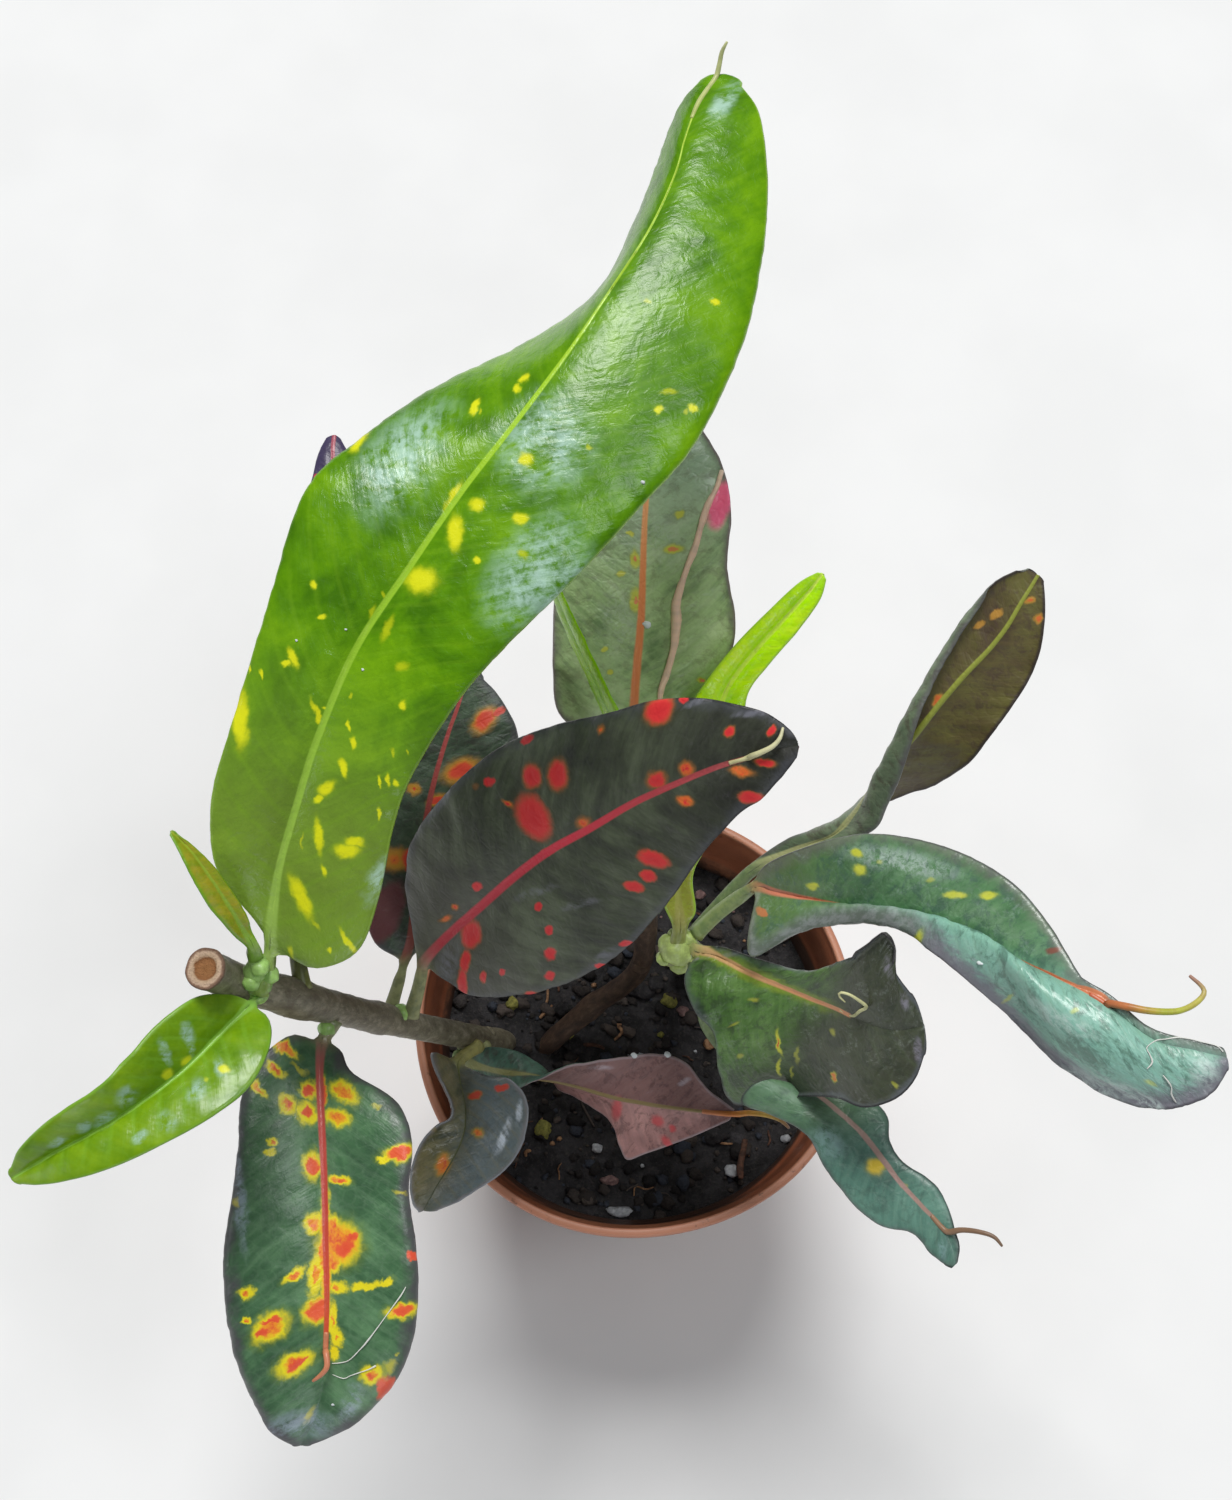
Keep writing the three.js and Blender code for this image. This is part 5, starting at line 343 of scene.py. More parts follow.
             [1.7, 57.11, 121.87, 2.32, 57.1, 122.05, 2.93, 57.11, 122.09, 3.45, 56.99, 122.01, 3.96, 56.9, 121.8],
         ],
         spots=[(25.36, 1.8, 4.88, 4.45, -60, 1, "w"), (16.25, -2.62, 5.82, 2.82, 175, 1, "w"), (29.22, 8.6, 3.01, 1.35, -172, 1, "p"), (24.31, 3.54, 1.27, 0.57, -91, 0.5, "o"), (28.2, 4.05, 0.58, 0.46, -83, 0, "y"), (26.15, -1.74, 0.6, 0.33, -68, 0, "y"), (21.69, -2.59, 0.59, 0.45, -82, 0, "y"), (13.02, -4.11, 0.41, 0.34, -70, 0, "y"), (10.38, -3.27, 0.42, 0.34, -67, 0, "y"), (9.65, 7.65, 0.6, 0.39, -77, 0.6, "o"), (18.55, -0.8, 1.51, 0.72, 176, 0.3, "o"), (23.26, -1.03, 1.15, 0.59, 176, 0.3, "o")],
         lines=[dict(pts=[(33.38, 8.39), (31.23, 7.96), (29.22, 7.14), (26.66, 6.59), (24.31, 6), (22.22, 5.24), (19.86, 4.44), (18.03, 4.1), (17.01, 4.18), (14.99, 4.22), (13.26, 4.18), (10.38, 3.71), (7.97, 3.16), (5.09, 3.11)], r=[0.25, 0.3, 0.38, 0.36, 0.4, 0.36, 0.42, 0.55, 0.7, 0.5, 0.42, 0.4, 0.38, 0.3], h=0.05, mat=1, step=0.4, rough=0.25)],
         flecks=[(15.74, 0.86, 0.52, 0.05)]),
    dict(name="lime_narrow_leaf", seed=1.0,
         pet=[[4.78, 1.62, 89.55, 0.9]],
         awn=[], mend=None, mendv=1.02,
         rows=[
             [4.03, 2.91, 91.18, 4.51, 2.8, 91.05, 4.99, 2.76, 90.81, 5.52, 2.85, 91.08, 6.05, 3.02, 91.23],
             [3.06, 4.78, 92.83, 3.96, 4.79, 92.62, 4.85, 4.94, 92.24, 5.85, 4.59, 92.46, 6.85, 4.39, 92.47],
             [2.33, 7.28, 95.22, 3.46, 7.38, 95.08, 4.57, 7.66, 94.73, 5.51, 7.59, 95.02, 6.44, 7.66, 95.15],
             [2.06, 10.42, 97.75, 3.53, 10.55, 97.71, 4.99, 10.9, 97.39, 6.45, 10.56, 97.66, 7.9, 10.45, 97.66],
             [2.5, 13.66, 100.21, 4.13, 13.79, 100.19, 5.77, 14.15, 99.85, 7.84, 13.39, 100.05, 9.93, 12.93, 99.84],
             [3.29, 17.15, 102.54, 5.08, 17.11, 102.48, 6.89, 17.31, 102.07, 9.18, 16.76, 102.37, 11.49, 16.53, 102.21],
             [4.18, 20.57, 104.96, 6.09, 20.37, 104.8, 7.99, 20.45, 104.27, 10.05, 20.27, 104.73, 12.11, 20.39, 104.78],
             [5.62, 23.91, 107.45, 7.35, 23.56, 107.22, 9.08, 23.48, 106.66, 10.61, 23.44, 107.09, 12.14, 23.63, 107.24],
             [7.62, 26.57, 109.7, 8.88, 26.2, 109.4, 10.16, 26.05, 108.87, 11.38, 25.75, 109.17, 12.63, 25.65, 109.25],
             [10.59, 29.57, 112.49, 11.67, 29.17, 112.17, 12.78, 28.96, 111.63, 13.87, 28.45, 111.85, 15, 28.13, 111.86],
             [14.08, 32.45, 115.14, 15.04, 32.05, 114.85, 16.03, 31.82, 114.37, 16.95, 31.23, 114.5, 17.9, 30.81, 114.43],
             [17.53, 35.02, 117.56, 18.19, 34.6, 117.34, 18.89, 34.31, 116.98, 19.48, 33.79, 116.99, 20.1, 33.39, 116.86],
             [19.59, 35.95, 118.43, 19.86, 35.77, 118.4, 20.14, 35.64, 118.32, 20.41, 35.35, 118.26, 20.7, 35.12, 118.13],
         ],
         spots=[],
         lines=[],
         flecks=[]),
    dict(name="thin_lime_leaf", seed=1.0,
         pet=[[2.2, 20.6, 94.8, 0.8], [2.35, 20.7, 97, 0.75], [1.75, 20.75, 99, 0.72], [0.91, 20.96, 100.84, 0.7], [-0.05, 21.34, 103.53, 0.65]],
         awn=[], mend=None, mendv=1.02,
         rows=[
             [-1.45, 22, 104.41, -1.33, 21.84, 105.13, -1.11, 21.83, 105.84, -0.99, 21.62, 106.54, -0.78, 21.55, 107.23],
             [-3.75, 23.55, 106.47, -3.56, 23.23, 107.67, -3.17, 23.12, 108.86, -2.93, 22.79, 110.07, -2.49, 22.67, 111.26],
             [-5.55, 26.47, 109.66, -5.34, 25.94, 111, -4.84, 25.62, 112.33, -4.64, 25.2, 113.71, -4.15, 24.99, 115.08],
             [-7.44, 29.52, 112.9, -7.22, 28.98, 114.23, -6.71, 28.63, 115.55, -6.5, 28.14, 116.91, -6, 27.83, 118.24],
             [-8.95, 32.3, 116.04, -8.77, 31.83, 117.18, -8.33, 31.52, 118.31, -8.15, 31.1, 119.47, -7.72, 30.84, 120.61],
             [-10, 34.38, 118.92, -9.83, 34.09, 119.7, -9.5, 33.91, 120.45, -9.34, 33.62, 121.23, -9.02, 33.43, 121.98],
             [-10.59, 35.47, 121.23, -10.5, 35.37, 121.53, -10.35, 35.31, 121.82, -10.26, 35.21, 122.11, -10.11, 35.15, 122.4],
         ],
         spots=[],
         lines=[],
         flecks=[]),
]


# ================================================================ small helpers
def lin(c, k=1.0):
    out = []
    for v in c:
        v = min(max(v / 255.0 * k, 0.0), 1.0)
        out.append(v / 12.92 if v <= 0.04045 else ((v + 0.055) / 1.055) ** 2.4)
    return (out[0], out[1], out[2], 1.0)


def catmull(R, t):
    n = len(R) - 1
    k = np.clip(np.floor(t).astype(int), 0, n - 1)
    f = (t - k).reshape((-1,) + (1,) * (R.ndim - 1))
    a, b, c, d = R[np.maximum(k - 1, 0)], R[k], R[k + 1], R[np.minimum(k + 2, n)]
    return 0.5 * (2 * b + (c - a) * f + (2 * a - 5 * b + 4 * c - d) * f ** 2 + (3 * b - a - 3 * c + d) * f ** 3)


def unit(v):
    return v / np.maximum(np.linalg.norm(v, axis=-1, keepdims=True), 1e-9)


def smoothstep(x, a, b):
    t = np.clip((x - a) / (b - a), 0, 1)
    return t * t * (3 - 2 * t)


def wob(x, seed):
    """A smooth wandering number from -1 to 1 along x."""
    return (np.sin(x * 1.0 + seed) + 0.6 * np.sin(x * 2.3 + seed * 1.7) + 0.35 * np.sin(x * 4.1 + seed * 2.9)) / 1.95


class Shell:
    """Collects closed shells with per-vertex values, and makes one mesh object of them."""

    def __init__(self):
        self.v, self.f, self.a, self.b, self.s, self.m, self.n = [], [], [], [], [], [], 0

    def add(self, verts, faces, A=None, B=None, side=None, mat=0):
        verts = np.asarray(verts, float)
        k = len(verts)
        self.v.append(verts)
        self.a.append(np.zeros((k, 3)) if A is None else np.asarray(A, float))
        self.b.append(np.zeros((k, 3)) if B is None else np.asarray(B, float))
        self.s.append(np.ones(k) if side is None else np.asarray(side, float))
        for f in faces:
            self.f.append(tuple(i + self.n for i in f))
            self.m.append(mat)
        self.n += k

    def make(self, name, mats):
        me = bpy.data.meshes.new(name)
        v = np.concatenate(self.v) * MM
        me.from_pydata(v.tolist(), [], self.f)
        for nm, arr in (("lfA", np.concatenate(self.a)), ("lfB", np.concatenate(self.b))):
            at = me.attributes.new(nm, "FLOAT_VECTOR", "POINT")
            at.data.foreach_set("vector", arr.astype(np.float32).ravel())
        at = me.attributes.new("lfS", "FLOAT", "POINT")
        at.data.foreach_set("value", np.concatenate(self.s).astype(np.float32))
        me.polygons.foreach_set("use_smooth", [True] * len(me.polygons))
        for m in mats:
            me.materials.append(m)
        me.polygons.foreach_set("material_index", self.m)
        me.update()
        bm = bmesh.new()
        bm.from_mesh(me)
        bmesh.ops.recalc_face_normals(bm, faces=bm.faces)
        bm.to_mesh(me)
        bm.free()
        ob = bpy.data.objects.new(name, me)
        bpy.context.scene.collection.objects.link(ob)
        return ob


def tube(shell, pts, radii, sides=16, step=0.5, mat=0, kind=0.0, rough=0.0, seed=1.0, flat=1.0, up=None, cap=0.5):
    """A closed round tube along smooth points, with rounded ends. lfA: along, angle share, radius."""
    P = np.array(pts, float)
    r = np.array(radii, float)
    dense = np.linspace(0, len(P) - 1, max(60, 20 * len(P)))
    Q = catmull(P, dense)
    s = np.concatenate([[0], np.cumsum(np.linalg.norm(np.diff(Q, axis=0), axis=1))])
    n = max(4, int(round(s[-1] / step)) + 1)
    si = np.linspace(0, s[-1], n)
    ti = np.interp(si, s, dense)
    C = catmull(P, ti)
    rr = np.interp(ti, np.arange(len(P)), r)
    T = unit(np.gradient(C, axis=0))
    ref = np.array(up if up is not None else [0.3, 0.2, 1.0], float)
    U = [unit(np.cross(np.cross(T[0], ref), T[0]))]
    for i in range(1, n):
        u = U[-1] - T[i] * np.dot(U[-1], T[i])
        U.append(unit(u))
    U = np.array(U)
    V = np.cross(T, U)
    rows_c, rows_r, rows_s = [], [], []
    e = rr[0] * cap
    for k in (0.25, 0.6, 0.87):
        rows_c.append(C[0] - T[0] * e * math.sqrt(1 - k * k)); rows_r.append(rr[0] * k); rows_s.append(0.0)
    for i in range(n):
        rows_c.append(C[i]); rows_r.append(rr[i]); rows_s.append(si[i])
    e = rr[-1] * cap
    for k in (0.87, 0.6, 0.25):
        rows_c.append(C[-1] + T[-1] * e * math.sqrt(1 - k * k)); rows_r.append(rr[-1] * k); rows_s.append(si[-1])
    idx = np.concatenate([[0] * 3, np.arange(n), [n - 1] * 3])
    verts, A, B = [], [], []
    ang = np.linspace(0, 2 * math.pi, sides, endpoint=False)
    for j, (c, q, sv, i) in enumerate(zip(rows_c, rows_r, rows_s, idx)):
        bump = 1.0 + rough * (wob(sv * 1.3 + 3.0 * np.cos(ang + seed), seed) * 0.6 + 0.4 * wob(ang * 3.0 + sv * 0.35, seed * 2))
        ring = c + (np.outer(np.cos(ang) * bump, U[i]) + np.outer(np.sin(ang) * bump * flat, V[i])) * q
        verts.append(ring)
        A.append(np.stack([np.full(sides, sv), ang / (2 * math.pi), np.full(sides, q)], 1))
        B.append(np.stack([np.full(sides, kind), np.cos(ang), np.sin(ang)], 1))
    verts = np.concatenate(verts); A = np.concatenate(A); B = np.concatenate(B)
    m = len(rows_c)
    faces = []
    for j in range(m - 1):
        for k in range(sides):
            a, b = j * sides + k, j * sides + (k + 1) % sides
            faces.append((a, b, b + sides, a + sides))
    faces.append(tuple(range(sides - 1, -1, -1)))
    faces.append(tuple((m - 1) * sides + k for k in range(sides)))
    shell.add(verts, faces, A, B, np.ones(len(verts)), mat)
    return C, T


def ico(level):
    bm = bmesh.new()
    bmesh.ops.create_icosphere(bm, subdivisions=level, radius=1.0)
    v = np.array([x.co[:] for x in bm.verts])
    f = [tuple(x.index for x in p.verts) for p in bm.faces]
    bm.free()
    return v, f


ICO1, ICO2, ICO3 = ico(1), ico(2), ico(3)


def blob(shell, centre, size, axis=None, mat=0, kind=0.0, lump=0.15, seed=1.0, level=3, tone=0.5):
    """A lumpy closed pebble or bud: size = (across, across, along axis)."""
    v, f = {1: ICO1, 2: ICO2, 3: ICO3}[level]
    d = np.array([1 + lump * noise.noise(Vector(p) * 1.6 + Vector((seed * 3.1, seed, -seed))) * 2 for p in v])
    p = v * d[:, None] * np.array(size)
    if axis is not None:
        z = unit(np.array(axis, float))
        x = unit(np.cross([0.31, 0.77, 0.2], z))
        y = np.cross(z, x)
        p = p @ np.stack([x, y, z])
    shell.add(p + np.array(centre), f, p, np.tile([kind, tone, seed % 1.0], (len(p), 1)), np.ones(len(p)), mat)


# ================================================================ leaves
def leaf_surface(sp):
    """Fine rows and columns of one leaf's middle surface, with coordinates along and across in mm."""
    blade = np.array(sp["rows"], float).reshape(-1, 5, 3)
    pet = [list(p) for p in sp["pet"]]
    across = unit(blade[0, 4] - blade[0, 0])
    if pet:
        p0 = np.array(pet[0][:3])
        nxt = np.array(pet[1][:3]) if len(pet) > 1 else blade[0, 2]
        back = unit(p0 - nxt)
        pet = [list(p0 + back * 1.1) + [pet[0][3] * 1.15]] + pet
    rows, rad = [], []
    cen = [np.array(p[:3]) for p in pet] + [blade[0, 2], blade[1, 2]]
    acr = across
    for i in range(len(pet) - 1, -1, -1):
        T = unit(cen[i + 1] - cen[max(i - 1, 0)])
        acr = unit(acr - T * np.dot(acr, T))
        r = pet[i][3]
        rows.insert(0, np.array([cen[i] + acr * r * k for k in (-1, -0.5, 0, 0.5, 1)]))
        rad.insert(0, r)
    npet = len(rows)
    R = np.concatenate([np.array(rows).reshape(-1, 5, 3), blade]) if npet else blade
    t_dense = np.linspace(0, len(R) - 1, 24 * len(R))
    M = catmull(R[:, 2], t_dense)
    sd = np.concatenate([[0], np.cumsum(np.linalg.norm(np.diff(M, axis=0), axis=1))])
    s0 = np.interp(npet, t_dense, sd)
    step = sp.get("step", 0.6)
    n = int(round(sd[-1] / step)) + 1
    s = np.linspace(0, sd[-1], n)
    t = np.interp(s, sd, t_dense)
    G = catmull(R, t)
    s = s - s0
    S = sd[-1] - s0
    # a rounded end beyond the last row
    wl = np.linalg.norm(G[-1, 0] - G[-1, 2]) + np.linalg.norm(G[-1, 4] - G[-1, 2])
    Tend = unit(G[-1, 2] - G[-3, 2])
    extra, es = [], []
    reach = sp.get("tip", 0.35) * wl / 2
    for k in (0.35, 0.62, 0.82, 0.94, 0.99):
        c = math.sqrt(1 - k * k)
        row = G[-1, 2] + (G[-1] - G[-1, 2]) * c + Tend * reach * k
        extra.append(row); es.append(s[-1] + reach * k)
    G = np.concatenate([G, np.array(extra)])
    s = np.concatenate([s, es])
    n = len(s)
    v = s / S
    # midrib half width and heights
    r0 = rad[-1] if rad else 0.8
    mh0 = sp.get("mid", 0.62)
    ft = smoothstep(s, -1.0, 0.10 * S)
    mh = r0 * (1 - ft) + ft * (mh0 * (1 - 0.78 * np.clip(v, 0, 1)) + 0.10)
    if npet:
        rp = np.interp(t, np.arange(npet + 1), rad + [r0])
        rp = np.concatenate([rp, np.full(n - len(rp), r0)])
        mh = np.where(s < 0, rp, mh)
    rt = mh * (0.82 * (1 - ft) + ft * sp.get("ridge", 0.40))
    rb = mh * (0.82 * (1 - ft) + ft * 0.95)
    if sp.get("mend"):
        fade = 1 - smoothstep(s, sp["mend"] - 0.8, sp["mend"] + 1.2)
        rt, rb = rt * fade, rb * (0.25 + 0.75 * fade)
    # columns
    tau = np.linspace(0, 1, 41)
    nh = sp.get("cols", 15)
    out = np.zeros((n, 2 * nh + 1, 3)); Wc = np.zeros((n, 2 * nh + 1)); WW = np.zeros((n, 2))
    q = np.linspace(0, 1, nh - 2)
    fr = 1 - (1 - q) ** 1.45
    for i in range(n):
        for side in (0, 1):
            e, m_, c = (G[i, 0], G[i, 1], G[i, 2]) if side == 0 else (G[i, 4], G[i, 3], G[i, 2])
            tt = tau[:, None]
            X = c * (1 - tt) * (1 - 2 * tt) + m_ * 4 * tt * (1 - tt) + e * tt * (2 * tt - 1)
            wa = np.concatenate([[0], np.cumsum(np.linalg.norm(np.diff(X, axis=0), axis=1))])
            W = wa[-1]
            m1 = min(mh[i], 0.34 * W) * 1.5
            want = np.concatenate([[0, 0.33 * m1, 0.66 * m1], m1 + (W - m1) * fr])[: nh + 1]
            Y = np.stack([np.interp(want, wa, X[:, k]) for k in range(3)], 1)
            WW[i, side] = W
            if side == 0:
                out[i, nh::-1] = Y; Wc[i, nh::-1] = -want
            else:
                out[i, nh:] = Y; Wc[i, nh:] = want
    return dict(C=out, w=Wc, s=s, v=v, W=WW, mh=mh, rt=rt, rb=rb, S=S, nh=nh, npet=npet)


def leaf_normals(C, s):
    du = np.gradient(C, axis=1)
    ds = np.gradient(C, axis=0)
    mid = ds[:, ds.shape[1] // 2][:, None]
    return unit(np.cross(du, unit(ds) * 0.7 + unit(mid) * 0.3))


def roll_margin(C, w, edge, v, nh, rolls):
    """Bends the outer strip of one half round a line along the leaf: (side, from v, to v, fade, width mm, degrees, + is upwards)."""
    for (side, v0, v1, fade, width, deg) in rolls:
        N = leaf_normals(C, None)
        cols = list(range(nh, 2 * nh + 1)) if side > 0 else list(range(nh, -1, -1))
        for i in range(len(v)):
            k = min(max((v[i] - v0) / fade, 0.0), 1.0) * min(max((v1 - v[i]) / fade, 0.0), 1.0)
            k = k * k * (3 - 2 * k)
            a = math.radians(deg) * k
            e = edge[i, cols]
            full = e[0]
            wd = min(width * (0.4 + 0.6 * k), full * 0.9)
            if abs(a) < 0.03 or wd < 0.1:
                continue
            row = C[i, cols]
            at = lambda q: np.stack([np.interp(-q, -e, row[:, d]) for d in range(3)])
            p0, p1 = at(wd), at(min(wd * 1.3, full))
            O = unit(p0 - p1)
            n_ = np.stack([np.interp(-wd, -e, N[i, cols][:, d]) for d in range(3)])
            n_ = unit(n_ - O * np.dot(n_, O))
            kap = a / wd
            for j, c in enumerate(cols):
                if e[j] < wd:
                    u = wd - e[j]
                    C[i, c] = p0 + O * (math.sin(kap * u) / kap) + n_ * ((1 - math.cos(kap * u)) / kap)
    return C


def leaf_piece(sp):
    g = leaf_surface(sp)
    C, w, s, v = g["C"], g["w"], g["s"], g["v"]
    n, m = w.shape
    side_w = np.where(w < 0, g["W"][:, :1], g["W"][:, 1:])
    edge = np.maximum(side_w - np.abs(w), 0)
    x = np.abs(w) / np.maximum(side_w, 1e-6)
    blade = smoothstep(s, 0.02 * g["S"], 0.14 * g["S"])[:, None] * (1 - 0.5 * smoothstep(s, 0.93 * g["S"], g["S"]))[:, None]
    seed = sp.get("seed", 1.0)
    spacing, cot = sp.get("vein", 3.2), sp.get("cot", 0.6)
    sgn = np.where(w < 0, 0.37, 0.0)
    vq = (s[:, None] - cot * np.abs(w) - 0.018 * w * w) / spacing + sgn + 0.10 * wob(s[:, None] * 0.5, seed)
    N = leaf_normals(C, s)
    # the blade swells between its side veins, and its margin waves
    quilt = sp.get("quilt", 0.16) * (np.abs(np.sin(math.pi * vq)) ** 0.7 - 0.6) * np.clip(x * 3.2, 0, 1) * np.clip(edge / 3.5, 0, 1)
    wave = sp.get("wave", 0.35) * x ** 3 * (wob(s[:, None] * sp.get("wavef", 0.55) + np.where(w < 0, 1.9, 0.0), seed * 1.3))
    fine = 0.05 * wob(s[:, None] * 1.9 + w * 0.8, seed + 4) * np.clip(x * 3, 0, 1)
    lift = sp.get("groove", 0.0) * np.exp(-(np.abs(w) / (2.4 * g["mh"][:, None] + 0.01)) ** 2)
    C = C + N * ((quilt + wave + fine - lift) * blade)[..., None]
    C = roll_margin(C, w, edge, v, g["nh"], sp.get("rolls", []))
    N = leaf_normals(C, s)
    th = sp.get("skin", 0.42)
    tt = th * (0.55 + 0.45 * np.clip(1 - v, 0, 1))[:, None] * smoothstep(s, -0.5, 0.03 * g["S"])[:, None]
    re = 0.30
    lens = tt / 2 * np.sqrt(np.clip(1 - (1 - np.minimum(edge / re, 1)) ** 2, 0, 1))
    ridge = np.sqrt(np.clip(1 - (w / (g["mh"][:, None] * 1.0)) ** 2, 0, 1))
    soft = np.exp(-(w / (g["mh"][:, None] * 1.25)) ** 2)
    pf = (1 - smoothstep(s, 0.0, 0.10 * g["S"]))[:, None]
    prof = ridge * pf + (1 - pf) * soft
    inner = np.clip(edge / 0.12, 0, 1)
    top = np.sqrt(lens ** 2 + (g["rt"][:, None] * prof) ** 2 * np.maximum(inner, pf))
    bot = np.sqrt(lens ** 2 + (g["rb"][:, None] * prof) ** 2 * np.maximum(inner, pf))
    zero = (edge < 1e-6)
    top[zero] = 0; bot[zero] = 0
    Tp, Bt = C + N * top[..., None], C - N * bot[..., None]
    mid = np.abs(w) / g["mh"][:, None]
    sh = Shell()
    A = np.stack([np.repeat(s[:, None], m, 1), w, vq], -1)
    B = np.stack([edge, mid, np.repeat(v[:, None], m, 1)], -1)
    # top grid m columns, bottom grid m-2 inner columns sharing the margins
    verts = [Tp.reshape(-1, 3), Bt[:, 1:-1].reshape(-1, 3)]
    a = [A.reshape(-1, 3), A[:, 1:-1].reshape(-1, 3)]
    b = [B.reshape(-1, 3), B[:, 1:-1].reshape(-1, 3)]
    sd = np.ones((n, m)); sd[:, 0] = sd[:, -1] = 0.5
    sides = [sd.ravel(), np.zeros(n * (m - 2))]
    off = n * m
    iT = lambda i, j: i * m + j
    def iB(i, j):
        return iT(i, j) if j in (0, m - 1) else off + i * (m - 2) + j - 1
    faces = []
    for i in range(n - 1):
        for j in range(m - 1):
            faces.append((iT(i, j), iT(i, j + 1), iT(i + 1, j + 1), iT(i + 1, j)))
            faces.append((iB(i, j + 1), iB(i, j), iB(i + 1, j), iB(i + 1, j + 1)))
    for i, flip in ((0, True), (n - 1, False)):
        for j in range(m - 1):
            q = [iT(i, j), iT(i, j + 1), iB(i, j + 1), iB(i, j)]
            q = list(dict.fromkeys(q))
            if len(q) > 2:
                faces.append(tuple(q if not flip else q[::-1]))
    sh.add(np.concatenate(verts), faces, np.concatenate(a), np.concatenate(b), np.concatenate(sides), 0)
    c = m // 2
    if sp.get("awn"):
        pts = [list(p) for p in sp["awn"]]
        k = int(np.argmin(np.abs(s - (sp.get("mend") or s[-1])))) if sp.get("mend") else n - 6
        k0 = max(k - 4, 2)
        start = [list(Tp[k0, c] - N[k0, c] * 0.12), list((Tp[k, c] * 0.6 + C[k, c] * 0.4))]
        pts = start + pts
        r = np.interp(np.linspace(0, 1, len(pts)), [0, 0.3, 0.8, 1.0], [0.30, 0.36, 0.26, 0.15]) * sp.get("awnr", 1.0)
        tube(sh, pts, r, 10, 0.35, 1, 0.0, 0.06, seed, up=N[k, c])
    def at(sv, wv, h):
        i = int(np.clip(np.searchsorted(s, sv), 1, n - 1))
        f = (sv - s[i - 1]) / max(s[i] - s[i - 1], 1e-6)
        f = min(max(f, 0), 1)
        out = []
        for k in (i - 1, i):
            P = np.stack([np.interp(wv, w[k], (Tp[k] + N[k] * h)[:, q]) for q in range(3)])
            out.append(P)
        return out[0] * (1 - f) + out[1] * f
    alen = 1.0
    if sp.get("awn"):
        pa = np.array(pts)
        alen = float(np.linalg.norm(np.diff(pa, axis=0), axis=1).sum())
    for L in sp.get("lines", []):
        pts = [at(p[0], p[1], p[2] if len(p) > 2 else L["h"]) for p in L["pts"]]
        tube(sh, pts, L["r"], 10, L.get("step", 0.4), L["mat"], 0.0, L.get("rough", 0.1), seed + 2)
    for q in sp.get("flecks", []):
        blob(sh, at(q[0], q[1], q[3]), (q[2], q[2] * 0.8, q[2] * 0.5), N[int(np.clip(np.searchsorted(s, q[0]), 0, n - 1)), c], 2, 0.0, 0.3, q[0], 2)
    return sh, dict(C=C, N=N, s=s, w=w, Tp=Tp, alen=alen)


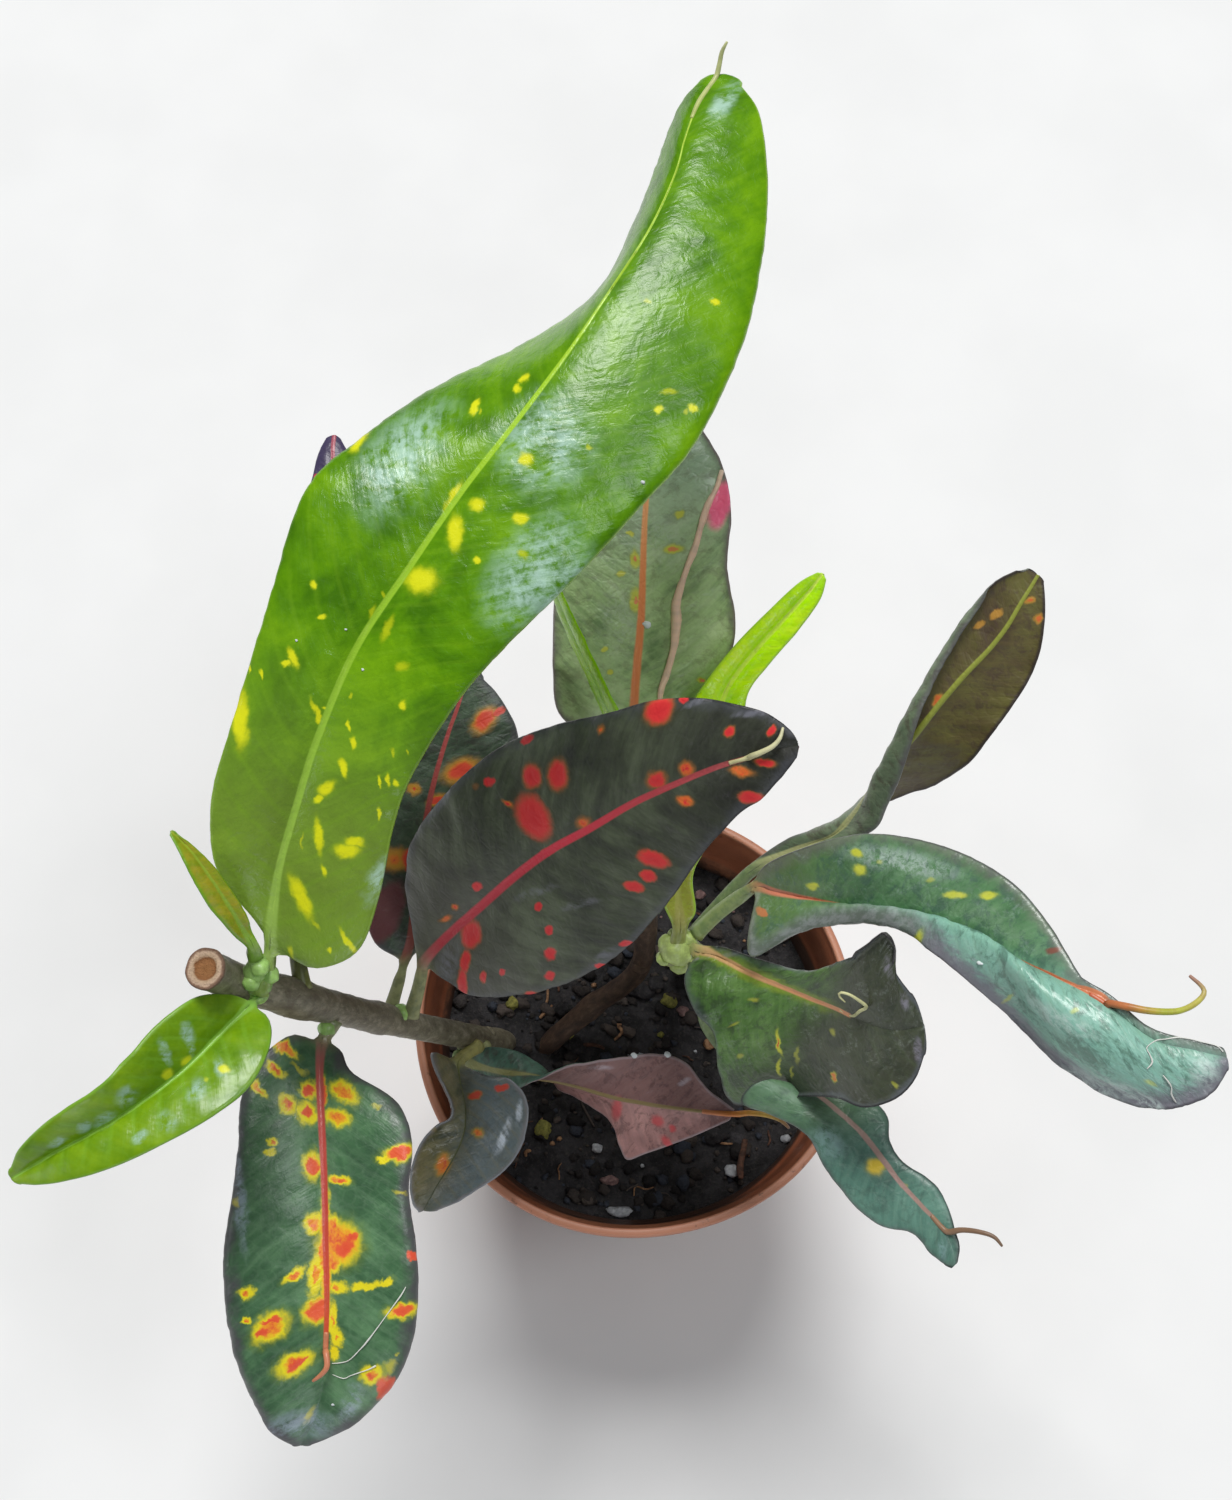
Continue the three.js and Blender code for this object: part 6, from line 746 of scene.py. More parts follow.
# ================================================================ materials
class NB:
    def __init__(self, name):
        self.mat = bpy.data.materials.new(name)
        self.mat.use_nodes = True
        self.t = self.mat.node_tree
        self.t.nodes.clear()
        self.out = self.t.nodes.new("ShaderNodeOutputMaterial")
        self.p = self.t.nodes.new("ShaderNodeBsdfPrincipled")
        self.t.links.new(self.p.outputs[0], self.out.inputs[0])

    def put(self, sock, val):
        if isinstance(val, bpy.types.NodeSocket):
            self.t.links.new(val, sock)
        elif val is not None:
            sock.default_value = val

    def node(self, kind, **kw):
        n = self.t.nodes.new(kind)
        for k, v in kw.items():
            setattr(n, k, v)
        return n

    def attr(self, name):
        n = self.node("ShaderNodeAttribute", attribute_name=name)
        return n

    def sep(self, v):
        n = self.node("ShaderNodeSeparateXYZ")
        self.put(n.inputs[0], v)
        return n.outputs

    def comb(self, x=0.0, y=0.0, z=0.0):
        n = self.node("ShaderNodeCombineXYZ")
        for i, q in enumerate((x, y, z)):
            self.put(n.inputs[i], q)
        return n.outputs[0]

    def math(self, op, a, b=None, c=None, clamp=False):
        n = self.node("ShaderNodeMath", operation=op, use_clamp=clamp)
        self.put(n.inputs[0], a)
        if b is not None:
            self.put(n.inputs[1], b)
        if c is not None:
            self.put(n.inputs[2], c)
        return n.outputs[0]

    def vmath(self, op, a, b=None, scale=None):
        n = self.node("ShaderNodeVectorMath", operation=op)
        self.put(n.inputs[0], a)
        if b is not None:
            self.put(n.inputs[1], b)
        if scale is not None:
            self.put(n.inputs["Scale"], scale)
        return n.outputs["Value"] if op in ("LENGTH", "DISTANCE", "DOT_PRODUCT") else n.outputs[0]

    def mix(self, fac, a, b, blend="MIX"):
        n = self.node("ShaderNodeMix", data_type="RGBA", blend_type=blend)
        self.put(n.inputs[0], fac)
        self.put(n.inputs[6], a)
        self.put(n.inputs[7], b)
        return n.outputs[2]

    def ss(self, x, a, b, lo=0.0, hi=1.0):
        n = self.node("ShaderNodeMapRange", interpolation_type="SMOOTHSTEP")
        self.put(n.inputs[0], x)
        for i, q in ((1, a), (2, b), (3, lo), (4, hi)):
            self.put(n.inputs[i], q)
        return n.outputs[0]

    def ramp(self, x, stops, mode="LINEAR"):
        n = self.node("ShaderNodeValToRGB")
        n.color_ramp.interpolation = mode
        e = n.color_ramp.elements
        while len(e) < len(stops):
            e.new(0.5)
        for q, (pos, col) in zip(e, stops):
            q.position = pos
            q.color = col
        self.put(n.inputs[0], x)
        return n.outputs[0]

    def noise(self, vec, scale, detail=3.0, rough=0.5, dist=0.0, color=False):
        n = self.node("ShaderNodeTexNoise")
        self.put(n.inputs["Vector"], vec)
        n.inputs["Scale"].default_value = scale
        n.inputs["Detail"].default_value = detail
        n.inputs["Roughness"].default_value = rough
        n.inputs["Distortion"].default_value = dist
        return n.outputs["Color" if color else "Fac"]

    def voro(self, vec, scale, feature="F1", rand=1.0, out="Distance"):
        n = self.node("ShaderNodeTexVoronoi", feature=feature)
        self.put(n.inputs["Vector"], vec)
        n.inputs["Scale"].default_value = scale
        n.inputs["Randomness"].default_value = rand
        return n.outputs[out]

    def bump(self, height, strength, dist, normal=None):
        n = self.node("ShaderNodeBump")
        n.inputs["Strength"].default_value = strength
        n.inputs["Distance"].default_value = dist
        self.put(n.inputs["Height"], height)
        if normal is not None:
            self.put(n.inputs["Normal"], normal)
        return n.outputs[0]

    def fin(self, color=None, rough=0.5, spec=0.5, coat=0.0, coat_r=0.1, normal=None, sheen=0.0, sss=0.0):
        p = self.p
        self.put(p.inputs["Base Color"], color)
        self.put(p.inputs["Roughness"], rough)
        p.inputs["Specular IOR Level"].default_value = spec
        p.inputs["Coat Weight"].default_value = coat
        p.inputs["Coat Roughness"].default_value = coat_r
        p.inputs["Sheen Weight"].default_value = sheen
        if normal is not None:
            self.put(p.inputs["Normal"], normal)
        return self.mat


def leaf_material(name, sp):
    b = NB(name)
    st = sp["look"]
    A, B, S = b.attr("lfA"), b.attr("lfB"), b.attr("lfS")
    s, w, vq = b.sep(A.outputs["Vector"])
    edge, mid, v = b.sep(B.outputs["Vector"])
    side = S.outputs["Fac"]
    seed = sp.get("seed", 1.0) * 7.3
    sw = b.comb(s, w, seed)
    aw = b.math("ABSOLUTE", w)
    # wander of every outline
    wn = b.noise(sw, 0.85, 3.0, 0.6, color=True)
    wn = b.vmath("SUBTRACT", wn, (0.5, 0.5, 0.5))
    amp = st.get("wander", 1.3)
    flat = b.vmath("MULTIPLY", wn, (amp, amp, 0.0))
    base = b.vmath("ADD", b.comb(s, w, 0.0), flat)
    # ground colour: cloudy mix of three tones, streaked along the side veins
    cloud = b.noise(sw, st.get("cloud", 0.16), 4.0, 0.62, 0.4)
    streak = b.noise(b.comb(b.math("MULTIPLY", vq, 2.2), b.math("MULTIPLY", aw, 0.16), seed), 1.0, 3.0, 0.65)
    mixv = b.math("ADD", b.math("MULTIPLY", cloud, 1.0 - st.get("streak", 0.38)), b.math("MULTIPLY", streak, st.get("streak", 0.38)))
    col = b.ramp(mixv, [(0.36, lin(st["c3"])), (0.50, lin(st["c1"])), (0.64, lin(st["c2"]))])
    if "basecol" in st:
        col = b.mix(b.ss(v, st["base_to"][0], st["base_to"][1], st.get("base_f", 0.7), 0.0), col, lin(st["basecol"]))
    if "tipcol" in st:
        col = b.mix(b.ss(v, st["tip_from"][0], st["tip_from"][1], 0.0, st.get("tip_f", 0.7)), col, lin(st["tipcol"]))
    # a wash over the half with negative w; on small_cupped_leaf it is painted sheen
    if "leftcol" in st:
        col = b.mix(b.ss(w, -st.get("lr", 2.0), st.get("lr", 2.0), st.get("left_f", 0.6), 0.0), col, lin(st["leftcol"]))
    if "rightcol" in st:
        rf_ = b.ss(w, -st.get("lr", 2.0), st.get("lr", 2.0), 0.0, st.get("right_f", 0.6))
        if "right_v" in st:
            rf_ = b.math("MULTIPLY", rf_, b.ss(v, st["right_v"][0], st["right_v"][1]))
        col = b.mix(rf_, col, lin(st["rightcol"]))
    # side veins and their fine network
    fr = b.math("ABSOLUTE", b.math("SUBTRACT", b.math("FRACT", vq), 0.5))
    vein = b.ss(fr, 0.5 - 0.16, 0.5 - 0.02)
    vein = b.math("MULTIPLY", vein, b.ss(edge, 0.3, 2.0))
    col = b.mix(b.math("MULTIPLY", vein, st.get("vein_f", 0.22)), col, lin(st.get("veincol", st["c2"])))
    net = b.voro(b.vmath("ADD", b.vmath("MULTIPLY", sw, (1.0, 0.75, 1.0)), b.vmath("MULTIPLY", wn, (0.5, 0.5, 0.0))), 0.95, "DISTANCE_TO_EDGE")
    netl = b.ss(net, 0.02, 0.14, 1.0, 0.0)
    col = b.mix(b.math("MULTIPLY", netl, st.get("net_f", 0.10)), col, lin(st.get("veincol", st["c2"])))
    grain = b.noise(sw, 3.2, 3.0, 0.7)
    col = b.mix(b.ss(grain, 0.45, 0.75, 0.0, st.get("grain_f", 0.16)), col, lin(st["c3"]))
    # darker mottling
    if "mot" in st:
        m1 = b.noise(b.comb(b.math("MULTIPLY", s, 1.0), b.math("MULTIPLY", w, 0.7), seed + 5.0), 0.62, 5.0, 0.72, 0.5)
        col = b.mix(b.ss(m1, 0.48, 0.64, 0.0, st["mot_f"]), col, lin(st["mot"]))
    # margin
    if "margin" in st:
        ed = b.math("ADD", edge, b.math("MULTIPLY", b.math("SUBTRACT", b.noise(sw, 0.42, 4.0, 0.65), 0.5), st["mw"] * 2.6))
        col = b.mix(b.ss(ed, st["mw"] * 0.1, st["mw"] * 1.5, st.get("margin_f", 0.75), 0.0), col, lin(st["margin"]))
    if "band" in st:
        bw, bv0, bv1 = st["band_w"]
        bf = b.math("MULTIPLY", b.ss(edge, bw * 0.5, bw * 1.2, st.get("band_f", 0.9), 0.0), b.math("MULTIPLY", b.ss(v, bv0, bv0 + 0.06), b.ss(v, bv1 - 0.1, bv1, 1.0, 0.0)))
        bf = b.math("MULTIPLY", bf, b.ss(w, -0.3, 0.3) if st.get("band_side", 1) > 0 else b.ss(w, -0.3, 0.3, 1.0, 0.0))
        col = b.mix(bf, col, b.mix(b.ss(b.noise(sw, 0.8, 4.0, 0.65), 0.4, 0.65), lin(st["band"]), lin(st.get("band2", st["band"]))))
    if "low" in st:
        lw, lv0, lv1 = st["low_w"]
        ln_ = b.noise(b.comb(b.math("MULTIPLY", s, 0.6), b.math("MULTIPLY", w, 1.6), seed + 9.0), 0.9, 4.0, 0.7)
        le = b.math("ADD", edge, b.math("MULTIPLY", b.math("SUBTRACT", ln_, 0.5), lw * 1.6))
        lf_ = b.math("MULTIPLY", b.ss(le, lw * 0.3, lw * 1.2, st["low_f"], 0.0), b.math("MULTIPLY", b.ss(v, lv0, lv0 + 0.1), b.ss(w, -0.3, 0.3)))
        col = b.mix(lf_, col, lin(st["low"]))
    if "rim" in st:
        col = b.mix(b.ss(edge, 0.05, 0.42, st.get("rim_f", 0.8), 0.0), col, lin(st["rim"]))
    if "dust" in st:
        dn = b.noise(sw, 0.5, 4.0, 0.7, 0.8)
        d2 = b.noise(sw, 2.6, 3.0, 0.7)
        df = b.math("MULTIPLY", b.ss(dn, 0.52, 0.68, 0.0, st.get("dust_f", 0.35)), b.ss(d2, 0.42, 0.62))
        col = b.mix(df, col, lin(st["dust"]))
    # halo along the midrib
    if "halo" in st:
        hz = b.math("ADD", aw, b.math("MULTIPLY", b.math("SUBTRACT", b.noise(sw, 0.5, 3.0, 0.6), 0.5), st["hw"] * 1.6))
        ha = b.ss(hz, st["hw"] * 0.4, st["hw"] * 1.3, st.get("halo_f", 0.8), 0.0)
        if "halo_v" in st:
            ha = b.math("MULTIPLY", ha, b.ss(v, st["halo_v"][0], st["halo_v"][1], 1.0, 0.0))
        col = b.mix(ha, col, lin(st["halo"]))
    # spots
    groups = {"ring": [], "faint": [], "orange": [], "red": [], "patch": [], "painted_sheen": []}
    for (x, y, ra, rb, ang, core, kind) in sp.get("spots", []):
        mp = b.node("ShaderNodeMapping", vector_type="TEXTURE")
        b.put(mp.inputs[0], base)
        mp.inputs[1].default_value = (x, y, 0)
        mp.inputs[2].default_value = (0, 0, math.radians(ang))
        mp.inputs[3].default_value = (max(ra, 0.05), max(rb, 0.05), 1)
        d = b.vmath("LENGTH", mp.outputs[0])
        if kind in "yor" and not kind == "p":
            groups["ring"].append(d)
        if kind == "f":
            groups["faint"].append(d)
        if kind == "o" and core:
            groups["orange"].append(b.math("DIVIDE", d, core))
        if kind == "r":
            groups["red"].append(b.math("DIVIDE", d, core))
        if kind == "p":
            groups["red"].append(d)
        if kind == "m":
            groups["patch"].append(d)
        # kind w: a patch of painted sheen
        if kind == "w":
            groups["painted_sheen"].append(d)

    def least(q):
        r = q[0]
        for z in q[1:]:
            r = b.math("MINIMUM", r, z)
        return r
    if groups["painted_sheen"]:
        # painted sheen: light patches standing in for highlights, broken into streaks along the side veins
        s3 = b.noise(b.comb(b.math("MULTIPLY", vq, 3.4), b.math("MULTIPLY", aw, 0.34), seed + 2.0), 1.0, 4.0, 0.68, 0.3)
        if st.get("wiso"):
            iso = b.noise(b.vmath("ADD", sw, b.vmath("MULTIPLY", wn, (2.0, 2.0, 0.0))), st.get("wsc", 1.7), 5.0, 0.75)
            s3 = b.math("ADD", b.math("MULTIPLY", iso, st["wiso"]), b.math("MULTIPLY", s3, 1.0 - st["wiso"]))
        s4 = b.noise(sw, 0.42, 3.0, 0.6)
        painted_sheen_mask = b.math("MULTIPLY", b.ss(least(groups["painted_sheen"]), 0.25, 1.15, 1.0, 0.0), b.ss(b.math("ADD", b.math("MULTIPLY", s3, 0.65), b.math("MULTIPLY", s4, 0.35)), 0.40, 0.58))
        col = b.mix(b.math("MULTIPLY", painted_sheen_mask, st.get("painted_sheen_f", 0.5)), col, lin(st["painted_sheen"]))
    if groups["patch"]:
        col = b.mix(b.ss(least(groups["patch"]), 0.7, 1.1, 0.9, 0.0), col, lin(st["patch"]))
    if groups["faint"]:
        col = b.mix(b.ss(least(groups["faint"]), 0.3, 1.25, st.get("faint_f", 0.5), 0.0), col, lin(st["ring"]))
    if groups["ring"]:
        dr = least(groups["ring"])
        so = st.get("soft", 0.0)
        col = b.mix(b.ss(dr, 0.95 - so, 1.45 + so, 0.40, 0.0), col, lin(st.get("glow", st["ring"])))
        col = b.mix(b.ss(dr, 0.72 - so * 1.6, 1.12 + so, st.get("ring_f", 1.0), 0.0), col, lin(st["ring"]))
    if groups["orange"]:
        do = least(groups["orange"])
        oc = b.ramp(b.math("ADD", b.math("MULTIPLY", do, 0.45), b.math("ADD", b.math("MULTIPLY", b.math("SUBTRACT", b.noise(sw, 1.5, 3.0, 0.65), 0.5), 2.6), 0.18)), [(0.0, lin(st["red"])), (0.45, lin(st["orange"])), (1.0, lin(st.get("orange2", st["orange"])))])
        so = st.get("soft", 0.0)
        col = b.mix(b.ss(do, 0.75 - so * 1.6, 1.2 + so, 0.95, 0.0), col, oc)
    if groups["red"]:
        dd = least(groups["red"])
        rc = b.ramp(b.math("ADD", b.math("MULTIPLY", dd, 0.7), b.math("MULTIPLY", b.math("SUBTRACT", grain, 0.5), 0.9)), [(0.0, lin(st["red"])), (0.7, lin(st.get("red2", st["red"])))])
        so = st.get("soft", 0.0)
        col = b.mix(b.ss(dd, 0.78 - so * 1.4, 1.14 + so * 0.8, 0.97, 0.0), col, rc)
    # midrib
    mcol = b.ramp(b.math("MULTIPLY", v, 1.0, clamp=True), [(p, lin(c)) for p, c in st["midrib"]])
    mm = b.ss(mid, 0.75, 1.25, 1.0, 0.0)
    mm = b.math("MULTIPLY", mm, b.ss(v, sp["mendv"] - 0.01, sp["mendv"] + 0.01, 1.0, 0.0))
    mcol = b.mix(b.ss(b.noise(b.comb(b.math("MULTIPLY", s, 0.5), b.math("MULTIPLY", w, 4.0), seed), 1.0, 3.0, 0.6), 0.5, 0.75, 0.0, 0.35), mcol, lin(st.get("midrib2", st["midrib"][0][1])))
    # underside
    under = b.ramp(mixv, [(0.36, lin(st["u2"])), (0.62, lin(st["u1"]))])
    if "useg" in st:
        us, uc, uf = st["useg"]
        under = b.mix(b.math("MULTIPLY", b.ss(w, -0.5, 0.5) if us > 0 else b.ss(w, -0.5, 0.5, 1.0, 0.0), uf), under, lin(uc))
    # darkening of the underside towards the foot: on maroon_twisted_leaf it is painted shade
    if "ubase" in st:
        bc_, b0_, b1_, bf_ = st["ubase"]
        under = b.mix(b.ss(v, b0_, b1_, bf_, 0.0), under, lin(bc_))
    # the same painted sheen on the underside
    if groups["painted_sheen"]:
        under = b.mix(b.math("MULTIPLY", painted_sheen_mask, st.get("painted_sheen_f", 0.5)), under, lin(st["painted_sheen"]))
    if "mot" in st:
        under = b.mix(b.ss(m1, 0.50, 0.62, 0.0, st["mot_f"]), under, lin(st["mot"]))
    under = b.mix(b.math("MULTIPLY", vein, 0.15), under, lin(st.get("uvein", st["u1"])))
    under = b.mix(b.math("MULTIPLY", netl, 0.12), under, lin(st.get("uvein", st["u1"])))
    if "umargin" in st:
        under = b.mix(b.ss(edge, 0.15, st.get("umw", 0.8), 0.85, 0.0), under, lin(st["umargin"]))
    if st.get("uspots") and groups["red"]:
        us_ = st.get("usoft", 0.0)
        under = b.mix(b.ss(least(groups["red"]), 0.7 - us_, 1.2 + us_, 0.8, 0.0), under, lin(st["uspots"]))
    if st.get("uspots2") and groups["ring"]:
        under = b.mix(b.ss(least(groups["ring"]), 0.6, 1.2, 0.75, 0.0), under, lin(st["uspots2"]))
        if groups["orange"]:
            under = b.mix(b.ss(least(groups["orange"]), 0.6, 1.2, 0.8, 0.0), under, lin(st["uspots3"]))
    under = b.mix(mm, under, lin(st.get("umid", st["midrib"][0][1])))
    top = b.mix(mm, col, mcol)
    col = b.mix(b.ss(side, 0.35, 0.65), under, top)
    # petiole
    col = b.mix(b.ss(v, st.get("pet_v", (-0.03, 0.05))[0], st.get("pet_v", (-0.03, 0.05))[1], 1.0, 0.0), col,
                b.mix(b.ss(b.noise(sw, 0.9, 3.0, 0.6), 0.4, 0.65), lin(st["pet"]), lin(st.get("pet2", st["pet"]))))
    # surface: fine parallel veinlets, the network, pores
    h1 = b.noise(b.comb(b.math("MULTIPLY", vq, 4.2), b.math("MULTIPLY", aw, 0.30), seed), 1.0, 3.0, 0.6)
    h2 = b.ss(net, 0.0, 0.22)
    h3 = b.noise(sw, 5.0, 2.0, 0.6)
    h4 = b.noise(sw, 0.75, 3.0, 0.55, 0.6)
    hh = b.math("ADD", b.math("MULTIPLY", h1, st.get("b1", 0.9)), b.math("MULTIPLY", h2, st.get("b2", 0.22)))
    hh = b.math("ADD", hh, b.math("MULTIPLY", h3, st.get("b3", 0.10)))
    hh = b.math("ADD", hh, b.math("MULTIPLY", h4, st.get("b4", 0.9)))
    nb = b.bump(hh, st.get("bs", 0.55), st.get("bd", 0.00016))
    ro = b.math("ADD", b.math("MULTIPLY", b.noise(sw, 0.6, 3.0, 0.6), 0.16), st.get("rough", 0.30) - 0.08)
    ro = b.math("ADD", ro, b.ss(side, 0.4, 0.6, 0.14, 0.0))
    return b.fin(col, ro, st.get("spec", 0.5), st.get("coat", 0.0), 0.15, nb)


def plain_material(name, c1, c2, scale, rough, lines=None, coat=0.0, bumpd=0.0001, bs=0.4, coords="Object"):
    b = NB(name)
    tc = b.node("ShaderNodeTexCoord").outputs[coords]
    q = b.vmath("MULTIPLY", tc, (1000.0, 1000.0, 1000.0))
    nz = b.noise(q, scale, 4.0, 0.62)
    col = b.mix(b.ss(nz, 0.35, 0.65), lin(c1), lin(c2))
    if lines is not None:
        n2 = b.noise(q, scale * 3.1, 3.0, 0.6)
        col = b.mix(b.ss(n2, 0.5, 0.75, 0.0, 0.6), col, lin(lines))
    hh = b.noise(q, scale * 2.0, 4.0, 0.65)
    return b.fin(col, b.math("ADD", b.math("MULTIPLY", nz, 0.12), rough - 0.06), 0.5, coat, 0.2, b.bump(hh, bs, bumpd))
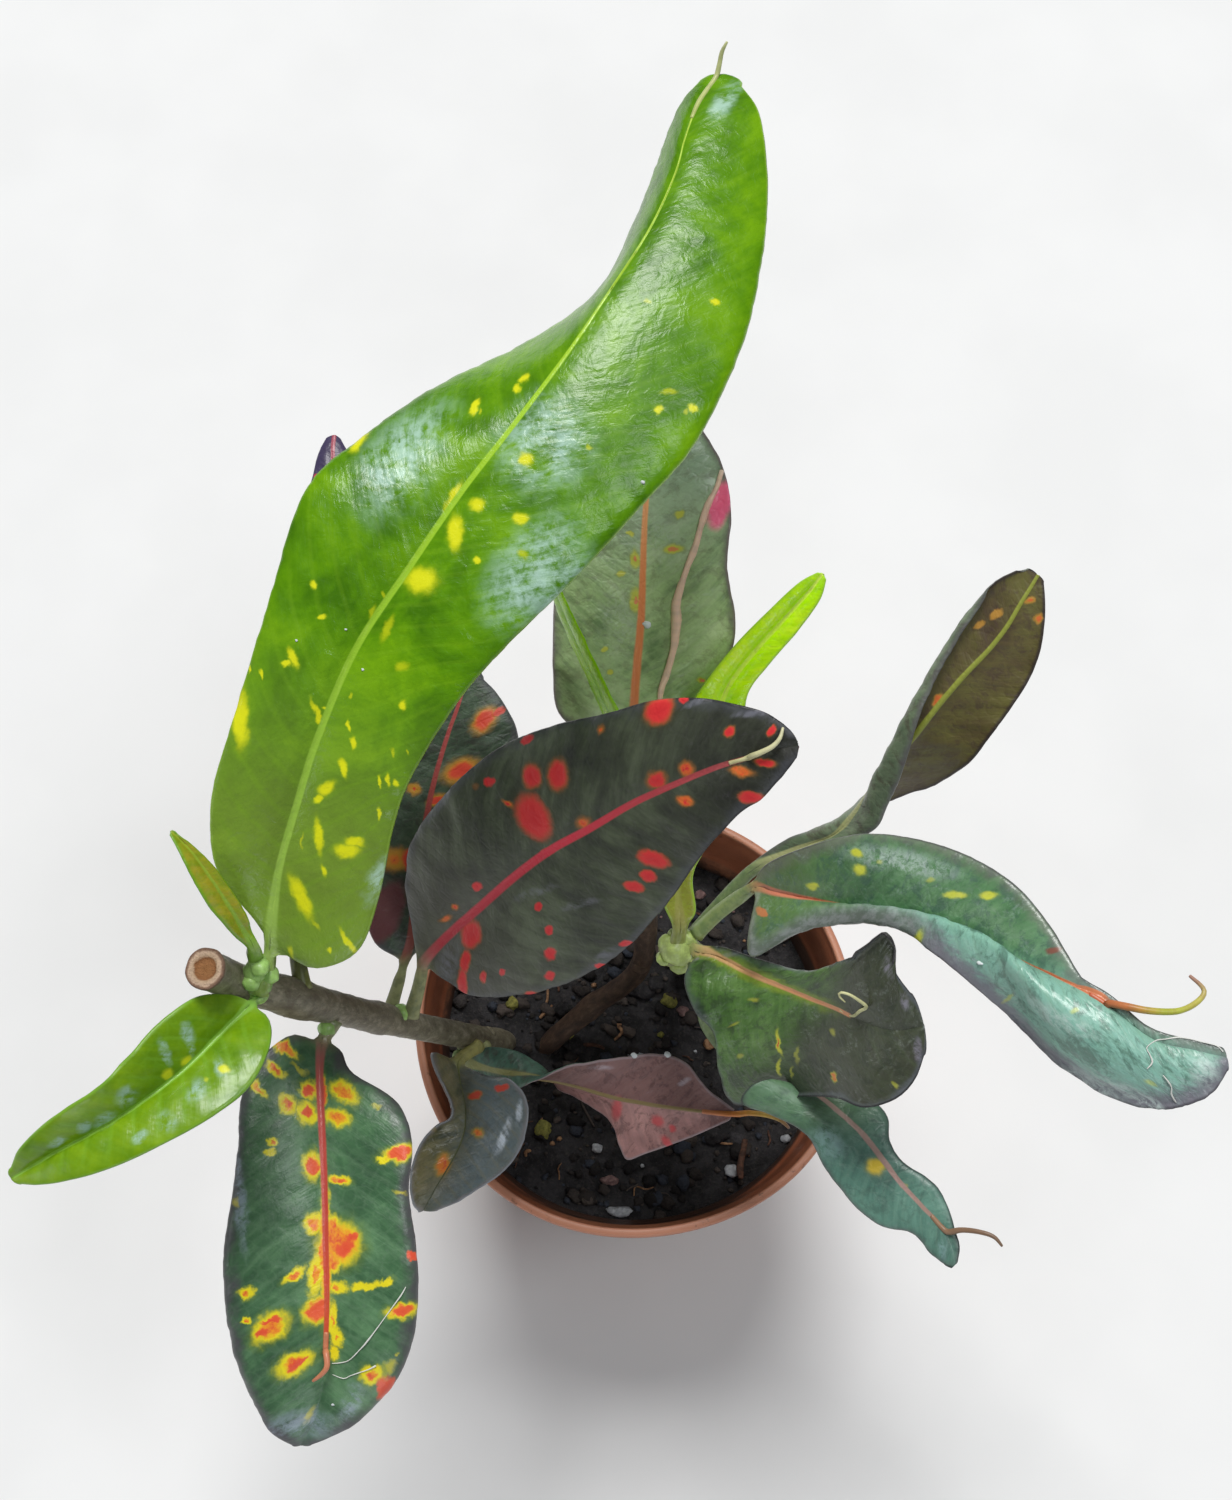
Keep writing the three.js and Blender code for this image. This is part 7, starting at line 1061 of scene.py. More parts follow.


# ================================================================ how each leaf looks
# In each look the sheen colour and its share set the painted sheen patches of the kind w spots.
LOOK = {
    # big_green_leaf: the olive-grey tint towards its foot is painted reflection.
    "big_green_leaf": dict(c1=(90, 144, 2), c2=(116, 168, 6), c3=(66, 116, 2), veincol=(126, 172, 30), vein_f=0.16, net_f=0.03, rim=(150, 190, 60), rim_f=0.7,
                           ring=(224, 226, 30), glow=(160, 190, 24), basecol=(136, 156, 66), base_to=(0.10, 0.34), base_f=0.6,
                           midrib=[(0.0, (150, 182, 84)), (0.3, (146, 190, 50)), (0.6, (166, 210, 46)), (1.0, (194, 224, 88))], midrib2=(178, 208, 96),
                           u1=(118, 150, 56), u2=(98, 134, 40), uvein=(150, 180, 90), umid=(150, 184, 90), uspots2=(190, 200, 70), uspots3=(200, 190, 70),
                           pet=(140, 166, 84), pet2=(164, 186, 112), awn=(182, 192, 110), awn2=(206, 208, 150), rough=0.27, coat=0.04, b1=0.32, b2=0.02, b3=0.04, b4=0.75, bs=0.6, bd=0.00022, wander=1.0, painted_sheen=(196, 230, 220), painted_sheen_f=0.66, spec=0.34, soft=0.16, streak=0.14, wiso=0.55, wsc=1.05),
    "small_olive_leaf": dict(c1=(140, 156, 30), c2=(176, 160, 44), c3=(110, 140, 26), veincol=(180, 180, 70), rim=(112, 164, 34), rim_f=0.9,
                             ring=(220, 220, 60), midrib=[(0.0, (130, 170, 60)), (1.0, (160, 180, 50))], u1=(130, 170, 50), u2=(104, 150, 36), umid=(150, 184, 80),
                             pet=(120, 160, 60), pet2=(150, 180, 90), awn=(170, 190, 90), rough=0.30, wander=0.4, bs=0.4),
    "medium_green_leaf": dict(c1=(112, 152, 12), c2=(134, 170, 22), c3=(88, 132, 8), veincol=(130, 182, 60), vein_f=0.22, rim=(130, 180, 66), rim_f=0.6,
                              ring=(218, 222, 40), midrib=[(0.0, (134, 182, 70)), (1.0, (140, 190, 60))], u1=(104, 160, 60), u2=(84, 140, 44), umid=(140, 184, 90),
                              pet=(128, 176, 80), pet2=(150, 190, 100), awn=(170, 190, 90), rough=0.31, coat=0.04, b1=0.6, b4=0.4, bs=0.35, wander=0.8, painted_sheen=(178, 212, 208), painted_sheen_f=0.72, b2=0.04, soft=0.14, spec=0.4, streak=0.2, wiso=0.6, wsc=0.9),
    "red_spotted_front_leaf": dict(c1=(68, 106, 72), c2=(96, 136, 96), c3=(50, 82, 56), veincol=(124, 156, 122), vein_f=0.14, margin=(84, 76, 86), mw=1.5, margin_f=0.8, rim=(70, 60, 68), rim_f=0.6, dust=(128, 140, 132), dust_f=0.12,
                                   ring=(234, 218, 36), glow=(126, 150, 50), orange=(240, 138, 46), orange2=(242, 176, 44), red=(226, 78, 54), red2=(234, 96, 58),
                                   midrib=[(0.0, (150, 110, 104)), (0.10, (186, 82, 76)), (0.4, (192, 66, 54)), (0.8, (208, 86, 52)), (1.0, (190, 110, 80))], midrib2=(176, 112, 100),
                                   u1=(96, 84, 76), u2=(78, 62, 66), umid=(170, 120, 90), uspots2=(150, 110, 60), uspots3=(160, 80, 60), tipcol=(104, 122, 116), tip_from=(0.86, 1.0), tip_f=0.5,
                                   pet=(150, 150, 110), pet2=(130, 140, 100), awn=(206, 130, 96), rough=0.34, b1=0.5, b2=0.05, b4=0.45, bs=0.8, wander=1.6, painted_sheen=(172, 184, 202), painted_sheen_f=0.6, soft=0.06, wiso=0.5),
    "hidden_purple_leaf": dict(c1=(58, 48, 70), c2=(76, 66, 92), c3=(42, 38, 54), margin=(70, 62, 96), mw=1.6, ring=(200, 120, 60), red=(190, 60, 80),
                               midrib=[(0.0, (150, 60, 80)), (1.0, (160, 60, 80))], u1=(96, 60, 72), u2=(76, 48, 62), umid=(150, 90, 90),
                               pet=(128, 132, 70), pet2=(110, 110, 70), awn=(150, 80, 80), rough=0.36, wander=1.0, bs=0.5),
    "spotted_back_left_leaf": dict(c1=(64, 82, 64), c2=(92, 108, 88), c3=(46, 54, 44), margin=(88, 84, 94), mw=1.2, margin_f=0.6, ring=(206, 148, 50), orange=(232, 128, 50), red=(218, 66, 58), red2=(226, 84, 58), dust=(120, 120, 120), dust_f=0.3,
                                   patch=(112, 62, 66), midrib=[(0.0, (150, 80, 70)), (1.0, (170, 70, 70))], u1=(112, 70, 66), u2=(92, 58, 58), umid=(150, 100, 80), uspots="",
                                   pet=(146, 148, 104), pet2=(120, 124, 84), awn=(160, 90, 80), rough=0.40, wander=1.0, bs=0.5, b4=0.45, mot=(54, 48, 46), mot_f=0.5, soft=0.12),
    # small_cupped_leaf: the bluish-grey wash over one half and the pale rim are painted sheen.
    "small_cupped_leaf": dict(c1=(108, 104, 64), c2=(138, 128, 90), c3=(70, 72, 46), margin=(132, 124, 126), mw=0.7, margin_f=0.7, ring=(176, 150, 62), ring_f=0.8, glow=(120, 110, 66), orange=(226, 126, 48), red=(206, 76, 60), faint_f=0.4, dust=(136, 144, 150), dust_f=0.35,
                              midrib=[(0.0, (140, 146, 100)), (0.3, (106, 110, 78)), (1.0, (88, 94, 70))], u1=(120, 104, 96), u2=(96, 84, 80), umid=(150, 150, 110), leftcol=(104, 122, 134), left_f=0.72, lr=4.5,
                              pet=(176, 170, 104), pet2=(150, 146, 92), awn=(160, 120, 90), rough=0.32, wander=0.9, bs=0.5, b4=0.45, painted_sheen=(226, 236, 248), painted_sheen_f=0.8, midrib2=(108, 112, 84), mot=(50, 54, 44), mot_f=0.25, soft=0.12, wiso=0.4, rim=(150, 160, 170), rim_f=0.5),
    # dark_red_veined_leaf: the grey wash towards its foot is painted sheen.
    "dark_red_veined_leaf": dict(c1=(71, 78, 61), c2=(101, 111, 87), c3=(48, 52, 45), veincol=(84, 86, 78), vein_f=0.06, margin=(84, 86, 94), mw=1.0, margin_f=0.55, rim=(24, 22, 24), rim_f=0.8, dust=(104, 96, 108), dust_f=0.14,
                                 ring=(160, 104, 50), ring_f=0.9, glow=(78, 74, 48), orange=(232, 108, 50), orange2=(206, 116, 54), red=(220, 44, 54), red2=(230, 60, 60),
                                 midrib=[(0.0, (170, 112, 106)), (0.08, (190, 62, 72)), (0.5, (226, 58, 78)), (0.85, (170, 74, 78)), (1.0, (160, 96, 84))], midrib2=(206, 92, 102),
                                 u1=(96, 58, 62), u2=(76, 44, 50), umid=(150, 96, 80), uspots=(150, 60, 60),
                                 pet=(150, 152, 108), pet2=(124, 130, 92), awn=(206, 200, 146), awn2=(226, 222, 180), rough=0.42, b1=0.25, b4=0.4, bs=0.6, wander=0.8, cloud=0.13, tipcol=(36, 34, 32), tip_from=(0.55, 1.0), tip_f=0.8, painted_sheen=(150, 150, 166), painted_sheen_f=0.4, basecol=(98, 96, 88), base_to=(0.10, 0.42), base_f=0.6, spec=0.32, soft=0.10, grain_f=0.10, wiso=0.3, wsc=0.8),
    # maroon_twisted_leaf: the dark towards the foot of its underside is painted shade.
    "maroon_twisted_leaf": dict(c1=(78, 112, 96), c2=(96, 130, 112), c3=(60, 90, 78), ring=(200, 120, 60), red=(216, 76, 66), halo=(140, 130, 84), hw=0.6, halo_f=0.5,
                                midrib=[(0.0, (150, 150, 100)), (1.0, (150, 140, 80))], u1=(209, 157, 151), u2=(154, 112, 109), uvein=(150, 120, 120), umargin=(160, 140, 144), umw=0.5, umid=(146, 128, 84), uspots=(220, 84, 88),
                                pet=(150, 154, 108), pet2=(120, 130, 92), awn=(216, 130, 60), awng=[(0.0, (206, 130, 90)), (0.35, (222, 132, 60)), (0.7, (206, 170, 74)), (1.0, (140, 110, 90))], rough=0.40, wander=0.8, bs=0.8, b4=0.9, useg=(1, (92, 66, 64), 0.6), mot=(74, 48, 48), mot_f=0.5, usoft=0.25, ubase=((74, 56, 50), 0.22, 0.58, 0.72), painted_sheen=(206, 196, 206), painted_sheen_f=0.6, wiso=0.3),
    "long_twisted_leaf": dict(c1=(92, 138, 92), c2=(118, 160, 114), c3=(68, 106, 72), veincol=(124, 158, 126), vein_f=0.16, margin=(124, 118, 116), mw=1.4, margin_f=0.6, rim=(60, 54, 62), rim_f=0.7, ring=(216, 220, 76), glow=(140, 172, 80), orange=(226, 140, 60), red=(140, 86, 72),
                              rightcol=(147, 200, 184), right_f=0.8, tipcol=(146, 186, 178), tip_from=(0.55, 0.8), tip_f=0.5, dust=(176, 196, 190), dust_f=0.28, midrib=[(0.0, (214, 130, 106)), (0.3, (214, 130, 96)), (0.6, (206, 120, 80)), (0.8, (214, 130, 90)), (1.0, (180, 190, 70))], midrib2=(214, 150, 110),
                              u1=(106, 132, 122), u2=(84, 106, 98), uvein=(130, 144, 144), umid=(180, 150, 100), umargin=(150, 140, 152), umw=1.2, pet=(150, 168, 108), pet2=(128, 150, 96), awn=(206, 130, 84), awng=[(0.0, (206, 104, 72)), (0.32, (196, 122, 70)), (0.55, (176, 190, 60)), (0.78, (196, 190, 90)), (1.0, (176, 136, 120))], rough=0.32, coat=0.08, b4=0.8, bs=0.6, wander=0.7, painted_sheen=(214, 232, 226), painted_sheen_f=0.6, band=(118, 130, 118), band2=(160, 166, 164), band_w=(3.6, -0.1, 0.46), band_f=0.9, mot=(72, 104, 90), mot_f=0.65, low=(122, 116, 130), low_w=(3.0, 0.34, 1.1), low_f=0.8, patch=(214, 130, 84), soft=0.12, b1=0.35, red2=(130, 92, 78), wiso=1, basecol=(98, 124, 66), base_to=(0.06, 0.28), base_f=0.75, right_v=(0.20, 0.36)),
    "curled_green_leaf": dict(c1=(86, 126, 58), c2=(114, 152, 82), c3=(54, 80, 44), veincol=(112, 134, 98), margin=(104, 108, 120), mw=0.9, margin_f=0.55, rim=(26, 23, 26), rim_f=0.85, ring=(206, 206, 70), glow=(136, 156, 60), orange=(226, 132, 60), red=(206, 80, 60), dust=(150, 160, 150), dust_f=0.3,
                              halo=(146, 168, 50), hw=1.3, halo_f=0.75, halo_v=(0.5, 0.75), tipcol=(67, 65, 57), tip_from=(0.42, 0.74), tip_f=0.9,
                              midrib=[(0.0, (216, 178, 124)), (0.5, (226, 156, 110)), (1.0, (206, 140, 104))], midrib2=(226, 190, 140), u1=(84, 82, 78), u2=(66, 64, 62), umid=(180, 150, 110), umargin=(40, 36, 40), umw=0.5,
                              pet=(170, 180, 110), pet2=(150, 160, 100), awn=(216, 214, 160), rough=0.34, b4=0.6, bs=0.65, wander=0.8, mot=(48, 56, 44), mot_f=0.5, soft=0.12, wiso=0.4, vein_f=0.05, net_f=0.03, painted_sheen=(160, 154, 172), painted_sheen_f=0.7),
    "brown_backed_leaf": dict(c1=(108, 124, 98), c2=(132, 146, 120), c3=(90, 106, 84), ring=(196, 190, 60), orange=(216, 124, 56), red=(214, 92, 56), margin=(96, 88, 98), mw=0.6, margin_f=0.6,
                              midrib=[(0.0, (176, 176, 130)), (1.0, (140, 150, 60))], u1=(106, 102, 50), u2=(80, 64, 44), uvein=(116, 100, 60), umargin=(52, 42, 44), umw=0.6, umid=(150, 158, 62), uspots="", uspots2=(206, 150, 56), uspots3=(222, 104, 50),
                              pet=(140, 158, 112), pet2=(120, 140, 100), awn=(150, 140, 90), rough=0.36, wander=0.9, bs=0.5, b4=0.45, mot=(70, 50, 48), mot_f=0.5, wiso=1, streak=0.3),
    "teal_lower_leaf": dict(c1=(86, 126, 112), c2=(108, 150, 134), c3=(64, 96, 86), veincol=(120, 148, 128), margin=(84, 92, 90), mw=0.6, margin_f=0.5, rim=(34, 38, 38), rim_f=0.8, ring=(222, 192, 60), glow=(150, 160, 86), basecol=(96, 126, 76), base_to=(0.15, 0.45), base_f=0.6, dust=(150, 168, 160), dust_f=0.15,
                            midrib=[(0.0, (176, 150, 136)), (0.6, (172, 140, 132)), (1.0, (150, 120, 100))], u1=(110, 128, 112), u2=(92, 110, 96), umid=(170, 140, 120),
                            pet=(140, 160, 116), pet2=(120, 140, 104), awn=(156, 120, 92), awn2=(120, 96, 76), rough=0.38, b4=0.45, bs=0.55, wander=0.7, painted_sheen=(150, 180, 184), painted_sheen_f=0.4, mot=(60, 80, 74), mot_f=0.4, soft=0.12, b1=0.3, wiso=1, vein_f=0.12),
    # grey_green_back_leaf: the lighter greyish colour towards its tip is painted sheen.
    "grey_green_back_leaf": dict(c1=(166, 192, 134), c2=(190, 210, 158), c3=(116, 142, 96), veincol=(140, 154, 122), margin=(112, 104, 104), mw=0.8, margin_f=0.6, rim=(120, 104, 106), ring=(200, 200, 84), glow=(140, 156, 90), orange=(226, 140, 90), red=(255, 96, 140), dust=(150, 150, 140), dust_f=0.15,
                                 midrib=[(0.0, (216, 124, 82)), (0.5, (236, 142, 88)), (0.75, (240, 176, 120)), (1.0, (206, 170, 120))], midrib2=(244, 176, 120),
                                 u1=(120, 122, 104), u2=(100, 104, 90), umid=(170, 130, 100), pet=(150, 120, 90), pet2=(130, 130, 96), awn=(255, 226, 204), rough=0.34, coat=0.1, b4=0.45, bs=0.65, wander=0.8, painted_sheen=(190, 200, 180), painted_sheen_f=0.4, mot=(84, 70, 58), mot_f=0.32, awn2=(246, 206, 182), soft=0.05, red2=(255, 116, 156), wiso=1, tipcol=(150, 172, 160), tip_from=(0.45, 0.8), tip_f=0.6),
    "lime_narrow_leaf": dict(c1=(196, 250, 8), c2=(214, 252, 40), c3=(170, 234, 6), veincol=(192, 226, 80), rim=(160, 206, 54), ring=(220, 226, 60), basecol=(150, 144, 66), base_to=(0.18, 0.42), base_f=0.9,
                             midrib=[(0.0, (160, 150, 90)), (0.4, (206, 244, 60)), (1.0, (220, 250, 90))], u1=(190, 236, 60), u2=(166, 220, 40), umid=(206, 240, 90),
                             pet=(160, 168, 96), pet2=(140, 150, 80), awn=(190, 208, 100), rough=0.28, coat=0.1, wander=0.4, bs=0.5, b4=0.4),
    "thin_lime_leaf": dict(c1=(160, 224, 24), c2=(186, 240, 60), c3=(128, 198, 16), ring=(220, 226, 60), midrib=[(0.0, (136, 204, 30)), (1.0, (150, 216, 36))],
                           u1=(150, 214, 34), u2=(124, 192, 24), umid=(170, 224, 70), pet=(136, 204, 40), pet2=(118, 188, 24), awn=(190, 208, 100), rough=0.30, wander=0.4, bs=0.4, midrib2=(172, 230, 70), spec=0.3),
}
SHAPE = {
    "big_green_leaf": dict(mid=0.36, ridge=0.42, vein=3.0, cot=0.75, quilt=0.07, wave=0.05, cols=18, step=0.6, tip=0.7, skin=0.5, seed=1.2, groove=0.25, awnr=0.85, rolls=[(-1, 0.05, 0.95, 0.15, 1.5, -25), (1, 0.1, 0.92, 0.15, 1.4, -32)]),
    "small_olive_leaf": dict(mid=0.32, quilt=0.06, wave=0.10, vein=2.0, cols=11, step=0.45, seed=2.1, skin=0.36, groove=0.2),
    "medium_green_leaf": dict(mid=0.34, ridge=0.3, quilt=0.24, wave=0.22, vein=2.6, cot=0.8, cols=14, step=0.45, seed=3.3, groove=0.2, tip=0.85),
    "red_spotted_front_leaf": dict(mid=0.44, quilt=0.10, wave=0.22, vein=3.0, cot=0.5, cols=18, step=0.5, seed=4.7, groove=0.15, rolls=[(-1, 0.06, 0.96, 0.1, 1.4, -50), (1, 0.06, 0.96, 0.1, 1.4, -50)]),
    "hidden_purple_leaf": dict(mid=0.5, quilt=0.14, wave=0.30, vein=3.0, cols=12, step=0.8, seed=5.9),
    "spotted_back_left_leaf": dict(mid=0.5, quilt=0.15, wave=0.25, vein=3.0, cols=14, step=0.6, seed=6.4, rolls=[(-1, 0.1, 1.0, 0.1, 1.3, -45)]),
    "small_cupped_leaf": dict(mid=0.24, ridge=0.2, quilt=0.14, wave=0.25, vein=2.4, cols=15, step=0.4, seed=7.7, rolls=[(1, 0.1, 1.0, 0.1, 1.1, 40), (-1, 0.1, 1.0, 0.1, 0.9, 45)]),
    "dark_red_veined_leaf": dict(mid=0.62, ridge=0.5, quilt=0.10, wave=0.30, vein=3.4, cot=0.6, cols=19, step=0.5, seed=8.8, groove=0.15, awnr=0.9, rolls=[(-1, 0.05, 0.85, 0.2, 1.1, -40), (1, 0.05, 0.75, 0.2, 1.1, -40)], tip=0.10),
    "maroon_twisted_leaf": dict(mid=0.32, quilt=0.10, wave=0.25, vein=2.8, cols=15, step=0.45, seed=9.1, tip=0.2, awnr=1.1),
    "long_twisted_leaf": dict(mid=0.5, quilt=0.15, wave=0.16, vein=3.0, cols=20, step=0.5, seed=10.5, tip=0.3, awnr=1.15, rolls=[(1, -0.02, 0.44, 0.06, 1.0, -70), (1, 0.55, 1.0, 0.08, 1.3, 60), (-1, 0.1, 1.0, 0.1, 1.0, -40)]),
    "curled_green_leaf": dict(mid=0.60, quilt=0.15, wave=0.22, vein=2.8, cols=17, step=0.45, seed=11.2, tip=0.2, awnr=0.55, rolls=[(-1, 0.10, 0.62, 0.12, 1.1, -40), (-1, 0.58, 1.0, 0.14, 1.5, 120), (1, 0.5, 1.0, 0.12, 1.0, 100), (1, 0.1, 0.5, 0.1, 0.9, -35)], ridge=0.5),
    "brown_backed_leaf": dict(mid=0.42, quilt=0.14, wave=0.18, vein=3.0, cols=15, step=0.5, seed=12.6, rolls=[(1, 0.1, 1.0, 0.1, 0.9, -50), (-1, 0.1, 1.0, 0.1, 0.8, -40)]),
    "teal_lower_leaf": dict(mid=0.38, quilt=0.13, wave=0.22, vein=2.4, cols=15, step=0.45, seed=13.4, tip=0.3, rolls=[(-1, 0.1, 1.0, 0.1, 0.9, -40), (1, 0.1, 1.0, 0.1, 0.9, -45)]),
    "grey_green_back_leaf": dict(mid=0.62, ridge=0.6, quilt=0.22, wave=0.32, vein=3.2, cols=17, step=0.55, seed=14.9, tip=0.3, rolls=[(1, 0.1, 1.0, 0.1, 1.2, 45)], awnr=1.0),
    "lime_narrow_leaf": dict(mid=0.4, quilt=0.10, wave=0.15, vein=2.6, cols=12, step=0.6, seed=15.3, groove=0.4, tip=0.4),
    "thin_lime_leaf": dict(mid=0.3, quilt=0.05, wave=0.10, vein=2.4, cols=10, step=0.6, seed=16.8),
}


def place(ob, node):
    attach(ob, "root")
    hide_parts(node)
    return ob


silk = NB("silk_thread").fin(lin((226, 226, 220)), 0.4, 0.5)
fleck = NB("white_fleck").fin(lin((214, 220, 222)), 0.5, 0.5)

made = {}
for sp in LEAVES:
    sp.update(SHAPE[sp["name"]])
    sp["look"] = LOOK[sp["name"]]
    sh, info = leaf_piece(sp)
    mat = leaf_material(sp["name"] + "_skin", sp)
    st = sp["look"]
    aw = NB(sp["name"] + "_awn")
    a_ = aw.attr("lfA")
    sx = aw.sep(a_.outputs["Vector"])[0]
    nz = aw.noise(aw.comb(aw.math("MULTIPLY", sx, 0.8), 0.0, sp["seed"]), 1.0, 3.0, 0.6)
    run = aw.math("ADD", aw.math("DIVIDE", sx, info["alen"]), aw.math("MULTIPLY", aw.math("SUBTRACT", nz, 0.5), 0.12))
    tint = aw.ramp(run, [(q, lin(c)) for q, c in st.get("awng", [(0.0, st["awn"]), (1.0, st.get("awn2", st["awn"]))])])
    awm = aw.fin(aw.mix(aw.ss(nz, 0.40, 0.70, 0.0, 0.35), tint, lin(st["awn"], 0.72)), 0.38, 0.5, 0.0, 0.2, aw.bump(nz, 0.3, 0.0001))
    ob = sh.make("leaf_" + sp["name"], [mat, awm, fleck, silk])
    place(ob, sp["name"])
    made[sp["name"]] = info

# ================================================================ stems
def bark_material(name, c1, c2, c3, green, rough):
    b = NB(name)
    A, B = b.attr("lfA"), b.attr("lfB")
    s, ang, r = b.sep(A.outputs["Vector"])
    kind, cx, cy = b.sep(B.outputs["Vector"])
    tc = b.vmath("MULTIPLY", b.node("ShaderNodeTexCoord").outputs["Object"], (1000.0, 1000.0, 1000.0))
    along = b.comb(b.math("MULTIPLY", s, 0.22), b.math("MULTIPLY", cx, 1.1), b.math("MULTIPLY", cy, 1.1))
    n1 = b.noise(along, 1.6, 4.0, 0.65)
    n2 = b.noise(along, 5.5, 4.0, 0.7)
    n3 = b.noise(tc, 0.8, 3.0, 0.6)
    col = b.ramp(b.math("ADD", b.math("MULTIPLY", n1, 0.6), b.math("MULTIPLY", n3, 0.4)), [(0.36, lin(c3)), (0.5, lin(c1)), (0.64, lin(c2))])
    col = b.mix(b.ss(n2, 0.52, 0.70, 0.0, 0.5), col, lin(c3, 0.8))
    fleck_ = b.noise(b.comb(b.math("MULTIPLY", s, 1.1), b.math("MULTIPLY", cx, 3.4), b.math("MULTIPLY", cy, 3.4)), 1.0, 4.0, 0.75)
    col = b.mix(b.ss(fleck_, 0.58, 0.70, 0.0, 0.5), col, lin(c2, 1.12))
    gk = b.ss(kind, 0.3, 0.8)
    gc = b.mix(b.ss(n3, 0.4, 0.65), lin(green), lin(green, 1.18))
    gc = b.mix(b.ss(n2, 0.5, 0.75, 0.0, 0.4), gc, lin(green, 0.75))
    col = b.mix(gk, col, gc)
    hh = b.math("ADD", b.math("MULTIPLY", n2, 1.0), b.math("MULTIPLY", n1, 0.7))
    return b.fin(col, b.math("SUBTRACT", rough, b.math("MULTIPLY", gk, 0.16)), 0.45, 0.0, 0.2, b.bump(hh, 0.45, 0.0002))


def cut_material():
    b = NB("cut_wood")
    A = b.attr("lfA")
    x, y, z = b.sep(A.outputs["Vector"])
    tc = b.vmath("MULTIPLY", b.node("ShaderNodeTexCoord").outputs["Object"], (1000.0, 1000.0, 1000.0))
    n1 = b.noise(tc, 1.5, 4.0, 0.65)
    q = b.math("ADD", x, b.math("MULTIPLY", b.math("SUBTRACT", n1, 0.5), 0.22))
    col = b.ramp(q, [(0.0, lin((150, 104, 62))), (0.30, lin((166, 116, 74))), (0.52, lin((148, 100, 62))), (0.62, lin((206, 176, 146))), (0.80, lin((216, 186, 160))), (0.88, lin((150, 118, 98))), (1.0, lin((120, 96, 80)))])
    n2 = b.noise(tc, 5.0, 4.0, 0.7)
    col = b.mix(b.ss(n2, 0.5, 0.75, 0.0, 0.5), col, lin((120, 80, 50)))
    return b.fin(col, 0.85, 0.3, 0.0, 0.2, b.bump(b.math("ADD", n2, n1), 0.8, 0.0004))


def lathe(shell, prof, centre, axis, sides=40, mat=0, wobble=0.0, seed=1.0):
    """A closed turned shell round an axis; prof is [(radius, height)] from axis to axis. lfA.x is the radius share."""
    z = unit(np.array(axis, float))
    x = unit(np.cross([0.31, 0.77, 0.2], z)); y = np.cross(z, x)
    ang = np.linspace(0, 2 * math.pi, sides, endpoint=False)
    R = max(p[0] for p in prof)
    verts, A = [np.array(centre) + z * prof[0][1]], [[0, 0, 0]]
    for (r, h) in prof[1:-1]:
        k = 1 + wobble * wob(ang * 2 + seed, seed)
        for a, kk in zip(ang, k):
            verts.append(np.array(centre) + (x * math.cos(a) + y * math.sin(a)) * r * kk + z * h)
            A.append([r / R, a / 6.2832, h])
    verts.append(np.array(centre) + z * prof[-1][1]); A.append([0, 0, 0])
    faces = []
    m = len(prof) - 2
    for k in range(sides):
        k2 = (k + 1) % sides
        faces.append((0, 1 + k2, 1 + k))
        for j in range(m - 1):
            a, b_ = 1 + j * sides + k, 1 + j * sides + k2
            faces.append((a, b_, b_ + sides, a + sides))
        faces.append((1 + (m - 1) * sides + k, 1 + (m - 1) * sides + k2, len(verts) - 1))
    shell.add(verts, faces, A, None, None, mat)


def knots(base, n, bumps):
    """Radii along a stem: a base radius with swellings (share along, extra, width)."""
    x = np.linspace(0, 1, n)
    r = np.interp(x, np.linspace(0, 1, len(base)), base)
    for c, e, w_ in bumps:
        r = r + e * np.exp(-((x - c) / w_) ** 2)
    return r


def fine_line(pts, n):
    P = np.array(pts, float)
    t = np.linspace(0, len(P) - 1, 400)
    Q = catmull(P, t)
    s = np.concatenate([[0], np.cumsum(np.linalg.norm(np.diff(Q, axis=0), axis=1))])
    return catmull(P, np.interp(np.linspace(0, s[-1], n), s, t))


m_bark = bark_material("main_bark", (118, 112, 92), (152, 144, 124), (96, 86, 72), (142, 178, 98), 0.52)
m_green = bark_material("right_bark", (140, 150, 96), (168, 172, 118), (116, 122, 78), (168, 186, 110), 0.5)
m_back = bark_material("back_bark", (84, 66, 54), (108, 86, 70), (62, 50, 44), (130, 132, 84), 0.7)
m_cut = cut_material()
EXTRA = STEM_EXTRAS

sh = Shell()
line = fine_line(MAIN_STEM, 60)
rad = knots([1.7, 1.75, 1.72, 1.66, 1.72, 1.8, 1.86, 1.9], 60, [(0.17, 0.28, 0.03), (0.60, 0.22, 0.03), (0.84, 0.30, 0.035)])
_, T_ = tube(sh, line, rad, 26, 0.5, 0, 0.0, 0.05, 1.3, cap=0.04)
end, ax = line[-1], unit(line[-1] - line[-2])
R_ = 1.93
lathe(sh, [(0, -0.5), (R_ * 0.9, -0.5), (R_ * 1.0, -0.25), (R_ * 1.03, 0.02), (R_ * 1.0, 0.16), (R_ * 0.93, 0.2), (R_ * 0.86, 0.13), (R_ * 0.78, 0.16), (R_ * 0.62, 0.15), (R_ * 0.55, 0.02), (R_ * 0.42, -0.06), (R_ * 0.22, -0.02), (R_ * 0.08, 0.0), (0, 0.0)],
      end + ax * 0.16, ax, 44, 1, 0.05, 2.2)
g = fine_line(GREEN_SHOOT, 30)
rad = knots([1.25, 1.1, 1.0, 0.9], 30, [(0.30, 0.32, 0.07), (0.55, 0.28, 0.07), (0.80, 0.30, 0.07)])
tube(sh, g, rad, 22, 0.3, 0, 1.0, 0.10, 2.7)
for (p, size, axis, kind, tone) in EXTRA["main_stem"]:
    blob(sh, p, size, axis, 0, kind, 0.08, p[0] * 0.37, 3, tone)
place(sh.make("stem_main", [m_bark, m_cut]), "main_stem")

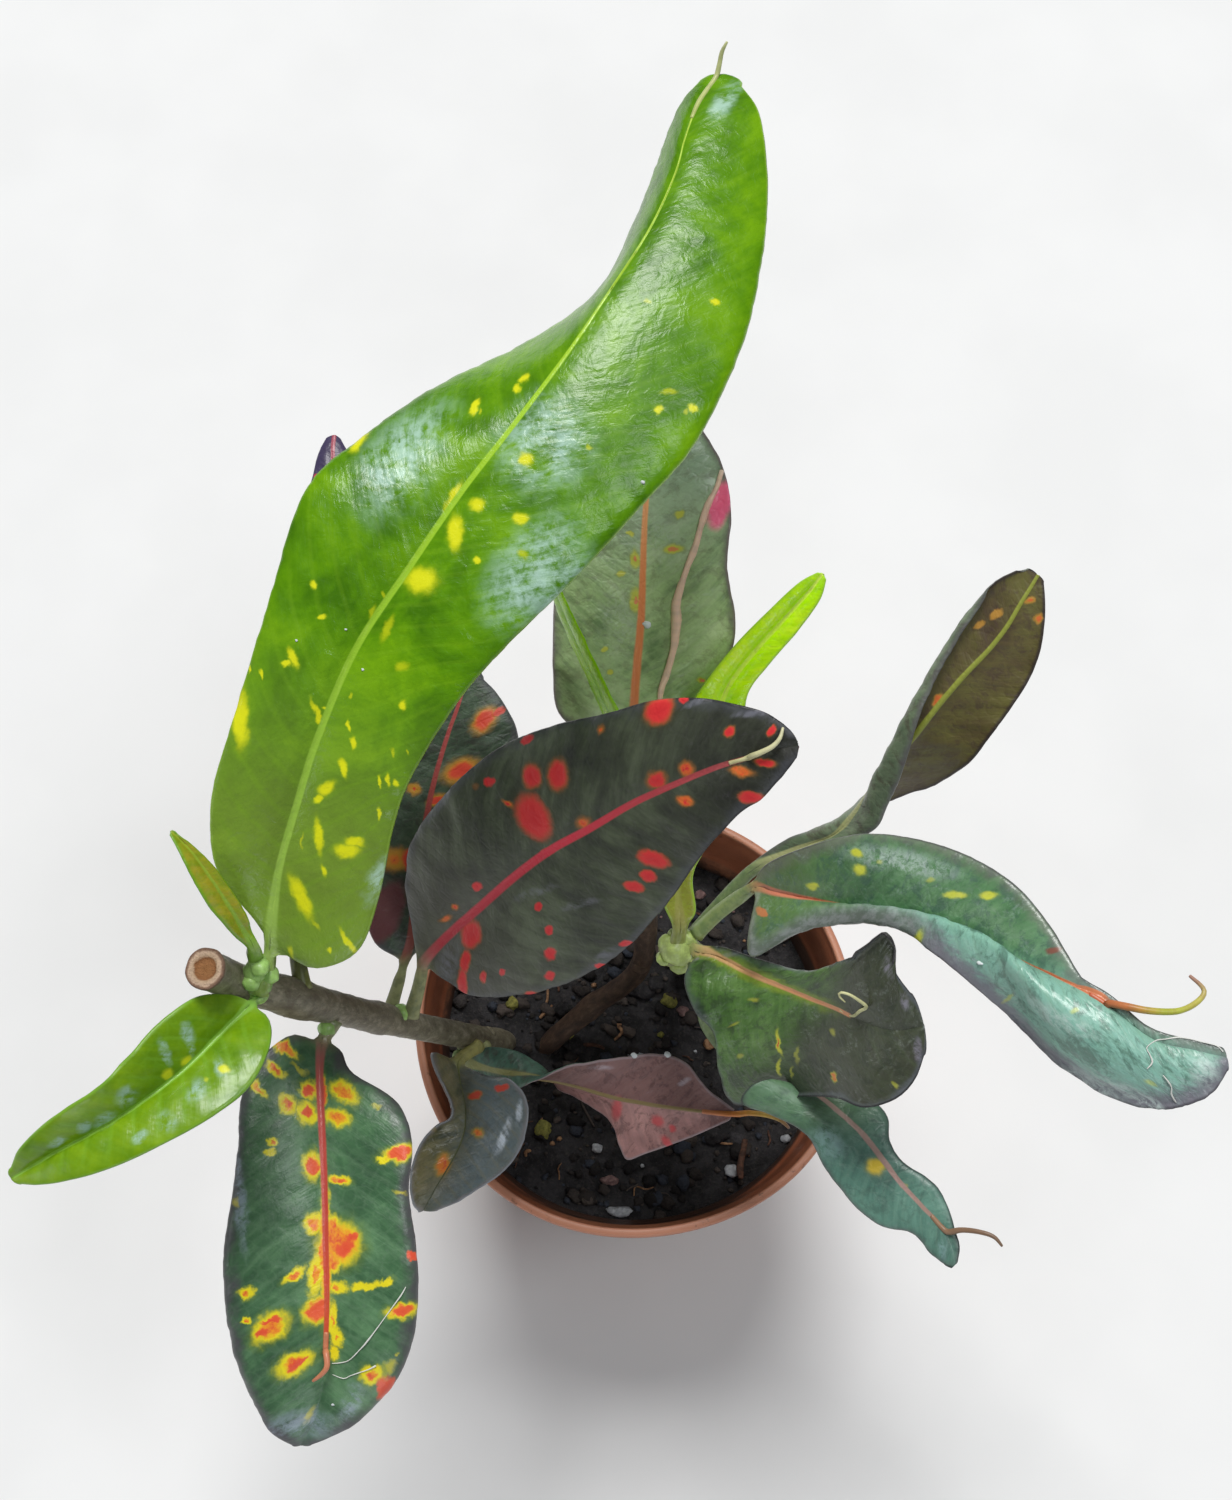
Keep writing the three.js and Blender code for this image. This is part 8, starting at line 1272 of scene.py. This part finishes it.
sh = Shell()
tube(sh, fine_line(RIGHT_STEM, 50), knots([1.5, 1.55, 1.5, 1.5, 1.6], 50, [(0.55, 0.25, 0.03), (0.80, 0.3, 0.04), (0.97, 0.55, 0.05)]), 24, 0.5, 0, 0.15, 0.06, 3.9)
for (p, size, axis, kind, tone) in EXTRA["right_stem"]:
    blob(sh, p, size, axis, 0, kind, 0.09, p[0] * 0.37 + 1, 3, tone)
place(sh.make("stem_right", [m_green]), "right_stem")

sh = Shell()
tube(sh, fine_line(BACK_STEM, 60), knots([1.45, 1.45, 1.4, 1.35, 1.3], 60, [(0.35, 0.25, 0.03), (0.62, 0.22, 0.03), (0.86, 0.3, 0.03)]), 24, 0.5, 0, 0.0, 0.06, 5.1)
for (p, size, axis, kind, tone) in EXTRA["back_stem"]:
    blob(sh, p, size, axis, 0, kind, 0.09, p[0] * 0.37 + 2, 3, tone)
place(sh.make("stem_back", [m_back]), "back_stem")

# ================================================================ pot
def wall_out(z):
    return POT_BASE_R + ((POT_TOP_R - LIP_OUT - BAND_STEP - POT_BASE_R) * z) / POT_H


def pot_profile():
    zb = POT_H - BAND_H
    inner = lambda z: wall_out(z) - POT_WALL
    p = [(0, 0.0), (6, 0.0), (12, 0.0), (17, 0.0), (POT_BASE_R - 2.4, 0.0), (POT_BASE_R - 1.9, 0.35), (POT_BASE_R - 1.4, 0.35), (POT_BASE_R - 0.9, 0.0), (POT_BASE_R - 0.45, 0.0), (POT_BASE_R - 0.12, 0.16), (POT_BASE_R, 0.6)]
    for k in range(1, 11):
        z = 0.6 + (zb - 1.8) * k / 10
        p.append((wall_out(z), z))
    for k in range(1, 7):
        f = k / 6
        p.append((wall_out(zb - 1.2 + 1.2 * f) + BAND_STEP * (f * f * (3 - 2 * f)), zb - 1.2 + 1.2 * f))
    for k in range(1, 6):
        z = zb + (POT_H - LIP_H - 0.7 - zb) * k / 5
        p.append((wall_out(z) + BAND_STEP, z))
    rb = wall_out(POT_H - LIP_H - 0.7) + BAND_STEP
    p += [(rb + 0.12, POT_H - LIP_H - 0.45), (POT_TOP_R - 0.12, POT_H - LIP_H - 0.12), (POT_TOP_R, POT_H - LIP_H + 0.15), (POT_TOP_R, POT_H - 0.45), (POT_TOP_R - 0.12, POT_H - 0.16), (POT_TOP_R - 0.42, POT_H)]
    li = inner(POT_H) + BAND_STEP
    p += [(li + 0.62, POT_H), (li + 0.46, POT_H - 0.06), (li + 0.36, POT_H - 0.24), (li + 0.30, POT_H - 0.6), (li + 0.12, POT_H - 1.2), (inner(POT_H - 2.0) + BAND_STEP, POT_H - 2.0)]
    for k in range(1, 5):
        z = POT_H - 2.0 - (POT_H - 2.0 - zb) * k / 4
        p.append((inner(z) + BAND_STEP, z))
    for k in range(1, 5):
        f = k / 4
        z = zb - 1.2 * f
        p.append((inner(z) + BAND_STEP * (1 - f), z))
    for k in range(1, 9):
        z = zb - 1.2 - (zb - 1.2 - POT_FLOOR - 0.8) * k / 8
        p.append((inner(z), z))
    p += [(inner(POT_FLOOR + 0.3) - 0.25, POT_FLOOR + 0.28), (inner(POT_FLOOR) - 0.8, POT_FLOOR), (15, POT_FLOOR), (8, POT_FLOOR), (0, POT_FLOOR)]
    return p


def pot_material():
    b = NB("moulded_plastic")
    tc = b.vmath("MULTIPLY", b.node("ShaderNodeTexCoord").outputs["Object"], (1000.0, 1000.0, 1000.0))
    x, y, z = b.sep(tc)
    rad_ = b.vmath("LENGTH", b.comb(x, y, 0.0))
    wall = b.math("SUBTRACT", rad_, b.math("ADD", b.math("MULTIPLY", z, 7.45 / 54.0), POT_BASE_R - 0.5))
    inside = b.ss(wall, -0.25, 0.1, 1.0, 0.0)
    inside = b.math("MULTIPLY", inside, b.ss(z, 1.2, 2.0))
    n1 = b.noise(tc, 0.12, 4.0, 0.6)
    n2 = b.noise(b.vmath("MULTIPLY", tc, (1.0, 1.0, 0.25)), 0.9, 4.0, 0.65)
    col = b.mix(b.ss(n1, 0.35, 0.65), lin((150, 86, 58)), lin((168, 102, 74)))
    col = b.mix(b.ss(n2, 0.5, 0.75, 0.0, 0.35), col, lin((138, 84, 62)))
    inn = b.mix(b.ss(n1, 0.35, 0.65), lin((136, 84, 58)), lin((160, 104, 76)))
    # The inner wall darkens towards the soil line, reaching higher on the near side; the dark reaching up on the right
    # side is painted shade.
    low = b.math("ADD", z, b.math("MULTIPLY", b.math("SUBTRACT", b.noise(tc, 0.35, 4.0, 0.7), 0.5), 9.0))
    low = b.math("SUBTRACT", low, b.ss(y, -14.0, 12.0, 5.5, 0.0))
    low = b.math("SUBTRACT", low, b.ss(x, 15.0, 23.0, 0.0, 8.0))
    inn = b.mix(b.ss(low, 42.0, 47.0, 0.88, 0.0), inn, lin((44, 36, 33)))
    col = b.mix(inside, col, inn)
    # the lighter top of the lip is a painted highlight
    lip = b.ss(z, 53.2, 53.9)
    col = b.mix(b.math("MULTIPLY", lip, 0.75), col, lin((206, 144, 116)))
    dirt = b.noise(tc, 0.7, 4.0, 0.7)
    col = b.mix(b.math("MULTIPLY", b.ss(dirt, 0.58, 0.72), b.ss(z, 49.0, 53.5, 0.0, 0.6)), col, lin((74, 52, 42)))
    sc = b.noise(b.vmath("MULTIPLY", tc, (0.7, 0.7, 3.0)), 1.2, 4.0, 0.7)
    ro = b.math("ADD", b.math("MULTIPLY", sc, 0.25), 0.30)
    bm_ = b.math("ADD", b.math("MULTIPLY", sc, 0.5), b.math("MULTIPLY", b.noise(tc, 4.0, 2.0, 0.5), 0.3))
    return b.fin(col, ro, 0.45, 0.0, 0.2, b.bump(bm_, 0.35, 0.0002))


sh = Shell()
lathe(sh, pot_profile(), (0, 0, 0), (0, 0, 1), 160, 0)
# the soft wall is a little out of round near its lip
for arr in sh.v:
    th_ = np.arctan2(arr[:, 1], arr[:, 0])
    up_ = smoothstep(arr[:, 2], 14.0, POT_H)
    bell = lambda c, w_: np.exp(-((np.angle(np.exp(1j * (th_ - math.radians(c))))) / math.radians(w_)) ** 2)
    k_ = 1 + up_ * (-0.020 * bell(-82, 34) + 0.014 * bell(-38, 26))
    arr[:, 0] *= k_
    arr[:, 1] *= k_
pot = sh.make("pot_shell", [pot_material()])
cut = bpy.data.meshes.new("drain_cut")
bm = bmesh.new()
for i in range(DRAIN_COUNT):
    a = 2 * math.pi * (i + 0.5) / DRAIN_COUNT
    M_ = Matrix.Translation((DRAIN_RING_R * math.cos(a) * MM, DRAIN_RING_R * math.sin(a) * MM, 0.7 * MM))
    bmesh.ops.create_cone(bm, cap_ends=True, segments=28, radius1=DRAIN_R * MM, radius2=DRAIN_R * MM, depth=5 * MM, matrix=M_)
bm.to_mesh(cut)
bm.free()
cutter = bpy.data.objects.new("drain_cut", cut)
bpy.context.scene.collection.objects.link(cutter)
md = pot.modifiers.new("holes", "BOOLEAN")
md.operation, md.solver, md.object = "DIFFERENCE", "EXACT", cutter
bpy.context.view_layer.update()
dg = bpy.context.evaluated_depsgraph_get()
newme = bpy.data.meshes.new_from_object(pot.evaluated_get(dg))
pot.modifiers.clear()
pot.data = newme
bpy.data.objects.remove(cutter)
newme.polygons.foreach_set("use_smooth", [True] * len(newme.polygons))
newme.set_sharp_from_angle(angle=math.radians(42))
place(pot, "pot")

# ================================================================ soil
rng = np.random.default_rng(11)


def soil_z(x, y):
    r = math.hypot(x, y)
    z = SOIL_TOP + (SOIL_CROWN - SOIL_TOP) * max(0.0, 1 - (r / 27.0) ** 2)
    z += 0.75 * noise.noise(Vector((x * 0.16, y * 0.16, 3.1))) + 0.45 * noise.noise(Vector((x * 0.45, y * 0.45, 7.7))) + 0.28 * noise.noise(Vector((x * 1.1, y * 1.1, 1.3)))
    return z + 0.1


def soil_material():
    b = NB("potting_mix_grains")
    tc = b.vmath("MULTIPLY", b.node("ShaderNodeTexCoord").outputs["Object"], (1000.0, 1000.0, 1000.0))
    B = b.attr("lfB")
    kind, tone, q = b.sep(B.outputs["Vector"])
    n1 = b.noise(tc, 0.35, 4.0, 0.65)
    n2 = b.noise(tc, 1.8, 4.0, 0.7)
    col = b.mix(b.ss(n1, 0.35, 0.65), lin((40, 39, 40)), lin((64, 62, 64)))
    col = b.mix(b.ss(n2, 0.5, 0.72, 0.0, 0.6), col, lin((88, 82, 80)))
    dark = b.mix(tone, lin((36, 34, 35)), lin((98, 88, 82)))
    blue = b.mix(b.ss(q, 0.75, 0.85), dark, lin((66, 71, 82)))
    cr = b.mix(b.ss(n2, 0.45, 0.75, 0.0, 0.5), blue, lin((46, 42, 41)))
    col = b.mix(b.ss(kind, 0.4, 0.6), col, cr)
    hh = b.math("ADD", b.math("MULTIPLY", n2, 1.0), b.math("MULTIPLY", b.noise(tc, 5.0, 3.0, 0.7), 0.5))
    return b.fin(col, b.math("SUBTRACT", 0.98, b.math("MULTIPLY", n1, 0.25)), 0.3, 0.0, 0.2, b.bump(hh, 0.9, 0.0006))


def bit_material(name, c1, c2, scale=1.6, rough=0.8):
    return plain_material(name, c1, c2, scale, rough, None, 0.0, 0.0004, 0.8)


m_soil = soil_material()
m_white = bit_material("perlite_grain", (196, 198, 202), (160, 162, 168))
m_tan = bit_material("bark_crumb", (166, 126, 92), (120, 86, 62))
m_yel = bit_material("straw_crumb", (150, 146, 70), (110, 108, 50))
m_pink = bit_material("pink_crumb", (150, 120, 116), (112, 86, 84))
m_twig = bit_material("twig", (104, 70, 54), (70, 48, 38))

sh = Shell()
nr, na = 74, 168
radii = [0.0] + [26.8 * ((k / nr) ** 0.92) for k in range(1, nr + 1)]
verts, faces = [(0, 0, soil_z(0, 0))], []
for k in range(1, nr + 1):
    for j in range(na):
        a = 2 * math.pi * j / na
        r = radii[k]
        verts.append((r * math.cos(a), r * math.sin(a), soil_z(r * math.cos(a), r * math.sin(a))))
top_last = 1 + (nr - 1) * na
side_prof = [(wall_out(SOIL_TOP) - POT_WALL - 0.05, SOIL_TOP - 0.4), (wall_out(30) - POT_WALL - 0.05, 30), (wall_out(15) - POT_WALL - 0.05, 15), (wall_out(4) - POT_WALL - 0.1, 4), (wall_out(2) - POT_WALL - 0.5, POT_FLOOR + 0.5), (wall_out(1.5) - POT_WALL - 1.6, POT_FLOOR + 0.06)]
for (r, z) in side_prof:
    for j in range(na):
        a = 2 * math.pi * j / na
        verts.append((r * math.cos(a), r * math.sin(a), z))
verts.append((0, 0, POT_FLOOR + 0.06))
for j in range(na):
    j2 = (j + 1) % na
    faces.append((0, 1 + j, 1 + j2))
    for k in range(nr - 1 + len(side_prof)):
        a, b_ = 1 + k * na + j, 1 + k * na + j2
        faces.append((a, a + na, b_ + na, b_))
    a, b_ = 1 + (nr - 1 + len(side_prof)) * na + j, 1 + (nr - 1 + len(side_prof)) * na + j2
    faces.append((a, len(verts) - 1, b_))
sh.add(verts, faces, None, None, None, 0)
for i in range(760):
    r = 26.2 * math.sqrt(rng.random())
    a = rng.random() * 2 * math.pi
    x, y = r * math.cos(a), r * math.sin(a)
    size = 0.28 + 1.0 * rng.random() ** 2.6
    if r + size > 26.6:
        x, y = x * (26.6 - size) / r, y * (26.6 - size) / r
    sz = (size, size * (0.6 + 0.5 * rng.random()), size * (0.5 + 0.4 * rng.random()))
    ax_ = (rng.normal() * 0.5, rng.normal() * 0.5, 1.0)
    blob(sh, (x, y, soil_z(x, y) + size * 0.22), sz, ax_, 0, 1.0, 0.32, rng.random() * 50, 1 if size < 0.7 else 2, float(rng.random() ** 1.6))
for (x, y, sx, sy, ang, mi) in SOIL_BITS:
    sz_ = min(sx, sy)
    c_, s_ = math.cos(math.radians(ang)), math.sin(math.radians(ang))
    v_, f_ = ICO3
    d = np.array([1 + 0.5 * noise.noise(Vector(p) * 1.3 + Vector((x, y, 1.0))) for p in v_])
    p = v_ * d[:, None] * np.array([sx, sy, sz_ * 0.85])
    p = np.stack([p[:, 0] * c_ - p[:, 1] * s_, p[:, 0] * s_ + p[:, 1] * c_, p[:, 2]], 1)
    sh.add(p + np.array([x, y, soil_z(x, y) + sz_ * 0.45]), f_, p, None, None, mi)
for i in range(34):
    r = 26 * math.sqrt(rng.random()); a = rng.random() * 2 * math.pi
    x, y = r * math.cos(a), r * math.sin(a)
    q = 0.22 + 0.35 * rng.random()
    blob(sh, (x, y, soil_z(x, y) + q * 0.4), (q, q * 0.8, q * 0.7), None, int(rng.choice([1, 2, 3, 4], p=[0.35, 0.35, 0.15, 0.15])), 0.0, 0.3, rng.random() * 50, 2)
for i in range(46):
    r = 24 * math.sqrt(rng.random()); a = rng.random() * 2 * math.pi; b_ = rng.random() * math.pi
    x, y = r * math.cos(a), r * math.sin(a)
    L_ = 1.2 + 3.0 * rng.random()
    pts = []
    for t_ in (-0.5, -0.15, 0.2, 0.5):
        px, py = x + L_ * t_ * math.cos(b_) + 0.25 * rng.normal(), y + L_ * t_ * math.sin(b_) + 0.25 * rng.normal()
        k_ = min(1.0, 25.9 / max(math.hypot(px, py), 1e-6))
        px, py = px * k_, py * k_
        pts.append((px, py, soil_z(px, py) + 0.18 + 0.25 * rng.random()))
    q = 0.10 + 0.22 * rng.random() ** 2
    tube(sh, pts, [q * 0.7, q, q, q * 0.6], 8, 0.45, int(rng.choice([2, 5, 5, 0])), 1.0, 0.15, rng.random() * 20)
tube(sh, SOIL_TWIG, [0.35, 0.45, 0.5, 0.35], 12, 0.35, 5, 1.0, 0.2, 4.4)
soil = sh.make("soil_mix", [m_soil, m_white, m_tan, m_yel, m_pink, m_twig])
place(soil, "soil")

# ================================================================ stage, light and camera
me = bpy.data.meshes.new("floor")
e = 3.0
me.from_pydata([(-e, -e, 0), (e, -e, 0), (e, e, 0), (-e, e, 0)], [], [(0, 1, 2, 3)])
floor = bpy.data.objects.new("floor", me)
bpy.context.scene.collection.objects.link(floor)
b = NB("pale_floor")
tcf = b.node("ShaderNodeTexCoord").outputs["Object"]
me.materials.append(b.fin(b.mix(b.ss(b.noise(tcf, 30.0, 3.0, 0.5), 0.3, 0.7), lin((236, 236, 236)), lin((240, 240, 240))), 0.9, 0.1))

world = bpy.data.worlds.new("daylight")
bpy.context.scene.world = world
world.use_nodes = True
bg = world.node_tree.nodes["Background"]
bg.inputs[0].default_value = (0.93, 0.965, 1.0, 1.0)
bg.inputs[1].default_value = 0.11


def area(name, loc, target, size, energy, color=(1, 1, 1), size_y=None):
    L = bpy.data.lights.new(name, "AREA")
    L.shape = "RECTANGLE" if size_y else "DISK"
    L.size = size
    if size_y:
        L.size_y = size_y
    L.energy = energy
    L.color = color
    o = bpy.data.objects.new(name, L)
    o.location = loc
    o.rotation_mode = "QUATERNION"
    o.rotation_quaternion = (Vector(loc) - Vector(target)).to_track_quat("Z", "Y")
    bpy.context.scene.collection.objects.link(o)
    return o


area("key", (-0.06, 1.54, 3.12), (0, 0, 0.05), 1.40, 99.0, (1.0, 0.998, 0.985))
area("right_window", (0.95, -0.26, 2.41), (0, 0, 0.08), 0.80, 13.0, (0.95, 0.98, 1.0))
area("front_window", (0.10, -1.25, 0.42), (0, 0, 0.08), 0.5, 1.9, (0.90, 0.95, 1.0), 0.30)
area("left_window", (-1.2, -0.35, 0.60), (0, 0, 0.08), 0.4, 1.2, (0.93, 0.97, 1.0), 0.4)

scene = bpy.context.scene
scene.view_settings.view_transform = "Standard"
cd = bpy.data.cameras.new("view_camera")
cd.sensor_fit, cd.sensor_width = "AUTO", 36.0
cd.lens = 1900.0 / PHOTO_H * 36.0
cam = bpy.data.objects.new("view_camera", cd)
scene.collection.objects.link(cam)
back_v = Vector((0.0, -0.34202, 0.93969))
up_v = Vector((0.0, 0.93969, 0.34202))
right_v = Vector((1.0, 0.0, 0.0))
cam.location = Vector((-2.6, -54.6, 309.8)) * MM
cam.rotation_mode = "QUATERNION"
cam.rotation_quaternion = Matrix((right_v, up_v, back_v)).transposed().to_quaternion()
cd.clip_start, cd.clip_end = 0.005, 20.0
scene.camera = cam

bpy.context.view_layer.update()
